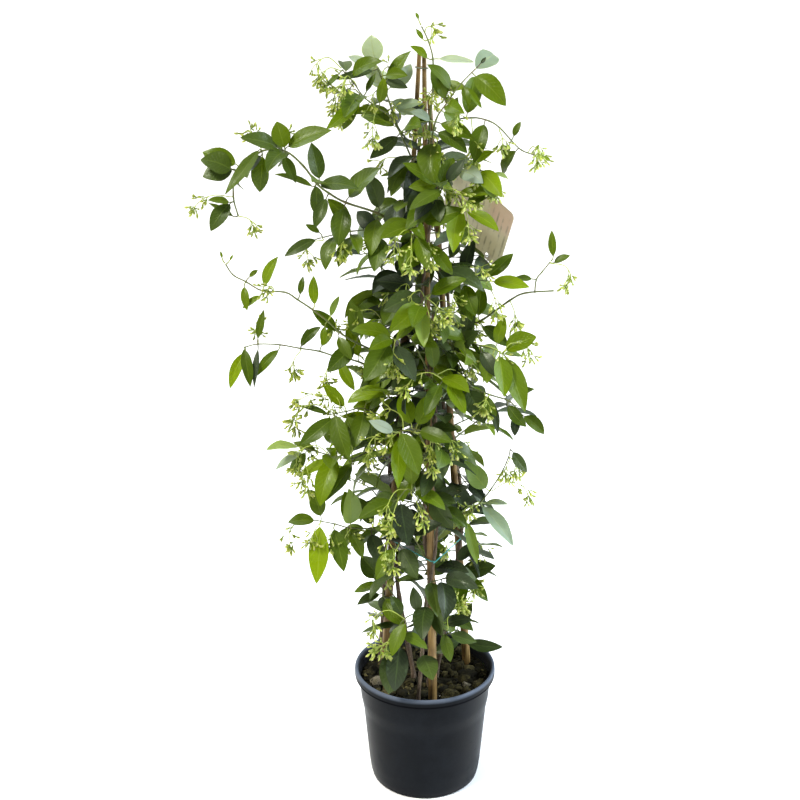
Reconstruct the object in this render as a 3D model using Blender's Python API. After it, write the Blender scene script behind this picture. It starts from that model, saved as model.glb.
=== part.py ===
"""Potted star jasmine: a nursery pot of soil, three canes tied at the top, and a climbing plant.

Sizes are in millimetres here and become metres as each mesh is made. +Z is up and the front is -Y.
The woody vines wind up the canes. Leafy shoots and bud sprays grow from the vines. Every leaf, bud
and stalk sprouts from a face of its stem, so each plant piece is one closed body.
"""

import math
import random

import bpy
from mathutils import Matrix, Vector, noise
from mathutils.bvhtree import BVHTree
from mathutils.geometry import delaunay_2d_cdt

MM = 0.001
GAP = 0.35
SHARP_ANGLE = 32.0
UP = Vector((0.0, 0.0, 1.0))

# Where shoot points are given: in the upright plane through the pot's axis, seen from this eye.
EYE = Vector((0.0, -1700.0, 1166.0))
SIGHT_PITCH = math.radians(19.25)
SEEN_RIGHT = Vector((1.0, 0.0, 0.0))
SEEN_UP = Vector((0.0, math.sin(SIGHT_PITCH), math.cos(SIGHT_PITCH)))
SEEN_NEAR = Vector((0.0, -math.cos(SIGHT_PITCH), math.sin(SIGHT_PITCH)))

POT_SIDES = 32
POT_FLOOR = 3.0
DRAIN_HOLES = 6
DRAIN_RADIUS = 5.0
DRAIN_CIRCLE = 58.0
# Radius and height up the outside, over the rolled rim and down the inside.
POT_OUTSIDE = (
    (73.0, 0.0),
    (77.6, 2.4),
    (78.8, 18.0),
    (79.8, 19.5),
    (88.4, 118.0),
    (90.6, 121.0),
    (93.8, 159.5),
)
POT_RIM = ((99.2, 160.4), (100.0, 162.0), (100.0, 171.6), (98.4, 174.0), (95.0, 173.2))
POT_INSIDE = ((92.0, 160.0), (88.7, 122.0), (86.5, 118.0), (76.2, POT_FLOOR))

SOIL_LEVEL = 149.0
SOIL_WALL = ((75.8, POT_FLOOR + GAP), (86.1, 118.2), (88.3, 122.0))
SOIL_EDGE_RADIUS = 90.5
SOIL_RINGS = ((0.0, 1), (13.0, 6), (26.0, 12), (39.0, 18), (52.0, 24), (65.0, 28), (78.0, 32))
HOLE_DEPTH = 24.0

# Foot and top of each cane, then the radius at each.
CANES = {
    "cane_front": ((11.0, -66.0), (-1.0, -7.5, 1022.0), 6.2, 2.7),
    "cane_left": ((-58.0, 30.0), (-6.5, 3.5, 1020.0), 6.0, 2.7),
    "cane_right": ((61.0, 40.0), (5.5, 3.5, 968.0), 6.0, 3.0),
}
CANE_SIDES = 8
CANE_KNOTS = (0.16, 0.44, 0.72)

# Cane, height where it ends, phase in turns, foot on the soil, radius at the foot and at the end.
VINES = {
    "vine_front": ("cane_front", 905.0, 0.10, (6.0, -24.0), 3.6, 1.8),
    "vine_left": ("cane_left", 915.0, 0.90, (-16.0, -4.0), 3.6, 1.8),
    "vine_right": ("cane_right", 900.0, 0.60, (17.0, 2.0), 3.4, 1.8),
    "vine_front_thin": ("cane_front", 700.0, 0.60, (-9.0, -72.0), 2.8, 1.5),
    "vine_left_thin": ("cane_left", 640.0, 0.40, (-66.0, 44.0), 2.8, 1.5),
}
VINE_TURN = 290.0
VINE_STEP = 37.0
VINE_BARE_SHARE = 0.36
VINE_GRIP = 1.2
VINE_JOIN = 300.0
VINE_RISE = 9.0
VINE_LEAF = (46.0, 66.0)
VINE_LEAF_WIDTH = (0.38, 0.5)
OLD_BELOW = 620.0

TIE_LOW_HEIGHT = 366.0
TIE_TOP_HEIGHT = 1004.0
TIE_RADIUS = 0.8
TIE_DIRECTIONS = 180

TAG_CENTRE = (67.0, 40.0, 812.0)
TAG_LONG = (74.0, -84.0, -52.0)
TAG_SHORT = (18.0, -32.0, 77.0)
TAG_SIZE = (124.0, 86.0)
TAG_CORNER = 8.0
TAG_THICK = 0.9
TAG_BOW = 3.0
TAG_HOLE = (38.0, -36.0)
TAG_HOLE_RADIUS = 3.4
TAG_STRING_RADIUS = 0.6

SEED = 7

# Base colour and roughness. None of them is metallic.
PAINTS = {
    "pot_plastic": ((0.035, 0.042, 0.055), 0.45),
    "soil": ((0.06, 0.038, 0.024), 0.95),
    "cane": ((0.36, 0.19, 0.08), 0.6),
    "tie_string": ((0.05, 0.36, 0.33), 0.5),
    "tag_card": ((0.62, 0.54, 0.45), 0.6),
    "old_foliage": ((0.035, 0.085, 0.03), 0.35),
    "foliage": ((0.09, 0.2, 0.02), 0.35),
    "buds": ((0.5, 0.58, 0.16), 0.5),
}
PIECE_PAINT = {
    "pot": "pot_plastic",
    "soil": "soil",
    "cane_front": "cane",
    "cane_left": "cane",
    "cane_right": "cane",
    "tie_low": "tie_string",
    "tie_top": "tie_string",
    "tag": "tag_card",
    "tag_string": "tie_string",
    "vine": "old_foliage",
    "shoot": "foliage",
    "spray": "buds",
}

# Half the length of the stem face that a growth sprouts from, and half a ring's side to a stem's radius.
NODE_HALF = 2.2
RING_HALF = 0.7

# Share of the length and share of the full width at each blade ring.
LEAF_STATIONS = ((0.27, 0.92), (0.66, 0.84))
SMALL_LEAF_STATIONS = ((0.45, 1.0),)
SHORT_LEAF = 32.0
LEAF_RIB = 0.6
LEAF_BEND = (16.0, 46.0)
LEAF_FOLD = (0.10, 0.34)
LEAF_ROLL = 12.0
PETIOLE = 7.0
PETIOLE_OUTWARD = 0.6
PETIOLE_WIDE = 0.9
PETIOLE_TALL = 0.7

STALK_STEPS = 3
STALK_HALF = 0.75
STALK_LIFT = 3.0
STALK_KNOT = 1.1
LONE_STALK_START = 5.0
LONE_STALK_RADIUS = 0.95
MOST_BUDS = 4
BUD_LENGTH = (11.0, 17.0)
BUD_HALF = 1.15
BUD_BELLY = 0.62
BUD_WAIST = 0.3

# How far a growth keeps from what stands there, and how it is turned, in degrees, and shortened at each
# new try. Its least lean away from the face it sprouts from is a cosine.
LEAF_CLEAR = 0.55
STALK_CLEAR = 1.5
LEAF_TRIES = 14
LEAF_LOOSEN = 5.0
STALK_LOOSEN = 6.0
PATIENT_TRIES = 5
SHORTENED = 0.83
LEAST_LEAN = 0.12
NECK_INSET = 0.99
NECK_LIFT = 0.03
STEM_TAPER = 0.55
STEM_THIN = 0.9
STEM_TRIES = 80
STEM_LOOSEN = 0.12
STEM_CLEAR = 1.35
SHARE_LOOSEN = 0.0006

# Leafy shoots: parent stem, where it leaves it (a height, or a share of a parent shoot's length), radius,
# then stem points (x, height, y) in the upright plane through the axis, moved to their depth y along the
# line of sight.
# Leaves: stem point, angle as seen, tilt towards the eye, length, width, tone (0 old and dark, 1 grown,
# 2 young and bright, 3 pale with sky sheen).
# Sprays: stem point, angle as seen, tilt, length, droop, number of buds.
SHOOTS = {
    "shoot_tip": (
        "vine_front", 898.0, 1.7,
        ((7, 953, -22), (10, 978, -19), (10, 1014, -14), (4, 1036, -9), (-4, 1052, -5)),
        ((0, 170, 20, 26, 12, 0), (1, -4, 20, 35, 17, 1), (2, -8, 10, 44, 14, 3), (2, 147, 10, 25, 12, 1),
         (3, 125, 5, 15, 6, 2), (3, 55, 5, 12, 5, 2), (4, 112, 0, 9, 4, 2)),
        (),
    ),
    "shoot_crown_left_high": (
        "vine_left", 905.0, 1.7,
        ((-30, 925, -14), (-42, 955, -24), (-50, 982, -30), (-58, 1003, -32)),
        ((0, 222, 15, 46, 18, 0), (0, 20, 20, 38, 16, 1), (1, 189, 15, 48, 14, 1), (1, 6, 20, 34, 14, 3),
         (2, 128, 10, 36, 20, 3), (2, 52, 10, 46, 20, 1), (3, 98, 10, 31, 25, 3), (3, 156, 5, 33, 13, 3),
         (3, 205, 10, 50, 10, 0)),
        ((2, 240, 20, 26, 30, 5),),
    ),
    "shoot_crown_left_low": (
        "vine_left", 878.0, 1.6,
        ((-38, 938, -30), (-58, 955, -40), (-76, 969, -44), (-87, 985, -46), (-101, 1001, -48)),
        ((0, 110, 20, 34, 14, 1), (1, 80, 20, 30, 13, 1), (2, 224, 15, 56, 16, 2), (2, 62, 10, 24, 9, 1),
         (3, 245, 10, 27, 10, 0), (4, 228, 10, 24, 8, 1)),
        ((1, 232, 20, 50, 30, 6), (3, 214, 10, 38, 45, 6), (4, 172, 0, 46, 70, 6), (4, 196, 15, 36, 60, 5)),
    ),
    "shoot_crown_right_high": (
        "vine_front", 888.0, 1.5,
        ((13, 938, -34), (28, 962, -38), (45, 985, -38), (62, 1002, -36)),
        ((0, -28, 10, 46, 18, 1), (0, 160, 20, 26, 13, 3), (1, 110, 10, 26, 12, 1), (2, -74, 10, 24, 9, 1),
         (2, -52, 0, 32, 10, 1), (3, 50, 0, 10, 4, 0)),
        ((1, -60, 15, 30, 30, 5),),
    ),
    "shoot_crown_right_low": (
        "vine_front", 878.0, 1.4,
        ((33, 934, -2), (58, 943, -8), (80, 939, -10), (94, 930, -10), (108, 915, -8), (121, 903, -6),
         (137, 897, -4)),
        ((0, 70, 10, 30, 13, 1), (4, 64, 0, 20, 8, 1), (4, -115, 0, 17, 8, 1), (6, -18, 0, 13, 6, 2),
         (6, 60, 0, 8, 4, 2)),
        ((1, -86, 5, 48, 10, 6), (3, -72, 5, 17, 20, 4)),
    ),
    "shoot_tag_side_high": (
        "vine_front", 842.0, 1.5,
        ((36, 878, -14), (58, 880, -18), (78, 876, -20)),
        ((0, 172, 20, 33, 15, 0), (0, 208, 20, 31, 14, 3), (1, 30, 10, 30, 12, 2), (2, -22, 5, 19, 8, 2)),
        ((1, -52, 10, 24, 30, 5), (2, -62, 10, 26, 20, 6), (2, -84, 0, 42, 10, 5)),
    ),
    "shoot_tag_side_low": (
        "vine_front", 812.0, 1.5,
        ((38, 846, -34), (48, 832, -40)),
        ((0, 0, 15, 54, 16, 1), (0, 152, 20, 42, 14, 2), (1, -34, 15, 48, 16, 2), (1, -99, 20, 60, 22, 2),
         (1, 30, 10, 36, 14, 1)),
        ((1, -80, 30, 42, 20, 6),),
    ),
    "shoot_upper_left": (
        "vine_left", 800.0, 2.1,
        ((-59, 823, -36), (-100, 837, -48), (-121, 849, -52), (-136, 861, -55), (-153, 884, -58),
         (-175, 902, -58), (-204, 902, -56), (-219, 886, -54), (-237, 877, -52), (-242, 845, -50),
         (-237, 820, -48)),
        ((0, 112, 15, 46, 22, 0), (0, 262, 20, 50, 22, 1), (1, 40, 15, 54, 32, 1), (1, 262, 10, 48, 24, 1),
         (2, 250, 10, 40, 16, 1), (3, 102, 10, 44, 22, 1), (3, 163, 5, 48, 10, 1), (3, -10, 15, 50, 26, 1),
         (3, -76, 5, 45, 17, 1), (5, 18, 10, 57, 23, 1), (5, 106, 5, 32, 22, 3), (5, -66, 5, 35, 14, 1),
         (5, 174, 15, 54, 23, 1), (6, 222, 5, 42, 20, 1), (6, 236, 15, 70, 15, 2), (8, 164, 10, 38, 29, 1),
         (8, 196, 5, 37, 27, 1), (10, 152, 5, 34, 9, 1)),
        ((6, 116, 0, 26, 10, 2), (9, 184, 0, 48, 25, 3), (10, -24, 0, 22, 30, 2)),
    ),
    "shoot_left_shelf": (
        "vine_left", 775.0, 1.6,
        ((-58, 800, -42), (-95, 800, -50), (-131, 792, -52)),
        ((0, -96, 25, 50, 24, 1), (0, 140, 10, 46, 20, 0), (1, 250, 15, 42, 18, 1), (1, 128, 10, 42, 18, 1),
         (2, 210, 10, 44, 14, 1), (2, 150, 5, 20, 8, 2)),
        ((1, 240, 10, 42, 30, 5), (2, 222, 5, 46, 45, 6)),
    ),
    "shoot_left_long": (
        "vine_left_thin", 622.0, 1.8,
        ((-90, 652, -32), (-111, 666, -36), (-127, 681, -38), (-146, 697, -40), (-165, 710, -42),
         (-181, 720, -42), (-210, 722, -42), (-231, 734, -40), (-247, 743, -38), (-256, 757, -36)),
        ((0, 100, 15, 48, 20, 1), (0, 225, 20, 48, 22, 1), (1, 140, 10, 42, 17, 1), (1, -60, 10, 34, 14, 1),
         (2, 66, 5, 28, 9, 2), (2, -94, 5, 25, 8, 1), (3, 92, 0, 36, 12, 2), (4, 80, 0, 23, 8, 1),
         (6, 64, 5, 40, 13, 2), (6, 217, 5, 27, 9, 1), (7, -84, 0, 30, 10, 1), (7, 40, 0, 14, 6, 1),
         (9, 105, 0, 9, 3, 2), (9, 60, 0, 8, 3, 2)),
        ((2, 216, 5, 28, 50, 6),),
    ),
    "shoot_left_forked": (
        "vine_left_thin", 596.0, 1.7,
        ((-88, 626, -12), (-112, 631, -14), (-138, 640, -16), (-163, 644, -18), (-190, 649, -18),
         (-219, 650, -18), (-236, 646, -16)),
        ((0, 110, 5, 44, 18, 1), (1, 250, 10, 45, 14, 2), (1, -66, 10, 41, 14, 2), (2, 60, 0, 30, 12, 1),
         (3, 42, 5, 32, 12, 1), (3, 66, 0, 25, 9, 1), (4, 230, 0, 44, 12, 1), (5, 78, 0, 38, 10, 1),
         (5, -95, 5, 50, 9, 0), (6, 248, 5, 51, 14, 2), (6, -80, 5, 50, 14, 1)),
        ((3, 242, 5, 27, 30, 4), (5, 102, 0, 32, 20, 3)),
    ),
    "shoot_left_fan_high": (
        "vine_left", 535.0, 1.6,
        ((-80, 560, -32), (-105, 556, -40), (-121, 553, -44)),
        ((0, 62, 15, 42, 16, 1), (0, 255, 25, 50, 22, 1), (1, 132, 10, 42, 15, 2), (1, -50, 15, 40, 18, 1),
         (2, 164, 0, 37, 8, 1), (2, 219, 10, 57, 20, 1), (2, -72, 10, 62, 24, 1)),
        ((1, 152, 0, 72, 35, 6), (2, 176, 0, 70, 50, 6), (2, 194, 10, 60, 40, 6)),
    ),
    "shoot_left_fan_low": (
        "vine_left", 475.0, 1.7,
        ((-70, 500, -42), (-98, 488, -54), (-121, 492, -60), (-144, 498, -64), (-163, 504, -64)),
        ((0, 100, 15, 46, 20, 1), (1, 235, 15, 60, 22, 1), (1, 95, 10, 40, 16, 1), (2, 196, 10, 49, 16, 2),
         (2, 253, 15, 66, 26, 2), (3, 150, 5, 32, 12, 1), (4, 238, 10, 57, 18, 2), (4, 214, 0, 40, 12, 3)),
        ((2, 208, 20, 62, 35, 6), (3, 226, 15, 42, 30, 6), (4, 162, 0, 76, 60, 6), (4, 188, 10, 62, 60, 6)),
    ),
    "shoot_left_hanging": (
        "vine_left_thin", 368.0, 1.7,
        ((-73, 384, -22), (-103, 386, -34), (-124, 392, -42), (-143, 396, -46)),
        ((0, 120, 10, 44, 20, 1), (0, -70, 20, 44, 22, 0), (1, 100, 5, 43, 24, 1), (1, -62, 15, 38, 16, 1),
         (2, -76, 10, 58, 22, 1), (3, -93, 5, 76, 26, 2), (3, 184, 5, 35, 18, 1), (3, 109, 5, 37, 20, 1)),
        ((1, 244, 15, 30, 30, 5), (2, 246, 20, 30, 20, 5), (3, 197, 5, 66, 50, 6), (3, 238, 20, 28, 20, 5)),
    ),
    "shoot_low_left": (
        "vine_left", 262.0, 1.5,
        ((-60, 305, -6), (-58, 286, -14)),
        ((0, 128, 5, 38, 26, 1), (0, 200, 0, 36, 14, 3), (1, 205, 5, 34, 13, 0), (1, -52, 20, 46, 22, 2)),
        (),
    ),
    "shoot_low_front": (
        "vine_front_thin", 232.0, 1.6,
        ((-10, 250, -84), (-29, 245, -92), (-38, 226, -92), (-38, 208, -88)),
        ((0, 100, 10, 34, 16, 0), (1, 247, 10, 46, 20, 2), (1, 120, 5, 30, 15, 1), (2, -28, 10, 40, 16, 2),
         (3, 259, 5, 62, 34, 0), (3, -98, 0, 60, 28, 0)),
        ((1, 176, 5, 62, 60, 6), (2, 236, 10, 30, 30, 6), (3, -80, 15, 40, 10, 6)),
    ),
    "shoot_low_front_right": (
        "vine_front", 236.0, 1.5,
        ((22, 238, -82), (29, 226, -86)),
        ((0, 12, 10, 36, 16, 0), (1, -16, 5, 36, 17, 2), (1, -76, 5, 38, 16, 0)),
        ((0, 62, 15, 36, 30, 6), (1, 30, 10, 50, 50, 6)),
    ),
    "shoot_low_right": (
        "vine_right", 212.0, 1.5,
        ((46, 228, 10), (54, 214, 4)),
        ((0, 60, 5, 38, 18, 0), (0, 140, 10, 36, 18, 1), (1, -6, 5, 51, 17, 0), (1, 205, 10, 40, 17, 1)),
        (),
    ),
    "shoot_right_knee": (
        "vine_right", 305.0, 1.5,
        ((42, 330, 6), (52, 320, 0)),
        ((0, 45, 10, 38, 16, 0), (0, 200, 10, 40, 18, 0), (1, -50, 10, 46, 17, 1), (1, -98, 20, 48, 24, 2)),
        ((1, -70, 20, 32, 20, 5),),
    ),
    "shoot_right_rising": (
        "vine_right", 375.0, 1.6,
        ((56, 402, -14), (76, 424, -26), (89, 442, -32), (103, 466, -36), (113, 490, -38), (115, 502, -38)),
        ((0, -76, 10, 58, 15, 2), (0, 222, 10, 46, 13, 3), (0, 115, 10, 46, 26, 0), (1, -3, 5, 31, 9, 3),
         (1, -52, 10, 66, 22, 3), (2, 128, 10, 48, 25, 2), (5, -55, 5, 32, 15, 0)),
        ((1, -78, 15, 30, 20, 5), (2, 12, 5, 60, 45, 6), (4, 250, 0, 18, 20, 2), (4, -62, 0, 20, 20, 2)),
    ),
    "shoot_right_brown": (
        "vine_right", 676.0, 1.9,
        ((32, 662, -26), (38, 640, -32), (51, 614, -36), (60, 592, -38), (86, 580, -42), (112, 571, -44),
         (126, 556, -44)),
        ((2, 205, 10, 44, 16, 0), (3, -64, 10, 48, 30, 0), (3, 212, 10, 44, 15, 0), (4, -84, 10, 46, 11, 0),
         (5, 20, 5, 30, 13, 1), (5, -50, 10, 36, 15, 1), (6, -42, 5, 35, 16, 1), (6, -96, 10, 26, 12, 0)),
        ((4, -118, 20, 30, 20, 6), (1, -35, 15, 34, 30, 6)),
    ),
    "shoot_right_upper": (
        "vine_right", 640.0, 1.7,
        ((52, 655, -34), (74, 647, -42), (92, 643, -46), (102, 636, -48)),
        ((0, 80, 10, 44, 18, 0), (1, 66, 5, 38, 15, 3), (1, -58, 15, 42, 17, 0), (2, -106, 15, 46, 22, 2),
         (2, 74, 5, 36, 15, 1), (3, -72, 10, 72, 26, 1), (3, 24, 5, 42, 26, 1), (3, -50, 15, 30, 12, 2)),
        ((2, -125, 15, 34, 20, 6), (3, -16, 0, 78, 45, 6), (3, 10, 5, 52, 60, 5)),
    ),
    "shoot_right_stick": (
        "vine_right", 660.0, 2.2,
        ((44, 672, 2), (72, 681, -4), (110, 709, -9), (130, 719, -11), (167, 722, -13)),
        ((1, 84, 5, 40, 18, 1), (1, -40, 10, 42, 18, 1)),
        ((2, -74, 10, 26, 20, 4),),
    ),
    "shoot_right_stick_end": (
        "shoot_right_stick", 0.84, 1.2,
        ((144, 737, -14), (151, 747, -14), (161, 760, -14)),
        ((0, 176, 5, 22, 11, 1), (2, 93, 0, 33, 10, 1), (2, 24, 5, 22, 10, 1)),
        ((2, -30, 0, 42, 50, 3),),
    ),
    "shoot_right_high": (
        "vine_right", 715.0, 1.6,
        ((50, 737, -18), (80, 735, -24)),
        ((0, 72, 10, 46, 18, 0), (0, -72, 20, 46, 20, 1), (1, -10, 10, 46, 18, 2), (1, 42, 5, 42, 16, 1)),
        ((1, -64, 10, 38, 20, 6),),
    ),
    "shoot_front_990": (
        "vine_front", 838.0, 1.5,
        ((13, 850, -46), (22, 858, -52)),
        ((0, 232, 20, 42, 17, 0), (1, 151, 15, 50, 18, 1), (1, 214, 20, 50, 18, 1), (1, 50, 10, 34, 15, 0)),
        ((1, -84, 25, 46, 20, 6),),
    ),
    "shoot_front_820": (
        "vine_front", 785.0, 1.6,
        ((-8, 812, -54), (-14, 795, -62)),
        ((0, 14, 20, 56, 24, 1), (0, 198, 15, 48, 22, 1), (1, -106, 20, 45, 16, 1), (1, -74, 20, 45, 18, 1)),
        ((1, -92, 40, 54, 10, 6), (1, -58, 30, 40, 20, 6)),
    ),
    "shoot_front_710": (
        "vine_front", 682.0, 1.6,
        ((2, 715, -66), (-6, 698, -74)),
        ((0, 200, 15, 52, 26, 0), (0, 22, 15, 48, 20, 1), (1, 232, 20, 44, 15, 1), (1, -88, 20, 52, 18, 2)),
        ((0, -48, 30, 34, 20, 6),),
    ),
    "shoot_front_660": (
        "vine_front_thin", 628.0, 1.6,
        ((-22, 662, -66), (-40, 655, -74)),
        ((0, -24, 20, 48, 18, 1), (0, 80, 15, 44, 20, 0), (1, 238, 20, 60, 30, 1), (1, 172, 10, 50, 22, 1),
         (1, -62, 20, 54, 26, 0)),
        ((1, -106, 30, 32, 20, 6),),
    ),
    "shoot_front_600": (
        "vine_front", 585.0, 1.6,
        ((10, 610, -72), (24, 600, -78)),
        ((0, 205, 20, 52, 20, 1), (0, 100, 15, 44, 18, 1), (1, -60, 20, 46, 17, 2), (1, -116, 20, 46, 18, 1)),
        ((1, 184, 25, 60, 40, 6),),
    ),
    "shoot_front_530": (
        "vine_front", 505.0, 1.7,
        ((-12, 530, -76), (-34, 527, -84)),
        ((0, 60, 10, 50, 24, 2), (0, -20, 20, 46, 20, 1), (1, -92, 15, 66, 20, 2), (1, -70, 5, 58, 26, 1),
         (1, 155, 10, 34, 14, 3)),
        ((0, 8, 25, 46, 50, 6), (1, 202, 15, 60, 45, 6)),
    ),
    "shoot_front_430": (
        "vine_front_thin", 405.0, 1.6,
        ((-18, 442, -78), (-36, 430, -84)),
        ((0, 96, 10, 46, 20, 1), (0, -30, 20, 48, 20, 1), (1, 206, 15, 50, 22, 1), (1, -80, 15, 56, 28, 0)),
        ((0, -62, 30, 42, 20, 6), (1, -108, 25, 38, 20, 6)),
    ),
    "shoot_front_360": (
        "vine_front", 335.0, 1.6,
        ((-18, 368, -72), (-30, 352, -78)),
        ((0, 22, 20, 42, 20, 0), (0, 170, 10, 44, 20, 1), (1, -60, 20, 46, 24, 0), (1, 240, 15, 46, 20, 1)),
        ((1, 232, 25, 32, 30, 5),),
    ),
}

# Short leafy shoots on the sides that face away: vine, height, compass turn from +X, reach, rise, nodes.
BACK_SHOOTS = {
    "shoot_back_880": ("vine_right", 850.0, 95.0, 88.0, 42.0, 3),
    "shoot_back_760": ("vine_left", 720.0, 128.0, 96.0, 34.0, 3),
    "shoot_back_640": ("vine_left_thin", 615.0, 100.0, 104.0, 26.0, 3),
    "shoot_back_520": ("vine_right", 500.0, 48.0, 100.0, 24.0, 3),
    "shoot_back_430": ("vine_left_thin", 405.0, 132.0, 96.0, 22.0, 3),
    "shoot_back_330": ("vine_right", 300.0, 85.0, 84.0, 30.0, 3),
}

BACK_RADIUS = 1.6
BACK_SWINGS = (70.0, -70.0, 5.0)
BACK_LEAF = (44.0, 62.0)
BACK_WIDTH = 0.46

# Bud sprays that are pieces of their own: parent shoot, share of its length, then as in SHOOTS.
SPRAYS = {
    "spray_right": ("shoot_right_upper", 0.60, -22, 10, 56, 40, 6),
    "spray_left_high": ("shoot_crown_left_low", 0.72, 168, 10, 48, 60, 6),
    "spray_left_middle": ("shoot_left_forked", 0.42, 232, 10, 36, 40, 5),
    "spray_left_low": ("shoot_left_fan_low", 0.78, 172, 20, 66, 60, 6),
    "spray_front_high": ("shoot_front_710", 0.55, -75, 35, 34, 30, 6),
    "spray_front_low": ("shoot_front_530", 0.45, -60, 35, 40, 30, 6),
}


def at_depth(x, height, y):
    """The point at depth y on the line of sight through this spot of the plane through the axis."""
    flat = Vector((x, 0.0, height))
    return EYE + (flat - EYE) * ((y - EYE.y) / -EYE.y)


def seen(angle, tilt):
    """The direction at this angle in the picture plane, leaning towards the eye by the tilt."""
    turn = math.radians(angle)
    lean = math.radians(tilt)
    flat = SEEN_RIGHT * math.cos(turn) + SEEN_UP * math.sin(turn)
    return flat * math.cos(lean) + SEEN_NEAR * math.sin(lean)


def across(direction, hint):
    """The part of hint at right angles to direction, one long."""
    flat = hint - direction * hint.dot(direction)
    if flat.length < 0.05:
        flat = direction.orthogonal()
    return flat.normalized()


def square(centre, side, up, half, half_up=None):
    """Four corners, counter-clockwise about side x up. Its walls face up, -side, -up and +side."""
    tall = half if half_up is None else half_up
    return [
        centre + side * half + up * tall,
        centre - side * half + up * tall,
        centre - side * half - up * tall,
        centre + side * half - up * tall,
    ]


class Body:
    """A closed mesh that grows: a face gives way to the walls of what sprouts from it."""

    def __init__(self):
        self.points = []
        self.faces = {}
        self.made = 0

    def put(self, face):
        self.faces[self.made] = tuple(face)
        self.made += 1
        return self.made - 1

    def add(self, ring):
        first = len(self.points)
        self.points.extend(ring)
        return list(range(first, first + len(ring)))

    def start(self, ring):
        """A flat seed. The face returned looks along side x up and can be grown."""
        ids = self.add(ring)
        self.put(reversed(ids))
        return self.put(ids)

    def grow(self, face, rings, tip=None):
        """Sprouts rings from a face, ending in a tip point or a flat cap. Returns the walls and the cap."""
        base = self.faces.pop(face)
        count = len(base)
        walls = []
        for ring in rings:
            ids = self.add(ring)
            walls.append([self.put((base[i], base[(i + 1) % count], ids[(i + 1) % count], ids[i]))
                          for i in range(count)])
            base = ids
        if tip is None:
            return walls, self.put(base)
        top = self.add([tip])[0]
        for i in range(count):
            self.put((base[i], base[(i + 1) % count], top))
        return walls, None

    def triangles(self):
        """All faces split the same way, so that a test and the finished mesh agree."""
        made = []
        for face in self.faces.values():
            made.extend((face[0], face[i], face[i + 1]) for i in range(1, len(face) - 1))
        return made

    def centre(self, face):
        corners = [self.points[i] for i in self.faces[face]]
        return sum(corners, Vector()) / len(corners)

    def normal(self, face):
        a, b, c, d = [self.points[i] for i in self.faces[face]]
        return (c - a).cross(d - b).normalized()


def matched(base, ring):
    """The ring turned so that each corner meets the nearest corner of the base."""
    middle = sum(base, Vector()) / 4
    heart = sum(ring, Vector()) / 4
    best = min(range(4), key=lambda turn: sum(
        ((base[i] - middle).normalized() - (ring[(i + turn) % 4] - heart).normalized()).length
        for i in range(4)))
    return [ring[(i + best) % 4] for i in range(4)], best


class Crowd:
    """Everything placed so far, each piece as a small tree, so that a new piece can keep clear."""

    def __init__(self):
        self.items = []

    def add(self, points, faces, owner):
        tree = BVHTree.FromPolygons(points, faces)
        self.items.append((self.low(points), self.high(points), tree, owner))
        return tree

    def low(self, points):
        return tuple(min(p[i] for p in points) for i in range(3))

    def high(self, points):
        return tuple(max(p[i] for p in points) for i in range(3))

    def hits(self, points, faces, skip=None):
        low = self.low(points)
        high = self.high(points)
        near = [
            item for item in self.items
            if item[3] != skip
            and item[0][0] <= high[0] and item[1][0] >= low[0]
            and item[0][1] <= high[1] and item[1][1] >= low[1]
            and item[0][2] <= high[2] and item[1][2] >= low[2]
        ]
        if not near:
            return False
        tree = BVHTree.FromPolygons(points, faces)
        return any(item[2].overlap(tree) for item in near)


def swollen(ring, share):
    """The ring scaled about its middle."""
    centre = sum(ring, Vector()) / len(ring)
    return [centre + (corner - centre) * share for corner in ring]


def prism(rings, tip=None):
    """The points and faces of a closed run of four-cornered rings."""
    body = Body()
    end = body.start(rings[0])
    body.grow(end, rings[1:], tip)
    return body.points, body.triangles()


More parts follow.
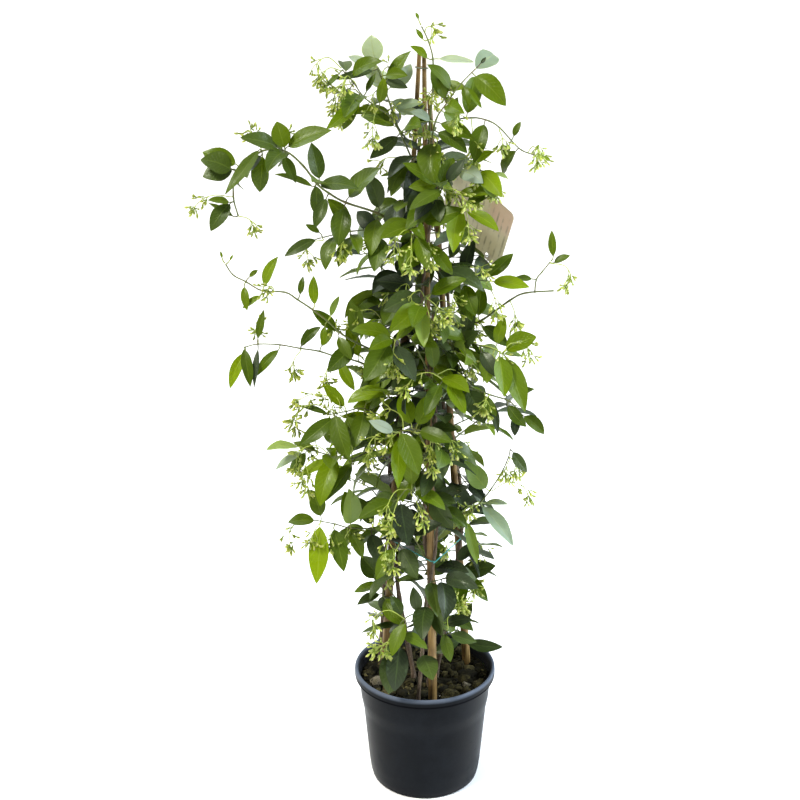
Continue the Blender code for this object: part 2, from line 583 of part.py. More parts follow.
class Stem:
    """An axis with its body, its free faces at each stem point and the radius along it."""

    def __init__(self, name, axis, start_radius, end_radius, first_up, knots=None):
        self.name = name
        self.axis = axis
        self.lengths = [0.0]
        for a, b in zip(axis, axis[1:]):
            self.lengths.append(self.lengths[-1] + (b - a).length)
        self.radii = [start_radius + (end_radius - start_radius) * length / self.lengths[-1]
                      for length in self.lengths]
        self.body = Body()
        self.rings = []
        self.leaves = []
        self.sprays = []
        self.free = {}
        up = first_up
        heading = (axis[1] - axis[0]).normalized()
        up = across(heading, up)
        self.rings.append(square(axis[0], up.cross(heading), up, self.radii[0] * RING_HALF))
        face = self.body.start(self.rings[0])
        for i in range(1, len(axis)):
            ahead = (axis[min(i + 1, len(axis) - 1)] - axis[i]).normalized()
            behind = (axis[i] - axis[i - 1]).normalized()
            heading = (behind + ahead).normalized()
            up = across(heading, up)
            side = up.cross(heading)
            half = self.radii[i] * RING_HALF
            knot = knots is None or i - 1 in knots or i == len(axis) - 1
            steps = (-NODE_HALF, NODE_HALF) if knot else (0.0,)
            pair = [square(axis[i] + heading * step, side, up, half) for step in steps]
            walls, face = self.body.grow(face, pair)
            self.free[i - 1] = list(walls[1]) if knot else []
            self.rings.extend(pair)
        self.free[len(axis) - 2].append(face)

    def at(self, share):
        """The axis point at this share of the length."""
        goal = share * self.lengths[-1]
        for i in range(len(self.axis) - 1):
            if self.lengths[i + 1] >= goal:
                step = (goal - self.lengths[i]) / (self.lengths[i + 1] - self.lengths[i])
                return self.axis[i].lerp(self.axis[i + 1], step)
        return self.axis[-1]

    def at_height(self, height):
        """The share of the length where the axis first reaches this height."""
        for i in range(len(self.axis) - 1):
            a = self.axis[i].z
            b = self.axis[i + 1].z
            if a <= height <= b:
                step = (height - a) / max(b - a, 0.001)
                return (self.lengths[i] + step * (self.lengths[i + 1] - self.lengths[i])) / self.lengths[-1]
        return 1.0

    def face_towards(self, node, direction):
        """The free face of a stem point that looks most along this direction."""
        faces = self.free.get(node, [])
        if not faces:
            return None
        return max(faces, key=lambda face: self.body.normal(face).dot(direction))


def leaf_rings(root, outward, chord, face_up, length, width, bend, fold, stations, swell=0.0):
    """The petiole ring, the blade rings and the tip of a leaf that arches away from its upper face."""
    start = root + (outward * PETIOLE_OUTWARD + chord * (1.0 - PETIOLE_OUTWARD)) * PETIOLE
    up = across(chord, face_up)
    side = up.cross(chord)
    half_turn = math.radians(bend) / 2
    span = 2 * math.sin(half_turn)

    def spot(s):
        lean = half_turn * (1 - 2 * s)
        along = (math.sin(half_turn) - math.sin(lean)) / span
        lift = (math.cos(lean) - math.cos(half_turn)) / span
        tangent = chord * math.cos(lean) + up * math.sin(lean)
        top = up * math.cos(lean) - chord * math.sin(lean)
        return start + (chord * along + up * lift) * length, tangent, top

    centre, tangent, top = spot(0.0)
    mitre = (tangent + outward).normalized()
    top = across(mitre, top)
    reach = top.cross(mitre) * (PETIOLE_WIDE + swell)
    lift = top * (PETIOLE_TALL + swell)
    rings = [[centre + reach, centre + lift, centre - reach, centre - lift]]
    for share, fullness in stations:
        centre, _, top = spot(share)
        half = width * fullness / 2
        lift = top * half * fold
        reach = side * (half + swell)
        rib = top * (LEAF_RIB + swell)
        rings.append([centre + reach + lift, centre + rib, centre - reach + lift, centre - rib])
    return rings, spot(1.0)[0]


def turned(direction, loose, dice):
    """The direction after a random turn of at most this many degrees about each axis."""
    for axis in "XYZ":
        direction = Matrix.Rotation(math.radians(dice.uniform(-loose, loose)), 3, axis) @ direction
    return direction.normalized()


def neck_ring(body, face):
    """The outline of a face drawn in and lifted by a hair, where a growth's clearance starts."""
    root = body.centre(face)
    lift = body.normal(face) * NECK_LIFT
    return [root.lerp(body.points[i], NECK_INSET) + lift for i in body.faces[face]]


def grow_leaf(stem, node, chord, face_up, length, width, tone, stations, crowd, dice):
    """Sprouts a leaf from a stem point. It turns a little, tries again where it meets something, and
    is left out where nothing fits."""
    for attempt in range(LEAF_TRIES):
        loose = LEAF_LOOSEN * attempt
        heading = turned(chord, loose, dice)
        swing = LEAF_ROLL + loose
        roll = Matrix.Rotation(math.radians(dice.uniform(-swing, swing)), 3, heading)
        long = length * (1.0 if attempt < PATIENT_TRIES else SHORTENED)
        face = stem.face_towards(node, heading)
        if face is None:
            return
        outward = stem.body.normal(face)
        if outward.dot(heading) < LEAST_LEAN:
            continue
        shape = (stem.body.centre(face), outward, heading, roll @ face_up, long, width,
                 dice.uniform(*LEAF_BEND), dice.uniform(*LEAF_FOLD))
        rings, tip = leaf_rings(*shape, stations, LEAF_CLEAR)
        if crowd.hits(*prism(rings, tip)):
            continue
        corners = [stem.body.points[i] for i in stem.body.faces[face]]
        neck = neck_ring(stem.body, face)
        ring, _ = matched(corners, rings[0])
        if crowd.hits(*prism([neck, ring])):
            continue
        rings, tip = leaf_rings(*shape, stations)
        _, best = matched(corners, rings[0])
        rings = [[ring[(i + best) % 4] for i in range(4)] for ring in rings]
        stem.body.grow(face, rings, tip)
        stem.free[node].remove(face)
        crowd.add(*prism([neck] + rings, tip), stem.name + "/leaf")
        stem.leaves.append(shape + (tone, dice.random()))
        return


def spray_axis(start, heading, length, droop):
    """A stalk that arches down towards its end."""
    points = [start]
    axis = across(UP, heading).cross(UP)
    for i in range(STALK_STEPS):
        lean = math.radians(droop) * (2.0 * i / (STALK_STEPS - 1) - 0.5)
        way = Matrix.Rotation(-lean, 3, axis) @ heading
        points.append(points[-1] + way * (length / STALK_STEPS))
    return points


def grow_bud(body, face, heading, long, crowd, owner, record):
    """One bud on its short stalk, from a face of the spray. It is left out where it meets something."""
    outward = body.normal(face)
    if outward.dot(heading) < 0.45:
        heading = (heading + outward * 0.9).normalized()
    root = body.centre(face)
    up = across(heading, UP)
    side = up.cross(heading)
    middle = root + heading * long * BUD_BELLY
    tip = root + heading * long
    corners = [body.points[i] for i in body.faces[face]]
    neck = neck_ring(body, face)
    waist, _ = matched(corners, square(root + heading * long * BUD_WAIST, side, up, BUD_HALF))
    if crowd.hits(*prism([waist, square(middle, side, up, BUD_HALF * STALK_CLEAR)], tip)):
        return
    if crowd.hits(*prism([neck, waist]), skip=owner):
        return
    ring, _ = matched(corners, square(middle, side, up, BUD_HALF))
    body.grow(face, [ring], tip)
    crowd.add(*prism([neck, ring], tip), owner)
    record.append((root, heading, long))


def stalk_rings(points, outward, way):
    """The rings of a stalk. The last point has two, so that buds can sprout between them."""
    up = across(way, UP)
    rings = []
    last = len(points) - 1
    for i, point in enumerate(points):
        ahead = (points[min(i + 1, last)] - points[max(i - 1, 0)]).normalized()
        if i == 0:
            ahead = (ahead + outward).normalized()
        up = across(ahead, up)
        side = up.cross(ahead)
        for step in (-STALK_KNOT, STALK_KNOT) if i == last else (0.0,):
            rings.append(square(point + ahead * step, side, up, STALK_HALF))
    return rings, ahead


def bud_goal(out, ahead, dice):
    """Where a bud points: out from its face, on along the stalk and down."""
    return (out * 0.8 + ahead * 0.4 - UP * dice.uniform(0.3, 0.9)).normalized()


def grow_spray(body, face, heading, length, droop, buds, crowd, owner, dice, log):
    """A stalk from a face, with buds round its end. Returns False where nothing fits."""
    root = body.centre(face)
    outward = body.normal(face)
    for attempt in range(LEAF_TRIES):
        way = turned(heading, STALK_LOOSEN * attempt, dice)
        if way.dot(outward) < LEAST_LEAN:
            continue
        long = length * (1.0 if attempt < PATIENT_TRIES else SHORTENED)
        begin = root + outward * STALK_LIFT
        points = [begin] + spray_axis(begin + way * 2.0, way, long, droop)[1:]
        rings, ahead = stalk_rings(points, outward, way)
        corners = [body.points[i] for i in body.faces[face]]
        _, best = matched(corners, rings[0])
        rings = [[ring[(i + best) % 4] for i in range(4)] for ring in rings]
        neck = neck_ring(body, face)
        fat = [swollen(ring, STALK_CLEAR) for ring in rings]
        if crowd.hits(*prism(fat[1:])) or crowd.hits(*prism([neck] + fat[:2])):
            continue
        walls, cap = body.grow(face, rings)
        label = owner + "/spray" + str(len(log))
        crowd.add(*prism([neck] + rings), label)
        record = []
        spots = walls[-1] + [cap]
        dice.shuffle(spots)
        for spot in spots:
            if len(record) < buds:
                goal = bud_goal(ahead if spot == cap else body.normal(spot), ahead, dice)
                grow_bud(body, spot, goal, dice.uniform(*BUD_LENGTH), crowd, label, record)
        log.append((points, record))
        return True
    return False


def circle(count, radius, centre=(0.0, 0.0), height=0.0, turn=0.0):
    steps = [math.tau * (i + turn) / count for i in range(count)]
    return [Vector((centre[0] + radius * math.cos(a), centre[1] + radius * math.sin(a), height)) for a in steps]


def filled(outline, holes, inside=()):
    """Triangles over a flat outline with holes, as indices into outline, then holes, then inside points."""
    flat = [Vector(p[:2]) for p in outline]
    loops = [list(range(len(outline)))]
    for hole in holes:
        loops.append(list(range(len(flat), len(flat) + len(hole))))
        flat.extend(Vector(p[:2]) for p in hole)
    flat.extend(Vector(p[:2]) for p in inside)
    made = delaunay_2d_cdt(flat, [], loops, 0, 1e-6)
    source = [origin[0] for origin in made[3]]
    centres = [sum((Vector(p[:2]) for p in hole), Vector((0.0, 0.0))) / len(hole) for hole in holes]
    reaches = [(Vector(hole[0][:2]) - centre).length for hole, centre in zip(holes, centres)]
    triangles = []
    for face in made[2]:
        middle = sum((made[0][i] for i in face), Vector((0.0, 0.0))) / 3
        if any((middle - c).length < r * 0.9 for c, r in zip(centres, reaches)):
            continue
        triangles.append([source[i] for i in face])
    return triangles


def band(body, low, high):
    """Walls from one ring up to the next, facing out for rings that run counter-clockwise."""
    count = len(low)
    for i in range(count):
        body.put((low[i], low[(i + 1) % count], high[(i + 1) % count], high[i]))


def cane_at(name, height):
    """The centre and radius of a cane at a height."""
    foot, top, start, end = CANES[name]
    share = (height - SOIL_LEVEL) / (top[2] - SOIL_LEVEL)
    centre = Vector((foot[0], foot[1], SOIL_LEVEL)).lerp(Vector(top), share)
    return centre, start + (end - start) * max(share, 0.0)


def vine_at(name, height):
    """The centre and radius of a vine at a height: straight from its foot to the cane, then round it."""
    cane, end, phase, foot, start_radius, end_radius = VINES[name]
    centre, cane_radius = cane_at(cane, height)
    radius = start_radius + (end_radius - start_radius) * (height - SOIL_LEVEL) / (end - SOIL_LEVEL)
    reach = cane_radius + radius + VINE_GRIP
    turn = math.tau * (phase + (height - VINE_JOIN) / VINE_TURN)
    wound = centre + Vector((math.cos(turn), math.sin(turn), 0.0)) * reach
    low = SOIL_LEVEL + VINE_RISE
    share = min(max((height - low) / (VINE_JOIN - low), 0.0), 1.0)
    if share < 1.0:
        joined = vine_at(name, VINE_JOIN)[0]
        wound = Vector((foot[0], foot[1], height)).lerp(Vector((joined.x, joined.y, height)), share)
    return wound, radius


def soil_height(x, y):
    """Clods, chips and hollows over the soil's level."""
    coarse = noise.noise(Vector((x / 17.0, y / 17.0, 3.1)))
    fine = noise.noise(Vector((x / 7.0, y / 7.0, 8.4)))
    mound = 1.5 * math.exp(-(x * x + y * y) / 2500.0)
    return SOIL_LEVEL + 5.0 * coarse + 2.2 * fine + mound


def soil_holes():
    """Centre, lean and radius of each plain hole that a cane or a vine stands in."""
    holes = []
    for name in CANES:
        centre, radius = cane_at(name, SOIL_LEVEL)
        low, _ = cane_at(name, SOIL_LEVEL - HOLE_DEPTH)
        holes.append((centre, low - centre, radius))
    for name, (_, _, _, foot, radius, _) in VINES.items():
        holes.append((Vector((foot[0], foot[1], SOIL_LEVEL)), Vector((0.0, 0.0, -HOLE_DEPTH)), radius * 0.99))
    return holes


def make_pot():
    body = Body()
    drains = []
    for i in range(DRAIN_HOLES):
        a = math.tau * (i + 0.5) / DRAIN_HOLES
        drains.append((DRAIN_CIRCLE * math.cos(a), DRAIN_CIRCLE * math.sin(a)))
    profile = POT_OUTSIDE + POT_RIM + POT_INSIDE
    rings = [body.add(circle(POT_SIDES, radius, height=height)) for radius, height in profile]
    for low, high in zip(rings, rings[1:]):
        band(body, low, high)
    under = [body.add(circle(8, DRAIN_RADIUS, c, 0.0)) for c in drains]
    over = [body.add(circle(8, DRAIN_RADIUS, c, POT_FLOOR)) for c in drains]
    for low, high in zip(under, over):
        band(body, list(reversed(low)), list(reversed(high)))
    for outline, holes, face_up in ((rings[0], under, False), (rings[-1], over, True)):
        ids = outline + [i for hole in holes for i in hole]
        shape = [body.points[i] for i in outline]
        cuts = [[body.points[i] for i in hole] for hole in holes]
        for face in filled(shape, cuts):
            corners = [ids[i] for i in face]
            body.put(corners if face_up else reversed(corners))
    return body


def make_soil(dice):
    body = Body()
    edge = circle(POT_SIDES, SOIL_EDGE_RADIUS)
    holes = soil_holes()
    cuts = [circle(8, (radius + GAP) / math.cos(math.pi / 8), centre[:2], turn=0.5) for centre, _, radius in holes]
    inside = []
    for ring_radius, count in SOIL_RINGS:
        for point in circle(count, ring_radius, turn=0.37 * ring_radius):
            spot = point + Vector((dice.uniform(-2.5, 2.5), dice.uniform(-2.5, 2.5), 0.0))
            if all((spot - Vector((c.x, c.y, 0.0))).length > r + 4.0 for c, _, r in holes):
                inside.append(spot)
    for i, p in enumerate(edge):
        p.z = SOIL_LEVEL - 0.6 + 1.2 * noise.noise(Vector((p.x / 9.0, p.y / 9.0, 1.0)))
    for p in [q for cut in cuts for q in cut] + inside:
        p.z = soil_height(p.x, p.y)
    rim = body.add(edge)
    mouths = [body.add(cut) for cut in cuts]
    middle = body.add(inside)
    ids = rim + [i for mouth in mouths for i in mouth] + middle
    for face in filled(edge, cuts, inside):
        body.put(ids[i] for i in face)
    walls = [body.add(circle(POT_SIDES, radius, height=height)) for radius, height in SOIL_WALL]
    for low, high in zip(walls, walls[1:] + [rim]):
        band(body, low, high)
    body.put(reversed(walls[0]))
    for mouth, (centre, lean, _) in zip(mouths, holes):
        floor = []
        for i in mouth:
            p = body.points[i]
            floor.append(Vector((p.x + lean.x, p.y + lean.y, SOIL_LEVEL + lean.z)))
        bottom = body.add(floor)
        band(body, list(reversed(bottom)), list(reversed(mouth)))
        body.put(bottom)
    return body


def make_cane(name):
    _, top, _, _ = CANES[name]
    foot_height = SOIL_LEVEL - HOLE_DEPTH + GAP
    heights = [(foot_height, 1.0)]
    for share in CANE_KNOTS:
        knot = SOIL_LEVEL + (top[2] - SOIL_LEVEL) * share
        heights += [(knot - 3.5, 1.0), (knot, 1.11), (knot + 3.0, 0.98)]
    heights.append((top[2], 1.0))
    body = Body()
    rings = []
    for height, swell in heights:
        centre, radius = cane_at(name, height)
        radius *= swell
        rings.append(circle(CANE_SIDES, radius, centre[:2], height, turn=0.5))
    face = body.start(rings[0])
    body.grow(face, rings[1:])
    return body


def tie_path(height, clear, spacing):
    """A taut loop at this height round everything that stands there."""
    posts = []
    for name, (_, top, _, _) in CANES.items():
        if height < top[2]:
            posts.append(cane_at(name, height))
    for name, vine in VINES.items():
        if height < vine[1] - 10.0:
            posts.append(vine_at(name, height))
    path = []
    for i in range(TIE_DIRECTIONS):
        a = math.tau * i / TIE_DIRECTIONS
        way = Vector((math.cos(a), math.sin(a), 0.0))
        centre, radius = max(posts, key=lambda post: post[0].dot(way) + post[1])
        spot = centre + way * (radius + clear)
        if not path or (spot - path[-1]).length > spacing:
            path.append(spot)
    if (path[0] - path[-1]).length < spacing * 0.5:
        path.pop()
    return path


def closed_tube(path, radius):
    """A string that closes on itself."""
    body = Body()
    rings = []
    up = UP
    for i, point in enumerate(path):
        heading = (path[(i + 1) % len(path)] - path[i - 1]).normalized()
        up = across(heading, up)
        rings.append(body.add(square(point, up.cross(heading), up, radius)))
    for i in range(len(rings)):
        low = rings[i]
        high = rings[(i + 1) % len(rings)]
        band(body, low, high)
    return body


def tag_point(along, over, out):
    """A point of the tag: along its long side, over its short side, out from its printed face."""
    long_way = Vector(TAG_LONG).normalized()
    short_way = across(long_way, Vector(TAG_SHORT))
    bow = TAG_BOW * (1.0 - (along / TAG_SIZE[0] * 2.0) ** 2)
    return Vector(TAG_CENTRE) + long_way * along + short_way * over + long_way.cross(short_way) * (out + bow)


def make_tag():
    """A card with rounded corners and one hole, bowed a little along its length."""
    half_long = TAG_SIZE[0] / 2
    half_short = TAG_SIZE[1] / 2
    outline = []
    for sx, sy, turn in ((1, 1, 0), (-1, 1, 1), (-1, -1, 2), (1, -1, 3)):
        for step in range(4):
            a = math.pi / 2 * (turn + step / 3)
            outline.append(Vector((sx * (half_long - TAG_CORNER) + TAG_CORNER * math.cos(a),
                                   sy * (half_short - TAG_CORNER) + TAG_CORNER * math.sin(a))))
    hole = circle(8, TAG_HOLE_RADIUS, TAG_HOLE)
    inside = [Vector((x * half_long / 3, y * half_short / 2)) for x in (-2, -1, 0, 1, 2) for y in (-1, 0, 1)]
    inside = [p for p in inside if (p - Vector(TAG_HOLE)).length > TAG_HOLE_RADIUS + 4.0]
    triangles = filled(outline, [hole], inside)
    flat = outline + [Vector(p[:2]) for p in hole] + inside
    body = Body()
    back = body.add([tag_point(p[0], p[1], -TAG_THICK / 2) for p in flat])
    front = body.add([tag_point(p[0], p[1], TAG_THICK / 2) for p in flat])
    for face in triangles:
        body.put(front[i] for i in face)
        body.put(back[i] for i in reversed(face))
    edge = len(outline)
    band(body, back[:edge], front[:edge])
    band(body, list(reversed(back[edge:edge + 8])), list(reversed(front[edge:edge + 8])))
    return body


def make_tag_string():
    """A loop from the right cane, through the tag's hole and back round its edge."""
    hole = tag_point(TAG_HOLE[0], TAG_HOLE[1], 0.0)
    out = (tag_point(0.0, 0.0, -1.0) - tag_point(0.0, 0.0, 0.0)).normalized()
    edge = (tag_point(0.0, -1.0, 0.0) - tag_point(0.0, 0.0, 0.0)).normalized()
    brim = tag_point(TAG_HOLE[0], -TAG_SIZE[1] / 2 - 1.5, 0.0)
    height = hole.z
    posts = [cane_at("cane_right", height), vine_at("vine_right", height)]
    middle = (posts[0][0] + posts[1][0]) / 2
    away = across(UP, middle - hole)
    path = []
    for i in range(7):
        way = Matrix.Rotation(math.radians(-96 + 32 * i), 3, "Z") @ away
        centre, radius = max(posts, key=lambda post: post[0].dot(way) + post[1])
        path.append(centre + way * (radius + 1.4))
    path.append(hole - out * 5.0 - edge * 1.0)
    path.append(hole + edge * 1.7)
    path.append(hole + out * 3.2 + edge * 3.0)
    path.append(brim + out * 3.2)
    path.append(brim - out * 1.8)
    return closed_tube(path, TAG_STRING_RADIUS)


def grown_vine(name, dice):
    cane, end, phase, foot, start_radius, end_radius = VINES[name]
    low = SOIL_LEVEL + VINE_RISE
    axis = [Vector((foot[0], foot[1], SOIL_LEVEL - HOLE_DEPTH + GAP)), Vector((foot[0], foot[1], low))]
    count = round((end - low) / VINE_STEP)
    for i in range(1, count + 1):
        axis.append(vine_at(name, low + (end - low) * i / count)[0])
    knots = {node for node in range(2, len(axis) - 1) if dice.random() > VINE_BARE_SHARE}
    stem = Stem(name, axis, start_radius, end_radius, Vector((0.0, 1.0, 0.0)), knots)
    stem.knots = sorted(knots)
    return stem


def seat(parent_tree, start, heading, half, up):
    """How far along the heading a stalk's flat end clears its parent by the gap."""
    side = up.cross(heading)
    reach = 14.0
    while reach > 0.5:
        centre = start + heading * reach
        ring = square(centre, side, up, half)
        ring += [(ring[i] + ring[i - 1]) / 2 for i in range(4)] + [centre]
        nearest = min(parent_tree.find_nearest(spot)[3] for spot in ring)
        if nearest < GAP:
            return reach + 0.1
        reach -= 0.1
    return 0.6


def seated_stem(name, parent, attach, radius, points, knots, crowd, dice):
    """A stem that starts at the surface of its parent and passes through the points, bent clear."""
    share = attach if attach <= 1.0 else parent.at_height(attach)
    for attempt in range(STEM_TRIES):
        loose = STEM_LOOSEN * attempt
        moved = [p + Vector([dice.uniform(-loose, loose) for _ in range(3)]) for p in points]
        slide = dice.uniform(-SHARE_LOOSEN, SHARE_LOOSEN) * attempt
        start = parent.at(min(max(share + slide, 0.0), 1.0))
        heading = (moved[0] - start).normalized()
        up = across(heading, UP)
        root = start + heading * seat(parent.tree, start, heading, radius * RING_HALF, up)
        if (moved[0] - root).length < NODE_HALF * 2.0:
            continue
        stem = Stem(name, [root] + moved, radius, max(radius * STEM_TAPER, STEM_THIN), UP, knots)
        fat = [swollen(ring, STEM_CLEAR) for ring in stem.rings[1:]]
        if not crowd.hits(*prism([stem.rings[0]] + fat)):
            break
    stem.tree = crowd.add(*prism(stem.rings), name)
    return stem


def face_hint(dice):
    """Which way an upper leaf face looks: to the light above and towards the front."""
    return (SEEN_NEAR * 0.7 + UP * 0.55 + Vector((dice.uniform(-0.25, 0.25), 0.0, 0.0))).normalized()


def grow_plant():
    """All stems of the plant with their leaves and sprays, in the order in which they are placed."""
    dice = random.Random(SEED)
    crowd = Crowd()
    fixed = {"pot": make_pot(), "soil": make_soil(dice)}
    for name in CANES:
        fixed[name] = make_cane(name)
    fixed["tie_low"] = closed_tube(tie_path(TIE_LOW_HEIGHT, TIE_RADIUS + 1.3, 3.0), TIE_RADIUS)
    fixed["tie_top"] = closed_tube(tie_path(TIE_TOP_HEIGHT, TIE_RADIUS + 0.8, 3.0), TIE_RADIUS)
    fixed["tag"] = make_tag()
    fixed["tag_string"] = make_tag_string()
    for name, body in fixed.items():
        crowd.add(body.points, body.triangles(), name)
    stems = {}
    for name in VINES:
        stem = grown_vine(name, dice)
        stem.tree = crowd.add(*prism(stem.rings), name)
        stems[name] = stem
    waiting = []
    for name, (parent, attach, radius, points, leaves, sprays) in SHOOTS.items():
        points = [at_depth(x, height, y) for x, height, y in points]
        knots = {growth[0] for growth in leaves + sprays}
        stems[name] = seated_stem(name, stems[parent], attach, radius, points, knots, crowd, dice)
        waiting.append((stems[name], leaves, sprays))
    for name, (parent, share, angle, tilt, length, droop, buds) in SPRAYS.items():
        heading = seen(angle, tilt)
        start = stems[parent].at(share) + heading * LONE_STALK_START
        points = spray_axis(start, heading, length, droop)[1:]
        stems[name] = seated_stem(name, stems[parent], share, LONE_STALK_RADIUS, points, None, crowd, dice)
        stem = stems[name]
        record = []
        for node in (2, 1):
            for face in list(stem.free.get(node, [])):
                if len(record) < buds:
                    goal = bud_goal(stem.body.normal(face), stem.body.normal(face), dice)
                    grow_bud(stem.body, face, goal, dice.uniform(*BUD_LENGTH), crowd, name, record)
        stem.sprays.append((None, record))
    for stem, leaves, _ in waiting:
        for node, angle, tilt, length, width, tone in leaves:
            stations = SMALL_LEAF_STATIONS if length < SHORT_LEAF else LEAF_STATIONS
            grow_leaf(stem, node, seen(angle, tilt), face_hint(dice), length, width, tone,
                      stations, crowd, dice)
    for stem, _, sprays in waiting:
        for node, angle, tilt, length, droop, buds in sprays:
            heading = seen(angle, tilt)
            buds = min(buds, MOST_BUDS)
            face = stem.face_towards(node, heading)
            if face is None:
                continue
            if grow_spray(stem.body, face, heading, length, droop, buds, crowd, stem.name, dice, stem.sprays):
                stem.free[node].remove(face)
    for name, (parent, height, turn, reach, rise, nodes) in BACK_SHOOTS.items():
        out = Vector((math.cos(math.radians(turn)), math.sin(math.radians(turn)), 0.0))
        start = stems[parent].at(stems[parent].at_height(height))
        points = [start + (out * reach * (i + 0.6) + UP * rise * (i + 0.8)) / nodes for i in range(nodes)]
        stem = seated_stem(name, stems[parent], height, BACK_RADIUS, points, None, crowd, dice)
        stems[name] = stem
        for node in range(nodes):
            swings = BACK_SWINGS if node == nodes - 1 else BACK_SWINGS[:2]
            for swing in swings:
                swing += dice.uniform(-20.0, 20.0)
                chord = Matrix.Rotation(math.radians(swing), 3, "Z") @ out
                chord = (chord + UP * dice.uniform(-0.5, 0.35)).normalized()
                length = dice.uniform(*BACK_LEAF)
                grow_leaf(stem, node, chord, (UP + out * 0.6).normalized(), length, length * BACK_WIDTH,
                          dice.choice((0, 1, 1)), SMALL_LEAF_STATIONS, crowd, dice)
    for name in VINES:
        stem = stems[name]
        for node in stem.knots:
            centre = stem.axis[node + 1]
            first = dice.uniform(0.0, math.tau)
            for side_turn in (0.0, math.pi):
                a = first + side_turn + dice.uniform(-0.4, 0.4)
                out = Vector((math.cos(a), math.sin(a), 0.0))
                chord = (out + UP * dice.uniform(-0.55, 0.4)).normalized()
                light = (UP + out * 0.5).normalized()
                size = dice.uniform(*VINE_LEAF)
                tone = 0 if centre.z < OLD_BELOW else dice.choice((0, 0, 1))
                grow_leaf(stem, node, chord, light, size, size * dice.uniform(*VINE_LEAF_WIDTH), tone,
                          SMALL_LEAF_STATIONS, crowd, dice)
    return fixed, stems


def make_object(name, body, paint):
    """A mesh object in metres, shaded smooth over its round faces."""
    mesh = bpy.data.meshes.new(name)
    mesh.from_pydata([point * MM for point in body.points], [], body.triangles())
    mesh.materials.append(paint)
    mesh.validate()
    mesh.shade_smooth()
    mesh.set_sharp_from_angle(angle=math.radians(SHARP_ANGLE))
    obj = bpy.data.objects.new(name, mesh)
    bpy.context.scene.collection.objects.link(obj)


def make_paint(name, colour, roughness):
    paint = bpy.data.materials.new(name)
    paint.use_nodes = True
    shader = paint.node_tree.nodes["Principled BSDF"]
    shader.inputs["Base Color"].default_value = (*colour, 1.0)
    shader.inputs["Roughness"].default_value = roughness
    shader.inputs["Metallic"].default_value = 0.0
    paint.diffuse_color = (*colour, 1.0)
    return paint


def main():
    for obj in list(bpy.data.objects):
        bpy.data.objects.remove(obj)
    paints = {name: make_paint(name, *finish) for name, finish in PAINTS.items()}
    fixed, stems = grow_plant()
    for name, body in fixed.items():
        make_object(name, body, paints[PIECE_PAINT[name]])
    for name, stem in stems.items():
        kind = "vine" if name in VINES else "spray" if name in SPRAYS else "shoot"
        make_object(name, stem.body, paints[PIECE_PAINT[kind]])


main()
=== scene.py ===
"""Looks of the potted star jasmine: fine meshes, materials, floor, light and view.

The plan of the plant is the same as that of the solids, in millimetres: canes, vines, shoots, leaves and
bud sprays, grown in the same order with the same seed. Each solid is replaced by a finer piece that
follows it. Side twigs on the vines, and more growth on the fullest shoots, add the rest of the leaves.
"""

import math
import random

import bmesh
import bpy
import numpy as np
from mathutils import Matrix, Vector, noise
from mathutils.bvhtree import BVHTree
from mathutils.geometry import delaunay_2d_cdt


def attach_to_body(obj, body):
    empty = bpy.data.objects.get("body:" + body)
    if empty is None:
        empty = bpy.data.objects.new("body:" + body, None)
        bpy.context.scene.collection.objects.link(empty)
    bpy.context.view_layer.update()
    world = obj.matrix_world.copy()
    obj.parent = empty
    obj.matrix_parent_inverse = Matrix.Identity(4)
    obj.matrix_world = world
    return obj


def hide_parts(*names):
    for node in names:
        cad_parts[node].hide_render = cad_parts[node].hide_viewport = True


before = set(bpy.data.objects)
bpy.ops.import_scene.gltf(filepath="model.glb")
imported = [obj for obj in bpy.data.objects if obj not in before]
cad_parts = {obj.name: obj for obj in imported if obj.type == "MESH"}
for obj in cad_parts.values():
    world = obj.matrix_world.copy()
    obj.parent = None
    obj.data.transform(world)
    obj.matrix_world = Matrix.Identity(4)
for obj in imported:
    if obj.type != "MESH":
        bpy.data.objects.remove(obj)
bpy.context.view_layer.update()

MM = 0.001
GAP = 0.35
UP = Vector((0.0, 0.0, 1.0))

# Where shoot points are given: in the upright plane through the pot's axis, seen from this eye.
EYE = Vector((0.0, -1700.0, 1166.0))
SIGHT_PITCH = math.radians(19.25)
SEEN_RIGHT = Vector((1.0, 0.0, 0.0))
SEEN_UP = Vector((0.0, math.sin(SIGHT_PITCH), math.cos(SIGHT_PITCH)))
SEEN_NEAR = Vector((0.0, -math.cos(SIGHT_PITCH), math.sin(SIGHT_PITCH)))

POT_SIDES = 32
POT_FLOOR = 3.0
DRAIN_HOLES = 6
DRAIN_SIDES = 8
DRAIN_RADIUS = 5.0
DRAIN_CIRCLE = 58.0
# Radius and height up the outside, over the rolled rim and down the inside.
POT_OUTSIDE = (
    (73.0, 0.0),
    (77.6, 2.4),
    (78.8, 18.0),
    (79.8, 19.5),
    (88.4, 118.0),
    (90.6, 121.0),
    (93.8, 159.5),
)
POT_RIM = ((99.2, 160.4), (100.0, 162.0), (100.0, 171.6), (98.4, 174.0), (95.0, 173.2))
POT_INSIDE = ((92.0, 160.0), (88.7, 122.0), (86.5, 118.0), (76.2, POT_FLOOR))

SOIL_LEVEL = 149.0
SOIL_WALL = ((75.8, POT_FLOOR + GAP), (86.1, 118.2), (88.3, 122.0))
SOIL_EDGE_RADIUS = 90.5
# Width and height of the soil's hollows and of its crumbs, and its mound in the middle.
HOLLOW_WIDE = 17.0
HOLLOW_TALL = 5.0
CRUMB_WIDE = 7.0
CRUMB_TALL = 2.2
MOUND_TALL = 1.5
MOUND_RADIUS = 50.0
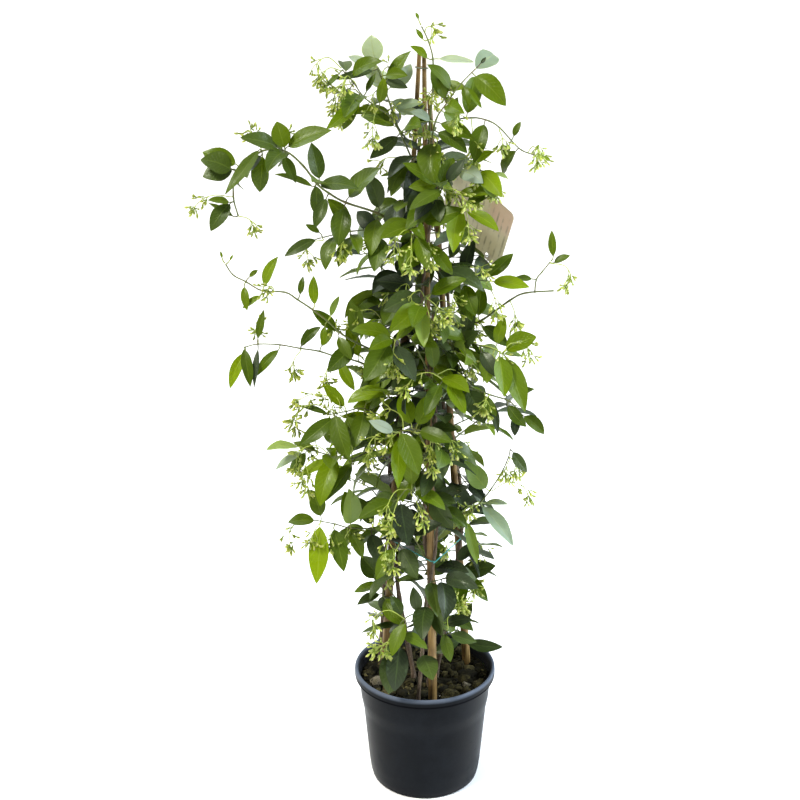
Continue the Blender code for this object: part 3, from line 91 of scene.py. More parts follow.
# Radius of each ring of points over the soil, and how many it has.
SOIL_RINGS = ((0.0, 1), (13.0, 6), (26.0, 12), (39.0, 18), (52.0, 24), (65.0, 28), (78.0, 32))
HOLE_DEPTH = 24.0
HOLE_SIDES = 8
HOLE_MARGIN = 4.0
# The share of a vine's radius that its hole is cut for.
VINE_HOLE = 0.99
# How far each ring of points is turned for its radius, and how far a point strays.
SOIL_RING_TURN = 0.37
SOIL_STRAY = 2.5
SOIL_EDGE_DROP = 0.6
SOIL_EDGE_WIDE = 9.0
SOIL_EDGE_TALL = 1.2

# Foot and top of each cane, then the radius at each.
CANES = {
    "cane_front": ((11.0, -66.0), (-1.0, -7.5, 1022.0), 6.2, 2.7),
    "cane_left": ((-58.0, 30.0), (-6.5, 3.5, 1020.0), 6.0, 2.7),
    "cane_right": ((61.0, 40.0), (5.5, 3.5, 968.0), 6.0, 3.0),
}
CANE_SIDES = 8
CANE_KNOTS = (0.16, 0.44, 0.72)
# The plain rings round a knot: how far from it, and share of the radius.
CANE_KNOT_RINGS = ((-3.5, 1.0), (0.0, 1.11), (3.0, 0.98))

# Cane, height where it ends, phase in turns, foot on the soil, radius at the foot and at the end.
VINES = {
    "vine_front": ("cane_front", 905.0, 0.10, (6.0, -24.0), 3.6, 1.8),
    "vine_left": ("cane_left", 915.0, 0.90, (-16.0, -4.0), 3.6, 1.8),
    "vine_right": ("cane_right", 900.0, 0.60, (17.0, 2.0), 3.4, 1.8),
    "vine_front_thin": ("cane_front", 700.0, 0.60, (-9.0, -72.0), 2.8, 1.5),
    "vine_left_thin": ("cane_left", 640.0, 0.40, (-66.0, 44.0), 2.8, 1.5),
}
VINE_TURN = 290.0
VINE_STEP = 37.0
VINE_BARE_SHARE = 0.36
VINE_GRIP = 1.2
VINE_JOIN = 300.0
VINE_RISE = 9.0
VINE_LEAF = (46.0, 66.0)
VINE_LEAF_WIDTH = (0.38, 0.5)
OLD_BELOW = 620.0

# Height of each tie, and how far its string keeps from what it holds.
TIES = {"tie_low": (366.0, 1.3), "tie_top": (1004.0, 0.8)}
TIE_RADIUS = 0.8
TIE_DIRECTIONS = 180
TIE_SPACING = 3.0
# A vine's end is too loose to be tied.
VINE_LOOSE_END = 10.0

TAG_CENTRE = (67.0, 40.0, 812.0)
TAG_LONG = (74.0, -84.0, -52.0)
TAG_SHORT = (18.0, -32.0, 77.0)
TAG_SIZE = (124.0, 86.0)
TAG_CORNER = 8.0
TAG_THICK = 0.9
TAG_BOW = 3.0
TAG_HOLE = (38.0, -36.0)
TAG_HOLE_RADIUS = 3.4
TAG_STRING_RADIUS = 0.6
# The tag's string: how far it keeps from the cane and the vine, and the directions in which it rounds them,
# in degrees. Then its points by the hole, out from the card's back and towards its edge, how far past the
# edge it turns, and its points there, out from the back.
TAG_STRING_CLEAR = 1.4
TAG_STRING_TURNS = range(-96, 97, 32)
TAG_STRING_BY_HOLE = ((-5.0, -1.0), (0.0, 1.7), (3.2, 3.0))
TAG_STRING_PAST_EDGE = 1.5
TAG_STRING_BY_EDGE = (3.2, -1.8)

SEED = 7

# Half the length of the stem face that a growth sprouts from, and half a ring's side to a stem's radius.
NODE_HALF = 2.2
RING_HALF = 0.7

# Share of the length and share of the full width at each blade ring.
LEAF_STATIONS = ((0.27, 0.92), (0.66, 0.84))
SMALL_LEAF_STATIONS = ((0.45, 1.0),)
SHORT_LEAF = 32.0
LEAF_RIB = 0.6
LEAF_BEND = (16.0, 46.0)
LEAF_FOLD = (0.10, 0.34)
LEAF_ROLL = 12.0
PETIOLE = 7.0
PETIOLE_OUTWARD = 0.6
PETIOLE_WIDE = 0.9
PETIOLE_TALL = 0.7

STALK_STEPS = 3
STALK_HALF = 0.75
STALK_LIFT = 3.0
STALK_FIRST = 2.0
STALK_KNOT = 1.1
LONE_STALK_START = 5.0
LONE_STALK_RADIUS = 0.95
MOST_BUDS = 4
BUD_LENGTH = (11.0, 17.0)
BUD_HALF = 1.15
BUD_BELLY = 0.62
BUD_WAIST = 0.3
# A bud that leans too far from its face, by cosine, is turned towards it. Then how it points.
BUD_LEAST_LEAN = 0.45
BUD_RIGHTED = 0.9
BUD_OUT = 0.8
BUD_ALONG = 0.4
BUD_DOWN = (0.3, 0.9)

# How far a growth keeps from what stands there, and how it is turned, in degrees, and shortened at each
# new try. Its least lean away from the face it sprouts from is a cosine.
LEAF_CLEAR = 0.55
STALK_CLEAR = 1.5
LEAF_TRIES = 14
LEAF_LOOSEN = 5.0
STALK_LOOSEN = 6.0
PATIENT_TRIES = 5
SHORTENED = 0.83
LEAST_LEAN = 0.12
NECK_INSET = 0.99
NECK_LIFT = 0.03
STEM_TAPER = 0.55
STEM_THIN = 0.9
# Where a stem starts on its parent is searched from far out to close in, by steps. The last of these is
# for when nothing is met.
SEAT_FROM = 14.0
SEAT_TO = 0.5
SEAT_STEP = 0.1
SEAT_NONE = 0.6
STEM_TRIES = 80
STEM_LOOSEN = 0.12
STEM_CLEAR = 1.35
SHARE_LOOSEN = 0.0006

# Which way an upper leaf face looks: towards the eye and up, and how far it strays to the sides.
FACE_NEAR = 0.7
FACE_UP = 0.55
FACE_STRAY = 0.25

# Leafy shoots: parent stem, where it leaves it (a height, or a share of a parent shoot's length), radius,
# then stem points (x, height, y) in the upright plane through the axis, moved to their depth y along the
# line of sight.
# Leaves: stem point, angle as seen, tilt towards the eye, length, width, tone (0 old and dark, 1 grown,
# 2 young and bright, partly painted light where a leaf is lit through, 3 pale, a painted sky reflection).
# Sprays: stem point, angle as seen, tilt, length, droop, number of buds.
SHOOTS = {
    "shoot_tip": (
        "vine_front", 898.0, 1.7,
        ((7, 953, -22), (10, 978, -19), (10, 1014, -14), (4, 1036, -9), (-4, 1052, -5)),
        ((0, 170, 20, 26, 12, 0), (1, -4, 20, 35, 17, 1), (2, -8, 10, 44, 14, 3), (2, 147, 10, 25, 12, 1),
         (3, 125, 5, 15, 6, 2), (3, 55, 5, 12, 5, 2), (4, 112, 0, 9, 4, 2)),
        (),
    ),
    "shoot_crown_left_high": (
        "vine_left", 905.0, 1.7,
        ((-30, 925, -14), (-42, 955, -24), (-50, 982, -30), (-58, 1003, -32)),
        ((0, 222, 15, 46, 18, 0), (0, 20, 20, 38, 16, 1), (1, 189, 15, 48, 14, 1), (1, 6, 20, 34, 14, 3),
         (2, 128, 10, 36, 20, 3), (2, 52, 10, 46, 20, 1), (3, 98, 10, 31, 25, 3), (3, 156, 5, 33, 13, 3),
         (3, 205, 10, 50, 10, 0)),
        ((2, 240, 20, 26, 30, 5),),
    ),
    "shoot_crown_left_low": (
        "vine_left", 878.0, 1.6,
        ((-38, 938, -30), (-58, 955, -40), (-76, 969, -44), (-87, 985, -46), (-101, 1001, -48)),
        ((0, 110, 20, 34, 14, 1), (1, 80, 20, 30, 13, 1), (2, 224, 15, 56, 16, 2), (2, 62, 10, 24, 9, 1),
         (3, 245, 10, 27, 10, 0), (4, 228, 10, 24, 8, 1)),
        ((1, 232, 20, 50, 30, 6), (3, 214, 10, 38, 45, 6), (4, 172, 0, 46, 70, 6), (4, 196, 15, 36, 60, 5)),
    ),
    "shoot_crown_right_high": (
        "vine_front", 888.0, 1.5,
        ((13, 938, -34), (28, 962, -38), (45, 985, -38), (62, 1002, -36)),
        ((0, -28, 10, 46, 18, 1), (0, 160, 20, 26, 13, 3), (1, 110, 10, 26, 12, 1), (2, -74, 10, 24, 9, 1),
         (2, -52, 0, 32, 10, 1), (3, 50, 0, 10, 4, 0)),
        ((1, -60, 15, 30, 30, 5),),
    ),
    "shoot_crown_right_low": (
        "vine_front", 878.0, 1.4,
        ((33, 934, -2), (58, 943, -8), (80, 939, -10), (94, 930, -10), (108, 915, -8), (121, 903, -6),
         (137, 897, -4)),
        ((0, 70, 10, 30, 13, 1), (4, 64, 0, 20, 8, 1), (4, -115, 0, 17, 8, 1), (6, -18, 0, 13, 6, 2),
         (6, 60, 0, 8, 4, 2)),
        ((1, -86, 5, 48, 10, 6), (3, -72, 5, 17, 20, 4)),
    ),
    "shoot_tag_side_high": (
        "vine_front", 842.0, 1.5,
        ((36, 878, -14), (58, 880, -18), (78, 876, -20)),
        ((0, 172, 20, 33, 15, 0), (0, 208, 20, 31, 14, 3), (1, 30, 10, 30, 12, 2), (2, -22, 5, 19, 8, 2)),
        ((1, -52, 10, 24, 30, 5), (2, -62, 10, 26, 20, 6), (2, -84, 0, 42, 10, 5)),
    ),
    "shoot_tag_side_low": (
        "vine_front", 812.0, 1.5,
        ((38, 846, -34), (48, 832, -40)),
        ((0, 0, 15, 54, 16, 1), (0, 152, 20, 42, 14, 2), (1, -34, 15, 48, 16, 2), (1, -99, 20, 60, 22, 2),
         (1, 30, 10, 36, 14, 1)),
        ((1, -80, 30, 42, 20, 6),),
    ),
    "shoot_upper_left": (
        "vine_left", 800.0, 2.1,
        ((-59, 823, -36), (-100, 837, -48), (-121, 849, -52), (-136, 861, -55), (-153, 884, -58),
         (-175, 902, -58), (-204, 902, -56), (-219, 886, -54), (-237, 877, -52), (-242, 845, -50),
         (-237, 820, -48)),
        ((0, 112, 15, 46, 22, 0), (0, 262, 20, 50, 22, 1), (1, 40, 15, 54, 32, 1), (1, 262, 10, 48, 24, 1),
         (2, 250, 10, 40, 16, 1), (3, 102, 10, 44, 22, 1), (3, 163, 5, 48, 10, 1), (3, -10, 15, 50, 26, 1),
         (3, -76, 5, 45, 17, 1), (5, 18, 10, 57, 23, 1), (5, 106, 5, 32, 22, 3), (5, -66, 5, 35, 14, 1),
         (5, 174, 15, 54, 23, 1), (6, 222, 5, 42, 20, 1), (6, 236, 15, 70, 15, 2), (8, 164, 10, 38, 29, 1),
         (8, 196, 5, 37, 27, 1), (10, 152, 5, 34, 9, 1)),
        ((6, 116, 0, 26, 10, 2), (9, 184, 0, 48, 25, 3), (10, -24, 0, 22, 30, 2)),
    ),
    "shoot_left_shelf": (
        "vine_left", 775.0, 1.6,
        ((-58, 800, -42), (-95, 800, -50), (-131, 792, -52)),
        ((0, -96, 25, 50, 24, 1), (0, 140, 10, 46, 20, 0), (1, 250, 15, 42, 18, 1), (1, 128, 10, 42, 18, 1),
         (2, 210, 10, 44, 14, 1), (2, 150, 5, 20, 8, 2)),
        ((1, 240, 10, 42, 30, 5), (2, 222, 5, 46, 45, 6)),
    ),
    "shoot_left_long": (
        "vine_left_thin", 622.0, 1.8,
        ((-90, 652, -32), (-111, 666, -36), (-127, 681, -38), (-146, 697, -40), (-165, 710, -42),
         (-181, 720, -42), (-210, 722, -42), (-231, 734, -40), (-247, 743, -38), (-256, 757, -36)),
        ((0, 100, 15, 48, 20, 1), (0, 225, 20, 48, 22, 1), (1, 140, 10, 42, 17, 1), (1, -60, 10, 34, 14, 1),
         (2, 66, 5, 28, 9, 2), (2, -94, 5, 25, 8, 1), (3, 92, 0, 36, 12, 2), (4, 80, 0, 23, 8, 1),
         (6, 64, 5, 40, 13, 2), (6, 217, 5, 27, 9, 1), (7, -84, 0, 30, 10, 1), (7, 40, 0, 14, 6, 1),
         (9, 105, 0, 9, 3, 2), (9, 60, 0, 8, 3, 2)),
        ((2, 216, 5, 28, 50, 6),),
    ),
    "shoot_left_forked": (
        "vine_left_thin", 596.0, 1.7,
        ((-88, 626, -12), (-112, 631, -14), (-138, 640, -16), (-163, 644, -18), (-190, 649, -18),
         (-219, 650, -18), (-236, 646, -16)),
        ((0, 110, 5, 44, 18, 1), (1, 250, 10, 45, 14, 2), (1, -66, 10, 41, 14, 2), (2, 60, 0, 30, 12, 1),
         (3, 42, 5, 32, 12, 1), (3, 66, 0, 25, 9, 1), (4, 230, 0, 44, 12, 1), (5, 78, 0, 38, 10, 1),
         (5, -95, 5, 50, 9, 0), (6, 248, 5, 51, 14, 2), (6, -80, 5, 50, 14, 1)),
        ((3, 242, 5, 27, 30, 4), (5, 102, 0, 32, 20, 3)),
    ),
    "shoot_left_fan_high": (
        "vine_left", 535.0, 1.6,
        ((-80, 560, -32), (-105, 556, -40), (-121, 553, -44)),
        ((0, 62, 15, 42, 16, 1), (0, 255, 25, 50, 22, 1), (1, 132, 10, 42, 15, 2), (1, -50, 15, 40, 18, 1),
         (2, 164, 0, 37, 8, 1), (2, 219, 10, 57, 20, 1), (2, -72, 10, 62, 24, 1)),
        ((1, 152, 0, 72, 35, 6), (2, 176, 0, 70, 50, 6), (2, 194, 10, 60, 40, 6)),
    ),
    "shoot_left_fan_low": (
        "vine_left", 475.0, 1.7,
        ((-70, 500, -42), (-98, 488, -54), (-121, 492, -60), (-144, 498, -64), (-163, 504, -64)),
        ((0, 100, 15, 46, 20, 1), (1, 235, 15, 60, 22, 1), (1, 95, 10, 40, 16, 1), (2, 196, 10, 49, 16, 2),
         (2, 253, 15, 66, 26, 2), (3, 150, 5, 32, 12, 1), (4, 238, 10, 57, 18, 2), (4, 214, 0, 40, 12, 3)),
        ((2, 208, 20, 62, 35, 6), (3, 226, 15, 42, 30, 6), (4, 162, 0, 76, 60, 6), (4, 188, 10, 62, 60, 6)),
    ),
    "shoot_left_hanging": (
        "vine_left_thin", 368.0, 1.7,
        ((-73, 384, -22), (-103, 386, -34), (-124, 392, -42), (-143, 396, -46)),
        ((0, 120, 10, 44, 20, 1), (0, -70, 20, 44, 22, 0), (1, 100, 5, 43, 24, 1), (1, -62, 15, 38, 16, 1),
         (2, -76, 10, 58, 22, 1), (3, -93, 5, 76, 26, 2), (3, 184, 5, 35, 18, 1), (3, 109, 5, 37, 20, 1)),
        ((1, 244, 15, 30, 30, 5), (2, 246, 20, 30, 20, 5), (3, 197, 5, 66, 50, 6), (3, 238, 20, 28, 20, 5)),
    ),
    "shoot_low_left": (
        "vine_left", 262.0, 1.5,
        ((-60, 305, -6), (-58, 286, -14)),
        ((0, 128, 5, 38, 26, 1), (0, 200, 0, 36, 14, 3), (1, 205, 5, 34, 13, 0), (1, -52, 20, 46, 22, 2)),
        (),
    ),
    "shoot_low_front": (
        "vine_front_thin", 232.0, 1.6,
        ((-10, 250, -84), (-29, 245, -92), (-38, 226, -92), (-38, 208, -88)),
        ((0, 100, 10, 34, 16, 0), (1, 247, 10, 46, 20, 2), (1, 120, 5, 30, 15, 1), (2, -28, 10, 40, 16, 2),
         (3, 259, 5, 62, 34, 0), (3, -98, 0, 60, 28, 0)),
        ((1, 176, 5, 62, 60, 6), (2, 236, 10, 30, 30, 6), (3, -80, 15, 40, 10, 6)),
    ),
    "shoot_low_front_right": (
        "vine_front", 236.0, 1.5,
        ((22, 238, -82), (29, 226, -86)),
        ((0, 12, 10, 36, 16, 0), (1, -16, 5, 36, 17, 2), (1, -76, 5, 38, 16, 0)),
        ((0, 62, 15, 36, 30, 6), (1, 30, 10, 50, 50, 6)),
    ),
    "shoot_low_right": (
        "vine_right", 212.0, 1.5,
        ((46, 228, 10), (54, 214, 4)),
        ((0, 60, 5, 38, 18, 0), (0, 140, 10, 36, 18, 1), (1, -6, 5, 51, 17, 0), (1, 205, 10, 40, 17, 1)),
        (),
    ),
    "shoot_right_knee": (
        "vine_right", 305.0, 1.5,
        ((42, 330, 6), (52, 320, 0)),
        ((0, 45, 10, 38, 16, 0), (0, 200, 10, 40, 18, 0), (1, -50, 10, 46, 17, 1), (1, -98, 20, 48, 24, 2)),
        ((1, -70, 20, 32, 20, 5),),
    ),
    "shoot_right_rising": (
        "vine_right", 375.0, 1.6,
        ((56, 402, -14), (76, 424, -26), (89, 442, -32), (103, 466, -36), (113, 490, -38), (115, 502, -38)),
        ((0, -76, 10, 58, 15, 2), (0, 222, 10, 46, 13, 3), (0, 115, 10, 46, 26, 0), (1, -3, 5, 31, 9, 3),
         (1, -52, 10, 66, 22, 3), (2, 128, 10, 48, 25, 2), (5, -55, 5, 32, 15, 0)),
        ((1, -78, 15, 30, 20, 5), (2, 12, 5, 60, 45, 6), (4, 250, 0, 18, 20, 2), (4, -62, 0, 20, 20, 2)),
    ),
    "shoot_right_brown": (
        "vine_right", 676.0, 1.9,
        ((32, 662, -26), (38, 640, -32), (51, 614, -36), (60, 592, -38), (86, 580, -42), (112, 571, -44),
         (126, 556, -44)),
        ((2, 205, 10, 44, 16, 0), (3, -64, 10, 48, 30, 0), (3, 212, 10, 44, 15, 0), (4, -84, 10, 46, 11, 0),
         (5, 20, 5, 30, 13, 1), (5, -50, 10, 36, 15, 1), (6, -42, 5, 35, 16, 1), (6, -96, 10, 26, 12, 0)),
        ((4, -118, 20, 30, 20, 6), (1, -35, 15, 34, 30, 6)),
    ),
    "shoot_right_upper": (
        "vine_right", 640.0, 1.7,
        ((52, 655, -34), (74, 647, -42), (92, 643, -46), (102, 636, -48)),
        ((0, 80, 10, 44, 18, 0), (1, 66, 5, 38, 15, 3), (1, -58, 15, 42, 17, 0), (2, -106, 15, 46, 22, 2),
         (2, 74, 5, 36, 15, 1), (3, -72, 10, 72, 26, 1), (3, 24, 5, 42, 26, 1), (3, -50, 15, 30, 12, 2)),
        ((2, -125, 15, 34, 20, 6), (3, -16, 0, 78, 45, 6), (3, 10, 5, 52, 60, 5)),
    ),
    "shoot_right_stick": (
        "vine_right", 660.0, 2.2,
        ((44, 672, 2), (72, 681, -4), (110, 709, -9), (130, 719, -11), (167, 722, -13)),
        ((1, 84, 5, 40, 18, 1), (1, -40, 10, 42, 18, 1)),
        ((2, -74, 10, 26, 20, 4),),
    ),
    "shoot_right_stick_end": (
        "shoot_right_stick", 0.84, 1.2,
        ((144, 737, -14), (151, 747, -14), (161, 760, -14)),
        ((0, 176, 5, 22, 11, 1), (2, 93, 0, 33, 10, 1), (2, 24, 5, 22, 10, 1)),
        ((2, -30, 0, 42, 50, 3),),
    ),
    "shoot_right_high": (
        "vine_right", 715.0, 1.6,
        ((50, 737, -18), (80, 735, -24)),
        ((0, 72, 10, 46, 18, 0), (0, -72, 20, 46, 20, 1), (1, -10, 10, 46, 18, 2), (1, 42, 5, 42, 16, 1)),
        ((1, -64, 10, 38, 20, 6),),
    ),
    "shoot_front_990": (
        "vine_front", 838.0, 1.5,
        ((13, 850, -46), (22, 858, -52)),
        ((0, 232, 20, 42, 17, 0), (1, 151, 15, 50, 18, 1), (1, 214, 20, 50, 18, 1), (1, 50, 10, 34, 15, 0)),
        ((1, -84, 25, 46, 20, 6),),
    ),
    "shoot_front_820": (
        "vine_front", 785.0, 1.6,
        ((-8, 812, -54), (-14, 795, -62)),
        ((0, 14, 20, 56, 24, 1), (0, 198, 15, 48, 22, 1), (1, -106, 20, 45, 16, 1), (1, -74, 20, 45, 18, 1)),
        ((1, -92, 40, 54, 10, 6), (1, -58, 30, 40, 20, 6)),
    ),
    "shoot_front_710": (
        "vine_front", 682.0, 1.6,
        ((2, 715, -66), (-6, 698, -74)),
        ((0, 200, 15, 52, 26, 0), (0, 22, 15, 48, 20, 1), (1, 232, 20, 44, 15, 1), (1, -88, 20, 52, 18, 2)),
        ((0, -48, 30, 34, 20, 6),),
    ),
    "shoot_front_660": (
        "vine_front_thin", 628.0, 1.6,
        ((-22, 662, -66), (-40, 655, -74)),
        ((0, -24, 20, 48, 18, 1), (0, 80, 15, 44, 20, 0), (1, 238, 20, 60, 30, 1), (1, 172, 10, 50, 22, 1),
         (1, -62, 20, 54, 26, 0)),
        ((1, -106, 30, 32, 20, 6),),
    ),
    "shoot_front_600": (
        "vine_front", 585.0, 1.6,
        ((10, 610, -72), (24, 600, -78)),
        ((0, 205, 20, 52, 20, 1), (0, 100, 15, 44, 18, 1), (1, -60, 20, 46, 17, 2), (1, -116, 20, 46, 18, 1)),
        ((1, 184, 25, 60, 40, 6),),
    ),
    "shoot_front_530": (
        "vine_front", 505.0, 1.7,
        ((-12, 530, -76), (-34, 527, -84)),
        ((0, 60, 10, 50, 24, 2), (0, -20, 20, 46, 20, 1), (1, -92, 15, 66, 20, 2), (1, -70, 5, 58, 26, 1),
         (1, 155, 10, 34, 14, 3)),
        ((0, 8, 25, 46, 50, 6), (1, 202, 15, 60, 45, 6)),
    ),
    "shoot_front_430": (
        "vine_front_thin", 405.0, 1.6,
        ((-18, 442, -78), (-36, 430, -84)),
        ((0, 96, 10, 46, 20, 1), (0, -30, 20, 48, 20, 1), (1, 206, 15, 50, 22, 1), (1, -80, 15, 56, 28, 0)),
        ((0, -62, 30, 42, 20, 6), (1, -108, 25, 38, 20, 6)),
    ),
    "shoot_front_360": (
        "vine_front", 335.0, 1.6,
        ((-18, 368, -72), (-30, 352, -78)),
        ((0, 22, 20, 42, 20, 0), (0, 170, 10, 44, 20, 1), (1, -60, 20, 46, 24, 0), (1, 240, 15, 46, 20, 1)),
        ((1, 232, 25, 32, 30, 5),),
    ),
}

# Short leafy shoots on the sides that face away: vine, height, compass turn from +X, reach, rise, nodes.
BACK_SHOOTS = {
    "shoot_back_880": ("vine_right", 850.0, 95.0, 88.0, 42.0, 3),
    "shoot_back_760": ("vine_left", 720.0, 128.0, 96.0, 34.0, 3),
    "shoot_back_640": ("vine_left_thin", 615.0, 100.0, 104.0, 26.0, 3),
    "shoot_back_520": ("vine_right", 500.0, 48.0, 100.0, 24.0, 3),
    "shoot_back_430": ("vine_left_thin", 405.0, 132.0, 96.0, 22.0, 3),
    "shoot_back_330": ("vine_right", 300.0, 85.0, 84.0, 30.0, 3),
}

BACK_RADIUS = 1.6
BACK_SWINGS = (70.0, -70.0, 5.0)
BACK_LEAF = (44.0, 62.0)
BACK_WIDTH = 0.46

# Bud sprays that are pieces of their own: parent shoot, share of its length, then as in SHOOTS.
SPRAYS = {
    "spray_right": ("shoot_right_upper", 0.60, -22, 10, 56, 40, 6),
    "spray_left_high": ("shoot_crown_left_low", 0.72, 168, 10, 48, 60, 6),
    "spray_left_middle": ("shoot_left_forked", 0.42, 232, 10, 36, 40, 5),
    "spray_left_low": ("shoot_left_fan_low", 0.78, 172, 20, 66, 60, 6),
    "spray_front_high": ("shoot_front_710", 0.55, -75, 35, 34, 30, 6),
    "spray_front_low": ("shoot_front_530", 0.45, -60, 35, 40, 30, 6),
}


def at_depth(x, height, y):
    """The point at depth y on the line of sight through this spot of the plane through the axis."""
    flat = Vector((x, 0.0, height))
    return EYE + (flat - EYE) * ((y - EYE.y) / -EYE.y)


def seen(angle, tilt):
    """The direction at this angle in the picture plane, leaning towards the eye by the tilt."""
    turn = math.radians(angle)
    lean = math.radians(tilt)
    flat = SEEN_RIGHT * math.cos(turn) + SEEN_UP * math.sin(turn)
    return flat * math.cos(lean) + SEEN_NEAR * math.sin(lean)


def across(direction, hint):
    """The part of hint at right angles to direction, one long."""
    flat = hint - direction * hint.dot(direction)
    if flat.length < 0.05:
        flat = direction.orthogonal()
    return flat.normalized()


def square(centre, side, up, half, half_up=None):
    """Four corners, counter-clockwise about side x up. Its walls face up, -side, -up and +side."""
    tall = half if half_up is None else half_up
    return [
        centre + side * half + up * tall,
        centre - side * half + up * tall,
        centre - side * half - up * tall,
        centre + side * half - up * tall,
    ]


class Body:
    """A closed mesh that grows: a face gives way to the walls of what sprouts from it."""

    def __init__(self):
        self.points = []
        self.faces = {}
        self.made = 0

    def put(self, face):
        self.faces[self.made] = tuple(face)
        self.made += 1
        return self.made - 1

    def add(self, ring):
        first = len(self.points)
        self.points.extend(ring)
        return list(range(first, first + len(ring)))

    def start(self, ring):
        """A flat seed. The face returned looks along side x up and can be grown."""
        ids = self.add(ring)
        self.put(reversed(ids))
        return self.put(ids)

    def grow(self, face, rings, tip=None):
        """Sprouts rings from a face, ending in a tip point or a flat cap. Returns the walls and the cap."""
        base = self.faces.pop(face)
        count = len(base)
        walls = []
        for ring in rings:
            ids = self.add(ring)
            walls.append([self.put((base[i], base[(i + 1) % count], ids[(i + 1) % count], ids[i]))
                          for i in range(count)])
            base = ids
        if tip is None:
            return walls, self.put(base)
        top = self.add([tip])[0]
        for i in range(count):
            self.put((base[i], base[(i + 1) % count], top))
        return walls, None

    def triangles(self):
        """All faces split the same way, so that a test and the finished mesh agree."""
        made = []
        for face in self.faces.values():
            made.extend((face[0], face[i], face[i + 1]) for i in range(1, len(face) - 1))
        return made

    def centre(self, face):
        corners = [self.points[i] for i in self.faces[face]]
        return sum(corners, Vector()) / len(corners)

    def normal(self, face):
        a, b, c, d = [self.points[i] for i in self.faces[face]]
        return (c - a).cross(d - b).normalized()


def matched(base, ring):
    """The ring turned so that each corner meets the nearest corner of the base."""
    middle = sum(base, Vector()) / 4
    heart = sum(ring, Vector()) / 4
    best = min(range(4), key=lambda turn: sum(
        ((base[i] - middle).normalized() - (ring[(i + turn) % 4] - heart).normalized()).length
        for i in range(4)))
    return [ring[(i + best) % 4] for i in range(4)], best


class Crowd:
    """Everything placed so far, each piece as a small tree, so that a new piece can keep clear."""

    def __init__(self):
        self.items = []

    def add(self, points, faces, owner):
        tree = BVHTree.FromPolygons(points, faces)
        self.items.append((self.low(points), self.high(points), tree, owner))
        return tree

    def low(self, points):
        return tuple(min(p[i] for p in points) for i in range(3))

    def high(self, points):
        return tuple(max(p[i] for p in points) for i in range(3))

    def hits(self, points, faces, skip=None):
        low = self.low(points)
        high = self.high(points)
        near = [
            item for item in self.items
            if item[3] != skip
            and item[0][0] <= high[0] and item[1][0] >= low[0]
            and item[0][1] <= high[1] and item[1][1] >= low[1]
            and item[0][2] <= high[2] and item[1][2] >= low[2]
        ]
        if not near:
            return False
        tree = BVHTree.FromPolygons(points, faces)
        return any(item[2].overlap(tree) for item in near)


def swollen(ring, share):
    """The ring scaled about its middle."""
    centre = sum(ring, Vector()) / len(ring)
    return [centre + (corner - centre) * share for corner in ring]


def prism(rings, tip=None):
    """The points and faces of a closed run of four-cornered rings."""
    body = Body()
    end = body.start(rings[0])
    body.grow(end, rings[1:], tip)
    return body.points, body.triangles()


class Stem:
    """An axis with its body, its free faces at each stem point and the radius along it."""

    def __init__(self, name, axis, start_radius, end_radius, first_up, knots=None):
        self.name = name
        self.axis = axis
        self.lengths = [0.0]
        for a, b in zip(axis, axis[1:]):
            self.lengths.append(self.lengths[-1] + (b - a).length)
        self.radii = [start_radius + (end_radius - start_radius) * length / self.lengths[-1]
                      for length in self.lengths]
        self.body = Body()
        self.rings = []
        self.leaves = []
        self.sprays = []
        self.free = {}
        up = first_up
        heading = (axis[1] - axis[0]).normalized()
        up = across(heading, up)
        self.rings.append(square(axis[0], up.cross(heading), up, self.radii[0] * RING_HALF))
        face = self.body.start(self.rings[0])
        for i in range(1, len(axis)):
            ahead = (axis[min(i + 1, len(axis) - 1)] - axis[i]).normalized()
            behind = (axis[i] - axis[i - 1]).normalized()
            heading = (behind + ahead).normalized()
            up = across(heading, up)
            side = up.cross(heading)
            half = self.radii[i] * RING_HALF
            knot = knots is None or i - 1 in knots or i == len(axis) - 1
            steps = (-NODE_HALF, NODE_HALF) if knot else (0.0,)
            pair = [square(axis[i] + heading * step, side, up, half) for step in steps]
            walls, face = self.body.grow(face, pair)
            self.free[i - 1] = list(walls[1]) if knot else []
            self.rings.extend(pair)
        self.free[len(axis) - 2].append(face)

    def at(self, share):
        """The axis point at this share of the length."""
        goal = share * self.lengths[-1]
        for i in range(len(self.axis) - 1):
            if self.lengths[i + 1] >= goal:
                step = (goal - self.lengths[i]) / (self.lengths[i + 1] - self.lengths[i])
                return self.axis[i].lerp(self.axis[i + 1], step)
        return self.axis[-1]

    def at_height(self, height):
        """The share of the length where the axis first reaches this height."""
        for i in range(len(self.axis) - 1):
            a = self.axis[i].z
            b = self.axis[i + 1].z
            if a <= height <= b:
                step = (height - a) / max(b - a, 0.001)
                return (self.lengths[i] + step * (self.lengths[i + 1] - self.lengths[i])) / self.lengths[-1]
        return 1.0

    def face_towards(self, node, direction):
        """The free face of a stem point that looks most along this direction."""
        faces = self.free.get(node, [])
        if not faces:
            return None
        return max(faces, key=lambda face: self.body.normal(face).dot(direction))


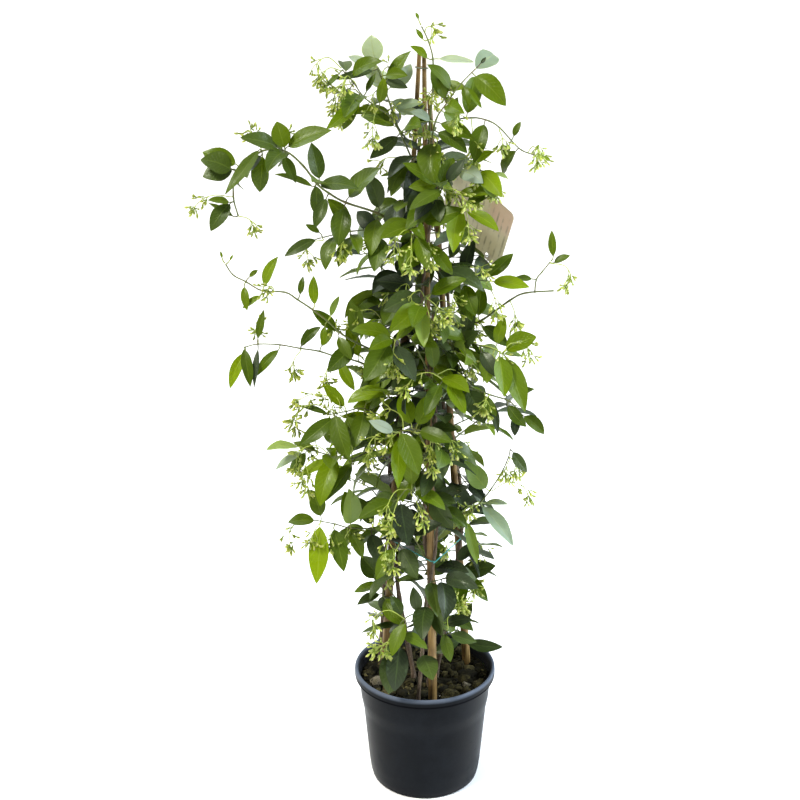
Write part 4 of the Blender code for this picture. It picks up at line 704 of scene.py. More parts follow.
def leaf_rings(root, outward, chord, face_up, length, width, bend, fold, stations, swell=0.0):
    """The petiole ring, the blade rings and the tip of a leaf that arches away from its upper face."""
    start = root + (outward * PETIOLE_OUTWARD + chord * (1.0 - PETIOLE_OUTWARD)) * PETIOLE
    up = across(chord, face_up)
    side = up.cross(chord)
    half_turn = math.radians(bend) / 2
    span = 2 * math.sin(half_turn)

    def spot(s):
        lean = half_turn * (1 - 2 * s)
        along = (math.sin(half_turn) - math.sin(lean)) / span
        lift = (math.cos(lean) - math.cos(half_turn)) / span
        tangent = chord * math.cos(lean) + up * math.sin(lean)
        top = up * math.cos(lean) - chord * math.sin(lean)
        return start + (chord * along + up * lift) * length, tangent, top

    centre, tangent, top = spot(0.0)
    mitre = (tangent + outward).normalized()
    top = across(mitre, top)
    reach = top.cross(mitre) * (PETIOLE_WIDE + swell)
    lift = top * (PETIOLE_TALL + swell)
    rings = [[centre + reach, centre + lift, centre - reach, centre - lift]]
    for share, fullness in stations:
        centre, _, top = spot(share)
        half = width * fullness / 2
        lift = top * half * fold
        reach = side * (half + swell)
        rib = top * (LEAF_RIB + swell)
        rings.append([centre + reach + lift, centre + rib, centre - reach + lift, centre - rib])
    return rings, spot(1.0)[0]


def turned(direction, loose, dice):
    """The direction after a random turn of at most this many degrees about each axis."""
    for axis in "XYZ":
        direction = Matrix.Rotation(math.radians(dice.uniform(-loose, loose)), 3, axis) @ direction
    return direction.normalized()


def neck_ring(body, face):
    """The outline of a face drawn in and lifted by a hair, where a growth's clearance starts."""
    root = body.centre(face)
    lift = body.normal(face) * NECK_LIFT
    return [root.lerp(body.points[i], NECK_INSET) + lift for i in body.faces[face]]


def grow_leaf(stem, node, chord, face_up, length, width, tone, stations, crowd, dice):
    """Sprouts a leaf from a stem point. It turns a little, tries again where it meets something, and
    is left out where nothing fits."""
    for attempt in range(LEAF_TRIES):
        loose = LEAF_LOOSEN * attempt
        heading = turned(chord, loose, dice)
        swing = LEAF_ROLL + loose
        roll = Matrix.Rotation(math.radians(dice.uniform(-swing, swing)), 3, heading)
        long = length * (1.0 if attempt < PATIENT_TRIES else SHORTENED)
        face = stem.face_towards(node, heading)
        if face is None:
            return
        outward = stem.body.normal(face)
        if outward.dot(heading) < LEAST_LEAN:
            continue
        shape = (stem.body.centre(face), outward, heading, roll @ face_up, long, width,
                 dice.uniform(*LEAF_BEND), dice.uniform(*LEAF_FOLD))
        rings, tip = leaf_rings(*shape, stations, LEAF_CLEAR)
        if crowd.hits(*prism(rings, tip)):
            continue
        corners = [stem.body.points[i] for i in stem.body.faces[face]]
        neck = neck_ring(stem.body, face)
        ring, _ = matched(corners, rings[0])
        if crowd.hits(*prism([neck, ring])):
            continue
        rings, tip = leaf_rings(*shape, stations)
        _, best = matched(corners, rings[0])
        rings = [[ring[(i + best) % 4] for i in range(4)] for ring in rings]
        stem.body.grow(face, rings, tip)
        stem.free[node].remove(face)
        crowd.add(*prism([neck] + rings, tip), stem.name + "/leaf")
        stem.leaves.append(shape + (tone, dice.random()))
        return


def spray_axis(start, heading, length, droop):
    """A stalk that arches down towards its end."""
    points = [start]
    axis = across(UP, heading).cross(UP)
    for i in range(STALK_STEPS):
        lean = math.radians(droop) * (2.0 * i / (STALK_STEPS - 1) - 0.5)
        way = Matrix.Rotation(-lean, 3, axis) @ heading
        points.append(points[-1] + way * (length / STALK_STEPS))
    return points


def grow_bud(body, face, heading, long, crowd, owner, record):
    """One bud on its short stalk, from a face of the spray. It is left out where it meets something."""
    outward = body.normal(face)
    if outward.dot(heading) < BUD_LEAST_LEAN:
        heading = (heading + outward * BUD_RIGHTED).normalized()
    root = body.centre(face)
    up = across(heading, UP)
    side = up.cross(heading)
    middle = root + heading * long * BUD_BELLY
    tip = root + heading * long
    corners = [body.points[i] for i in body.faces[face]]
    neck = neck_ring(body, face)
    waist, _ = matched(corners, square(root + heading * long * BUD_WAIST, side, up, BUD_HALF))
    if crowd.hits(*prism([waist, square(middle, side, up, BUD_HALF * STALK_CLEAR)], tip)):
        return
    if crowd.hits(*prism([neck, waist]), skip=owner):
        return
    ring, _ = matched(corners, square(middle, side, up, BUD_HALF))
    body.grow(face, [ring], tip)
    crowd.add(*prism([neck, ring], tip), owner)
    record.append((root, heading, long))


def stalk_rings(points, outward, way):
    """The rings of a stalk. The last point has two, so that buds can sprout between them."""
    up = across(way, UP)
    rings = []
    last = len(points) - 1
    for i, point in enumerate(points):
        ahead = (points[min(i + 1, last)] - points[max(i - 1, 0)]).normalized()
        if i == 0:
            ahead = (ahead + outward).normalized()
        up = across(ahead, up)
        side = up.cross(ahead)
        for step in (-STALK_KNOT, STALK_KNOT) if i == last else (0.0,):
            rings.append(square(point + ahead * step, side, up, STALK_HALF))
    return rings, ahead


def bud_goal(out, ahead, dice):
    """Where a bud points: out from its face, on along the stalk and down."""
    return (out * BUD_OUT + ahead * BUD_ALONG - UP * dice.uniform(*BUD_DOWN)).normalized()


def grow_spray(body, face, heading, length, droop, buds, crowd, owner, dice, log):
    """A stalk from a face, with buds round its end. Returns False where nothing fits."""
    root = body.centre(face)
    outward = body.normal(face)
    for attempt in range(LEAF_TRIES):
        way = turned(heading, STALK_LOOSEN * attempt, dice)
        if way.dot(outward) < LEAST_LEAN:
            continue
        long = length * (1.0 if attempt < PATIENT_TRIES else SHORTENED)
        begin = root + outward * STALK_LIFT
        points = [begin] + spray_axis(begin + way * STALK_FIRST, way, long, droop)[1:]
        rings, ahead = stalk_rings(points, outward, way)
        corners = [body.points[i] for i in body.faces[face]]
        _, best = matched(corners, rings[0])
        rings = [[ring[(i + best) % 4] for i in range(4)] for ring in rings]
        neck = neck_ring(body, face)
        fat = [swollen(ring, STALK_CLEAR) for ring in rings]
        if crowd.hits(*prism(fat[1:])) or crowd.hits(*prism([neck] + fat[:2])):
            continue
        walls, cap = body.grow(face, rings)
        label = owner + "/spray" + str(len(log))
        crowd.add(*prism([neck] + rings), label)
        record = []
        spots = walls[-1] + [cap]
        dice.shuffle(spots)
        for spot in spots:
            if len(record) < buds:
                goal = bud_goal(ahead if spot == cap else body.normal(spot), ahead, dice)
                grow_bud(body, spot, goal, dice.uniform(*BUD_LENGTH), crowd, label, record)
        log.append(([root] + points, record))
        return True
    return False


def circle(count, radius, centre=(0.0, 0.0), height=0.0, turn=0.0):
    """Points round a centre, counter-clockwise from +X or from this share of a step past it."""
    made = []
    for i in range(count):
        a = math.tau * (i + turn) / count
        made.append(Vector((centre[0] + radius * math.cos(a), centre[1] + radius * math.sin(a), height)))
    return made


def filled(outline, holes, inside=()):
    """Triangles over a flat outline with holes, as indices into outline, then holes, then inside points."""
    flat = [Vector(p[:2]) for p in outline]
    loops = [list(range(len(outline)))]
    for hole in holes:
        loops.append(list(range(len(flat), len(flat) + len(hole))))
        flat.extend(Vector(p[:2]) for p in hole)
    flat.extend(Vector(p[:2]) for p in inside)
    made = delaunay_2d_cdt(flat, [], loops, 0, 1e-6)
    source = [origin[0] for origin in made[3]]
    centres = [sum((Vector(p[:2]) for p in hole), Vector((0.0, 0.0))) / len(hole) for hole in holes]
    reaches = [(Vector(hole[0][:2]) - centre).length for hole, centre in zip(holes, centres)]
    triangles = []
    for face in made[2]:
        middle = sum((made[0][i] for i in face), Vector((0.0, 0.0))) / 3
        if any((middle - c).length < r * 0.9 for c, r in zip(centres, reaches)):
            continue
        triangles.append([source[i] for i in face])
    return triangles


def band(body, low, high):
    """Walls from one ring up to the next, facing out for rings that run counter-clockwise."""
    count = len(low)
    for i in range(count):
        body.put((low[i], low[(i + 1) % count], high[(i + 1) % count], high[i]))


def cane_at(name, height):
    """The centre and radius of a cane at a height."""
    foot, top, start, end = CANES[name]
    share = (height - SOIL_LEVEL) / (top[2] - SOIL_LEVEL)
    centre = Vector((foot[0], foot[1], SOIL_LEVEL)).lerp(Vector(top), share)
    return centre, start + (end - start) * max(share, 0.0)


def vine_at(name, height):
    """The centre and radius of a vine at a height: straight from its foot to the cane, then round it."""
    cane, end, phase, foot, start_radius, end_radius = VINES[name]
    centre, cane_radius = cane_at(cane, height)
    radius = start_radius + (end_radius - start_radius) * (height - SOIL_LEVEL) / (end - SOIL_LEVEL)
    reach = cane_radius + radius + VINE_GRIP
    turn = math.tau * (phase + (height - VINE_JOIN) / VINE_TURN)
    wound = centre + Vector((math.cos(turn), math.sin(turn), 0.0)) * reach
    low = SOIL_LEVEL + VINE_RISE
    share = min(max((height - low) / (VINE_JOIN - low), 0.0), 1.0)
    if share < 1.0:
        joined = vine_at(name, VINE_JOIN)[0]
        wound = Vector((foot[0], foot[1], height)).lerp(Vector((joined.x, joined.y, height)), share)
    return wound, radius


def soil_height(x, y):
    """Clods, chips and hollows over the soil's level."""
    coarse = noise.noise(Vector((x / HOLLOW_WIDE, y / HOLLOW_WIDE, 3.1)))
    fine = noise.noise(Vector((x / CRUMB_WIDE, y / CRUMB_WIDE, 8.4)))
    mound = MOUND_TALL * math.exp(-(x * x + y * y) / MOUND_RADIUS ** 2)
    return SOIL_LEVEL + HOLLOW_TALL * coarse + CRUMB_TALL * fine + mound


def soil_holes():
    """Centre, lean and radius of each plain hole that a cane or a vine stands in."""
    holes = []
    for name in CANES:
        centre, radius = cane_at(name, SOIL_LEVEL)
        low, _ = cane_at(name, SOIL_LEVEL - HOLE_DEPTH)
        holes.append((centre, low - centre, radius))
    for name, (_, _, _, foot, radius, _) in VINES.items():
        centre = Vector((foot[0], foot[1], SOIL_LEVEL))
        holes.append((centre, Vector((0.0, 0.0, -HOLE_DEPTH)), radius * VINE_HOLE))
    return holes


def drained_floor(body, outer, inner, sides):
    """The pot's floor between its outer and its inner outline, with open drain holes of this many sides."""
    drains = circle(DRAIN_HOLES, DRAIN_CIRCLE, turn=0.5)
    under = [body.add(circle(sides, DRAIN_RADIUS, drain, 0.0)) for drain in drains]
    over = [body.add(circle(sides, DRAIN_RADIUS, drain, POT_FLOOR)) for drain in drains]
    for low, high in zip(under, over):
        band(body, list(reversed(low)), list(reversed(high)))
    for outline, holes, face_up in ((outer, under, False), (inner, over, True)):
        ids = outline + [i for hole in holes for i in hole]
        shape = [body.points[i] for i in outline]
        cuts = [[body.points[i] for i in hole] for hole in holes]
        for face in filled(shape, cuts):
            corners = [ids[i] for i in face]
            body.put(corners if face_up else reversed(corners))


def make_pot():
    """The pot's plain shell. The plain forms are what the growths keep clear of."""
    body = Body()
    profile = POT_OUTSIDE + POT_RIM + POT_INSIDE
    rings = [body.add(circle(POT_SIDES, radius, height=height)) for radius, height in profile]
    for low, high in zip(rings, rings[1:]):
        band(body, low, high)
    drained_floor(body, rings[0], rings[-1], DRAIN_SIDES)
    return body


def make_soil(dice):
    """The soil's plain body, with a hole for every cane and vine."""
    body = Body()
    edge = circle(POT_SIDES, SOIL_EDGE_RADIUS)
    holes = soil_holes()
    cuts = [circle(HOLE_SIDES, (radius + GAP) / math.cos(math.pi / HOLE_SIDES), centre[:2], turn=0.5)
            for centre, _, radius in holes]
    inside = []
    for ring_radius, count in SOIL_RINGS:
        for point in circle(count, ring_radius, turn=SOIL_RING_TURN * ring_radius):
            stray = [dice.uniform(-SOIL_STRAY, SOIL_STRAY) for _ in range(2)]
            spot = point + Vector((*stray, 0.0))
            if all((spot - Vector((c.x, c.y, 0.0))).length > r + HOLE_MARGIN for c, _, r in holes):
                inside.append(spot)
    for p in edge:
        waved = noise.noise(Vector((p.x / SOIL_EDGE_WIDE, p.y / SOIL_EDGE_WIDE, 1.0)))
        p.z = SOIL_LEVEL - SOIL_EDGE_DROP + SOIL_EDGE_TALL * waved
    for p in [q for cut in cuts for q in cut] + inside:
        p.z = soil_height(p.x, p.y)
    rim = body.add(edge)
    mouths = [body.add(cut) for cut in cuts]
    middle = body.add(inside)
    ids = rim + [i for mouth in mouths for i in mouth] + middle
    for face in filled(edge, cuts, inside):
        body.put(ids[i] for i in face)
    walls = [body.add(circle(POT_SIDES, radius, height=height)) for radius, height in SOIL_WALL]
    for low, high in zip(walls, walls[1:] + [rim]):
        band(body, low, high)
    body.put(reversed(walls[0]))
    for mouth, (centre, lean, _) in zip(mouths, holes):
        floor = []
        for i in mouth:
            p = body.points[i]
            floor.append(Vector((p.x + lean.x, p.y + lean.y, SOIL_LEVEL + lean.z)))
        bottom = body.add(floor)
        band(body, list(reversed(bottom)), list(reversed(mouth)))
        body.put(bottom)
    return body


def make_cane(name):
    """A cane's plain body with its knots."""
    top = CANES[name][1]
    foot_height = SOIL_LEVEL - HOLE_DEPTH + GAP
    heights = [(foot_height, 1.0)]
    for share in CANE_KNOTS:
        knot = SOIL_LEVEL + (top[2] - SOIL_LEVEL) * share
        heights += [(knot + step, swell) for step, swell in CANE_KNOT_RINGS]
    heights.append((top[2], 1.0))
    rings = []
    for height, swell in heights:
        centre, radius = cane_at(name, height)
        rings.append(circle(CANE_SIDES, radius * swell, centre[:2], height, turn=0.5))
    body = Body()
    face = body.start(rings[0])
    body.grow(face, rings[1:])
    return body


def tie_path(name):
    """A taut loop round everything that stands at a tie's height."""
    height, gap = TIES[name]
    clear = TIE_RADIUS + gap
    posts = []
    for cane, (_, top, _, _) in CANES.items():
        if height < top[2]:
            posts.append(cane_at(cane, height))
    for vine, row in VINES.items():
        if height < row[1] - VINE_LOOSE_END:
            posts.append(vine_at(vine, height))
    path = []
    for i in range(TIE_DIRECTIONS):
        a = math.tau * i / TIE_DIRECTIONS
        way = Vector((math.cos(a), math.sin(a), 0.0))
        centre, radius = max(posts, key=lambda post: post[0].dot(way) + post[1])
        spot = centre + way * (radius + clear)
        if not path or (spot - path[-1]).length > TIE_SPACING:
            path.append(spot)
    if (path[0] - path[-1]).length < TIE_SPACING * 0.5:
        path.pop()
    return path


def closed_tube(path, radius):
    """A string that closes on itself."""
    body = Body()
    rings = []
    up = UP
    for i, point in enumerate(path):
        heading = (path[(i + 1) % len(path)] - path[i - 1]).normalized()
        up = across(heading, up)
        rings.append(body.add(square(point, up.cross(heading), up, radius)))
    for low, high in zip(rings, rings[1:] + rings[:1]):
        band(body, low, high)
    return body


def tag_point(along, over, out):
    """A point of the tag: along its long side, over its short side, out from its printed face."""
    long_way = Vector(TAG_LONG).normalized()
    short_way = across(long_way, Vector(TAG_SHORT))
    bow = TAG_BOW * (1.0 - (along / TAG_SIZE[0] * 2.0) ** 2)
    return Vector(TAG_CENTRE) + long_way * along + short_way * over + long_way.cross(short_way) * (out + bow)


def card_body(corner_steps, hole_sides, rows, columns, hole_margin):
    """The tag's card, bowed a little along its length, with round corners and one hole. With it come its
    flat points and how many faces its printed side has."""
    half_long = TAG_SIZE[0] / 2
    half_short = TAG_SIZE[1] / 2
    outline = []
    for sx, sy, turn in ((1, 1, 0), (-1, 1, 1), (-1, -1, 2), (1, -1, 3)):
        for step in range(corner_steps + 1):
            a = math.pi / 2 * (turn + step / corner_steps)
            outline.append(Vector((sx * (half_long - TAG_CORNER) + TAG_CORNER * math.cos(a),
                                   sy * (half_short - TAG_CORNER) + TAG_CORNER * math.sin(a))))
    hole = circle(hole_sides, TAG_HOLE_RADIUS, TAG_HOLE)
    inside = [Vector((x * half_long / rows, y * half_short / columns))
              for x in range(1 - rows, rows) for y in range(1 - columns, columns)]
    inside = [p for p in inside if (p - Vector(TAG_HOLE)).length > TAG_HOLE_RADIUS + hole_margin]
    triangles = filled(outline, [hole], inside)
    flat = outline + [Vector(p[:2]) for p in hole] + inside
    body = Body()
    back = body.add([tag_point(p[0], p[1], -TAG_THICK / 2) for p in flat])
    front = body.add([tag_point(p[0], p[1], TAG_THICK / 2) for p in flat])
    for face in triangles:
        body.put(front[i] for i in face)
    for face in triangles:
        body.put(back[i] for i in reversed(face))
    edge = len(outline)
    band(body, back[:edge], front[:edge])
    rim = slice(edge, edge + hole_sides)
    band(body, back[rim][::-1], front[rim][::-1])
    return body, flat, len(triangles)


def tag_string_path():
    """A loop from the right cane, through the tag's hole and back round its edge."""
    hole = tag_point(TAG_HOLE[0], TAG_HOLE[1], 0.0)
    out = (tag_point(0.0, 0.0, -1.0) - tag_point(0.0, 0.0, 0.0)).normalized()
    edge = (tag_point(0.0, -1.0, 0.0) - tag_point(0.0, 0.0, 0.0)).normalized()
    brim = tag_point(TAG_HOLE[0], -TAG_SIZE[1] / 2 - TAG_STRING_PAST_EDGE, 0.0)
    height = hole.z
    posts = [cane_at("cane_right", height), vine_at("vine_right", height)]
    middle = (posts[0][0] + posts[1][0]) / 2
    away = across(UP, middle - hole)
    path = []
    for turn in TAG_STRING_TURNS:
        way = Matrix.Rotation(math.radians(turn), 3, "Z") @ away
        centre, radius = max(posts, key=lambda post: post[0].dot(way) + post[1])
        path.append(centre + way * (radius + TAG_STRING_CLEAR))
    path += [hole + out * a + edge * b for a, b in TAG_STRING_BY_HOLE]
    path += [brim + out * a for a in TAG_STRING_BY_EDGE]
    return path


def grown_vine(name, dice):
    """A vine's stem, with leaves to come at some of its points."""
    _, end, _, foot, start_radius, end_radius = VINES[name]
    low = SOIL_LEVEL + VINE_RISE
    axis = [Vector((foot[0], foot[1], SOIL_LEVEL - HOLE_DEPTH + GAP)), Vector((foot[0], foot[1], low))]
    count = round((end - low) / VINE_STEP)
    for i in range(1, count + 1):
        axis.append(vine_at(name, low + (end - low) * i / count)[0])
    knots = {node for node in range(2, len(axis) - 1) if dice.random() > VINE_BARE_SHARE}
    stem = Stem(name, axis, start_radius, end_radius, Vector((0.0, 1.0, 0.0)), knots)
    stem.knots = sorted(knots)
    return stem


def seat(parent_tree, start, heading, half, up):
    """How far along the heading a stalk's flat end clears its parent by the gap."""
    side = up.cross(heading)
    reach = SEAT_FROM
    while reach > SEAT_TO:
        centre = start + heading * reach
        ring = square(centre, side, up, half)
        ring += [(ring[i] + ring[i - 1]) / 2 for i in range(4)] + [centre]
        nearest = min(parent_tree.find_nearest(spot)[3] for spot in ring)
        if nearest < GAP:
            return reach + SEAT_STEP
        reach -= SEAT_STEP
    return SEAT_NONE


def seated_stem(name, parent, attach, radius, points, knots, crowd, dice):
    """A stem that starts at the surface of its parent and passes through the points, bent clear."""
    share = attach if attach <= 1.0 else parent.at_height(attach)
    for attempt in range(STEM_TRIES):
        loose = STEM_LOOSEN * attempt
        moved = [p + Vector([dice.uniform(-loose, loose) for _ in range(3)]) for p in points]
        slide = dice.uniform(-SHARE_LOOSEN, SHARE_LOOSEN) * attempt
        start = parent.at(min(max(share + slide, 0.0), 1.0))
        heading = (moved[0] - start).normalized()
        up = across(heading, UP)
        root = start + heading * seat(parent.tree, start, heading, radius * RING_HALF, up)
        if (moved[0] - root).length < NODE_HALF * 2.0:
            continue
        stem = Stem(name, [root] + moved, radius, max(radius * STEM_TAPER, STEM_THIN), UP, knots)
        fat = [swollen(ring, STEM_CLEAR) for ring in stem.rings[1:]]
        if not crowd.hits(*prism([stem.rings[0]] + fat)):
            break
    stem.tree = crowd.add(*prism(stem.rings), name)
    return stem


def face_hint(dice):
    """Which way an upper leaf face looks: to the light above and towards the front."""
    aside = Vector((dice.uniform(-FACE_STRAY, FACE_STRAY), 0.0, 0.0))
    return (SEEN_NEAR * FACE_NEAR + UP * FACE_UP + aside).normalized()


def plain_bodies(dice):
    """The plain bodies of all that stands there before anything grows."""
    made = {"pot": make_pot(), "soil": make_soil(dice)}
    for name in CANES:
        made[name] = make_cane(name)
    for name in TIES:
        made[name] = closed_tube(tie_path(name), TIE_RADIUS)
    made["tag"] = card_body(corner_steps=3, hole_sides=8, rows=3, columns=2, hole_margin=4.0)[0]
    made["tag_string"] = closed_tube(tag_string_path(), TAG_STRING_RADIUS)
    return made


def lone_spray(name, stems, crowd, dice):
    """A bud spray that is a stem of its own."""
    parent, share, angle, tilt, length, droop, buds = SPRAYS[name]
    heading = seen(angle, tilt)
    start = stems[parent].at(share) + heading * LONE_STALK_START
    points = spray_axis(start, heading, length, droop)[1:]
    stem = seated_stem(name, stems[parent], share, LONE_STALK_RADIUS, points, None, crowd, dice)
    record = []
    for node in (2, 1):
        for face in list(stem.free.get(node, [])):
            if len(record) < buds:
                goal = bud_goal(stem.body.normal(face), stem.body.normal(face), dice)
                grow_bud(stem.body, face, goal, dice.uniform(*BUD_LENGTH), crowd, name, record)
    stem.sprays.append((None, record))
    return stem


def grow_shoot_leaves(stem, leaves, crowd, dice):
    """The leaves listed for a shoot."""
    for node, angle, tilt, length, width, tone in leaves:
        stations = SMALL_LEAF_STATIONS if length < SHORT_LEAF else LEAF_STATIONS
        grow_leaf(stem, node, seen(angle, tilt), face_hint(dice), length, width, tone, stations, crowd, dice)


def grow_shoot_sprays(stem, sprays, crowd, dice):
    """The bud sprays listed for a shoot, apart from those with no free face left."""
    for node, angle, tilt, length, droop, buds in sprays:
        heading = seen(angle, tilt)
        face = stem.face_towards(node, heading)
        if face is None:
            continue
        buds = min(buds, MOST_BUDS)
        if grow_spray(stem.body, face, heading, length, droop, buds, crowd, stem.name, dice, stem.sprays):
            stem.free[node].remove(face)


def back_shoot(name, stems, crowd, dice):
    """A short leafy shoot that faces away at the back."""
    parent, height, turn, reach, rise, nodes = BACK_SHOOTS[name]
    out = Vector((math.cos(math.radians(turn)), math.sin(math.radians(turn)), 0.0))
    start = stems[parent].at(stems[parent].at_height(height))
    points = [start + (out * reach * (i + 0.6) + UP * rise * (i + 0.8)) / nodes for i in range(nodes)]
    stem = seated_stem(name, stems[parent], height, BACK_RADIUS, points, None, crowd, dice)
    for node in range(nodes):
        for swing in BACK_SWINGS if node == nodes - 1 else BACK_SWINGS[:2]:
            swing += dice.uniform(-20.0, 20.0)
            chord = Matrix.Rotation(math.radians(swing), 3, "Z") @ out
            chord = (chord + UP * dice.uniform(-0.5, 0.35)).normalized()
            length = dice.uniform(*BACK_LEAF)
            grow_leaf(stem, node, chord, (UP + out * 0.6).normalized(), length, length * BACK_WIDTH,
                      dice.choice((0, 1, 1)), SMALL_LEAF_STATIONS, crowd, dice)
    return stem


def grow_vine_leaves(stem, crowd, dice):
    """A pair of leaves at each knot of a vine."""
    for node in stem.knots:
        centre = stem.axis[node + 1]
        first = dice.uniform(0.0, math.tau)
        for side_turn in (0.0, math.pi):
            a = first + side_turn + dice.uniform(-0.4, 0.4)
            out = Vector((math.cos(a), math.sin(a), 0.0))
            chord = (out + UP * dice.uniform(-0.55, 0.4)).normalized()
            light = (UP + out * 0.5).normalized()
            size = dice.uniform(*VINE_LEAF)
            tone = 0 if centre.z < OLD_BELOW else dice.choice((0, 0, 1))
            grow_leaf(stem, node, chord, light, size, size * dice.uniform(*VINE_LEAF_WIDTH), tone,
                      SMALL_LEAF_STATIONS, crowd, dice)


def grow_plant():
    """All stems of the plant with their leaves and sprays, in the order in which they are placed."""
    dice = random.Random(SEED)
    crowd = Crowd()
    for name, body in plain_bodies(dice).items():
        crowd.add(body.points, body.triangles(), name)
    stems = {}
    for name in VINES:
        stems[name] = grown_vine(name, dice)
        stems[name].tree = crowd.add(*prism(stems[name].rings), name)
    for name, (parent, attach, radius, points, leaves, sprays) in SHOOTS.items():
        points = [at_depth(*point) for point in points]
        knots = {growth[0] for growth in leaves + sprays}
        stems[name] = seated_stem(name, stems[parent], attach, radius, points, knots, crowd, dice)
    for name in SPRAYS:
        stems[name] = lone_spray(name, stems, crowd, dice)
    for name, (_, _, _, _, leaves, _) in SHOOTS.items():
        grow_shoot_leaves(stems[name], leaves, crowd, dice)
    for name, (_, _, _, _, _, sprays) in SHOOTS.items():
        grow_shoot_sprays(stems[name], sprays, crowd, dice)
    for name in BACK_SHOOTS:
        stems[name] = back_shoot(name, stems, crowd, dice)
    for name in VINES:
        grow_vine_leaves(stems[name], crowd, dice)
    return stems, crowd


# Fine meshes

BLADE_LOOPS = 12
BLADE_ACROSS = 6
BLADE_THICK = 0.34
BLADE_WIDER = 1.08
BLADE_BASE_POWER = 0.74
BLADE_TIP_POWER = 0.96
BLADE_TWIST = 0.35
BLADE_WAVE = 0.035
BLADE_WAVES = (1.2, 2.4)
BLADE_SWAY = 0.05
BLADE_TWIST_FROM = 0.2
BLADE_CUP = 1.25
BLADE_THIN = 4
BLADE_CROWDED = 0.7
BLADE_NECK = 0.55
BLADE_POINT = 0.02
RIB_WIDE = 0.12
RIB_UNDER = 0.5
RIB_GROOVE = 0.12
PETIOLE_RADII = (0.85, 0.55)
PETIOLE_KNEE = 0.7
PETIOLE_SUNK = 0.8
PETIOLE_INTO = 1.5
THIN_SIDES = 6
CURVE_STEPS = 4
SHARP_FROM = 55.0
# The materials of a grown piece, in the order of their slots.
BARK, STEM, LEAF, BUD = range(4)

SHOOT_TONE = 1.0
SPRAY_TONE = 2.0
# For each kind of stem: its share of the solid's radius, how much wider it is at a knot, tone, sides, paint.
STEM_KINDS = {
    "vine": (0.95, 1.22, 0.0, 10, BARK),
    "shoot": (0.8, 1.22, SHOOT_TONE, 8, STEM),
    "spray": (0.62, 1.0, SPRAY_TONE, 8, STEM),
}
# How far a shoot reaches back into the stem that it leaves.
STEM_SUNK = 2.4

# Share of a bud's length and radius in millimetres: stalk, calyx, tube, swollen twisted tip.
BUD_PROFILE = ((0.0, 0.45), (0.24, 0.42), (0.29, 1.0), (0.36, 1.2), (0.42, 0.8), (0.55, 0.95), (0.72, 1.65),
               (0.85, 1.4), (0.95, 0.7), (1.0, 0.08))
BUD_SIDES = 6
BUD_TWIST = 1.9
BUD_SUNK = 0.4
BUD_SAG = 0.5
BUD_CURVE = (0.02, 0.10)
BUD_FULLNESS = (0.7, 1.0)
BUD_RIDGE = 0.16
# Length of the buds that only the fine pieces have, and how far, in degrees, they spread.
MORE_BUD = (9.0, 14.0)
FORK_BUD = (8.0, 14.0)
FORK_SPREAD = 38.0
PAIR_SPREAD = 48.0
PAIR_SIZE = (0.6, 0.95)
END_SPREAD = 40.0
# Side branches of a bud spray: share of its stalk where each leaves it.
SPRAY_FORKS = (0.62, 0.78, 0.92)
FORK_LENGTH = (5.0, 12.0)
FORK_BUDS = (2, 3)
FORK_RADII = (0.55, 0.42)
FORK_SIDES = 5
FORK_RISE = 0.6
# How a fork points: away from its stalk, on along it, and down.
FORK_OUT = 0.8
FORK_ALONG = 0.7
FORK_DOWN = (-0.1, 0.5)
# Radius of a stalk where it starts, and at its end, and how far that of a spray of its own droops.
PLAN_STALK = 0.7
SIDE_STALK = 0.65
STALK_END = 0.5
SIDE_DROOP = (35.0, 95.0)
TONE_JITTER = 0.35
# Leaves below this height come near one dull tone, by up to this share: painted shade low in the plant.
LOW_TOP = 370.0
LOW_DEPTH = 90.0
LOW_SHADE_TONE = 0.3
LOW_SHADE_SHARE = 0.8
# Those of the long arm at the upper left, this far out and above this height, come near mid green:
# painted shade that dulls the brighter ones.
ARM_OUT = 80.0
ARM_HEIGHT = 770.0
ARM_FADE = 35.0
ARM_SHADE_TONE = 0.68
ARM_SHADE_SHARE = 0.85


def blade_width(share):
    """Half width over the blade's length, 1 at its widest."""
    widest = BLADE_BASE_POWER / (BLADE_BASE_POWER + BLADE_TIP_POWER)
    most = widest ** BLADE_BASE_POWER * (1.0 - widest) ** BLADE_TIP_POWER
    return share ** BLADE_BASE_POWER * (1.0 - share) ** BLADE_TIP_POWER / most


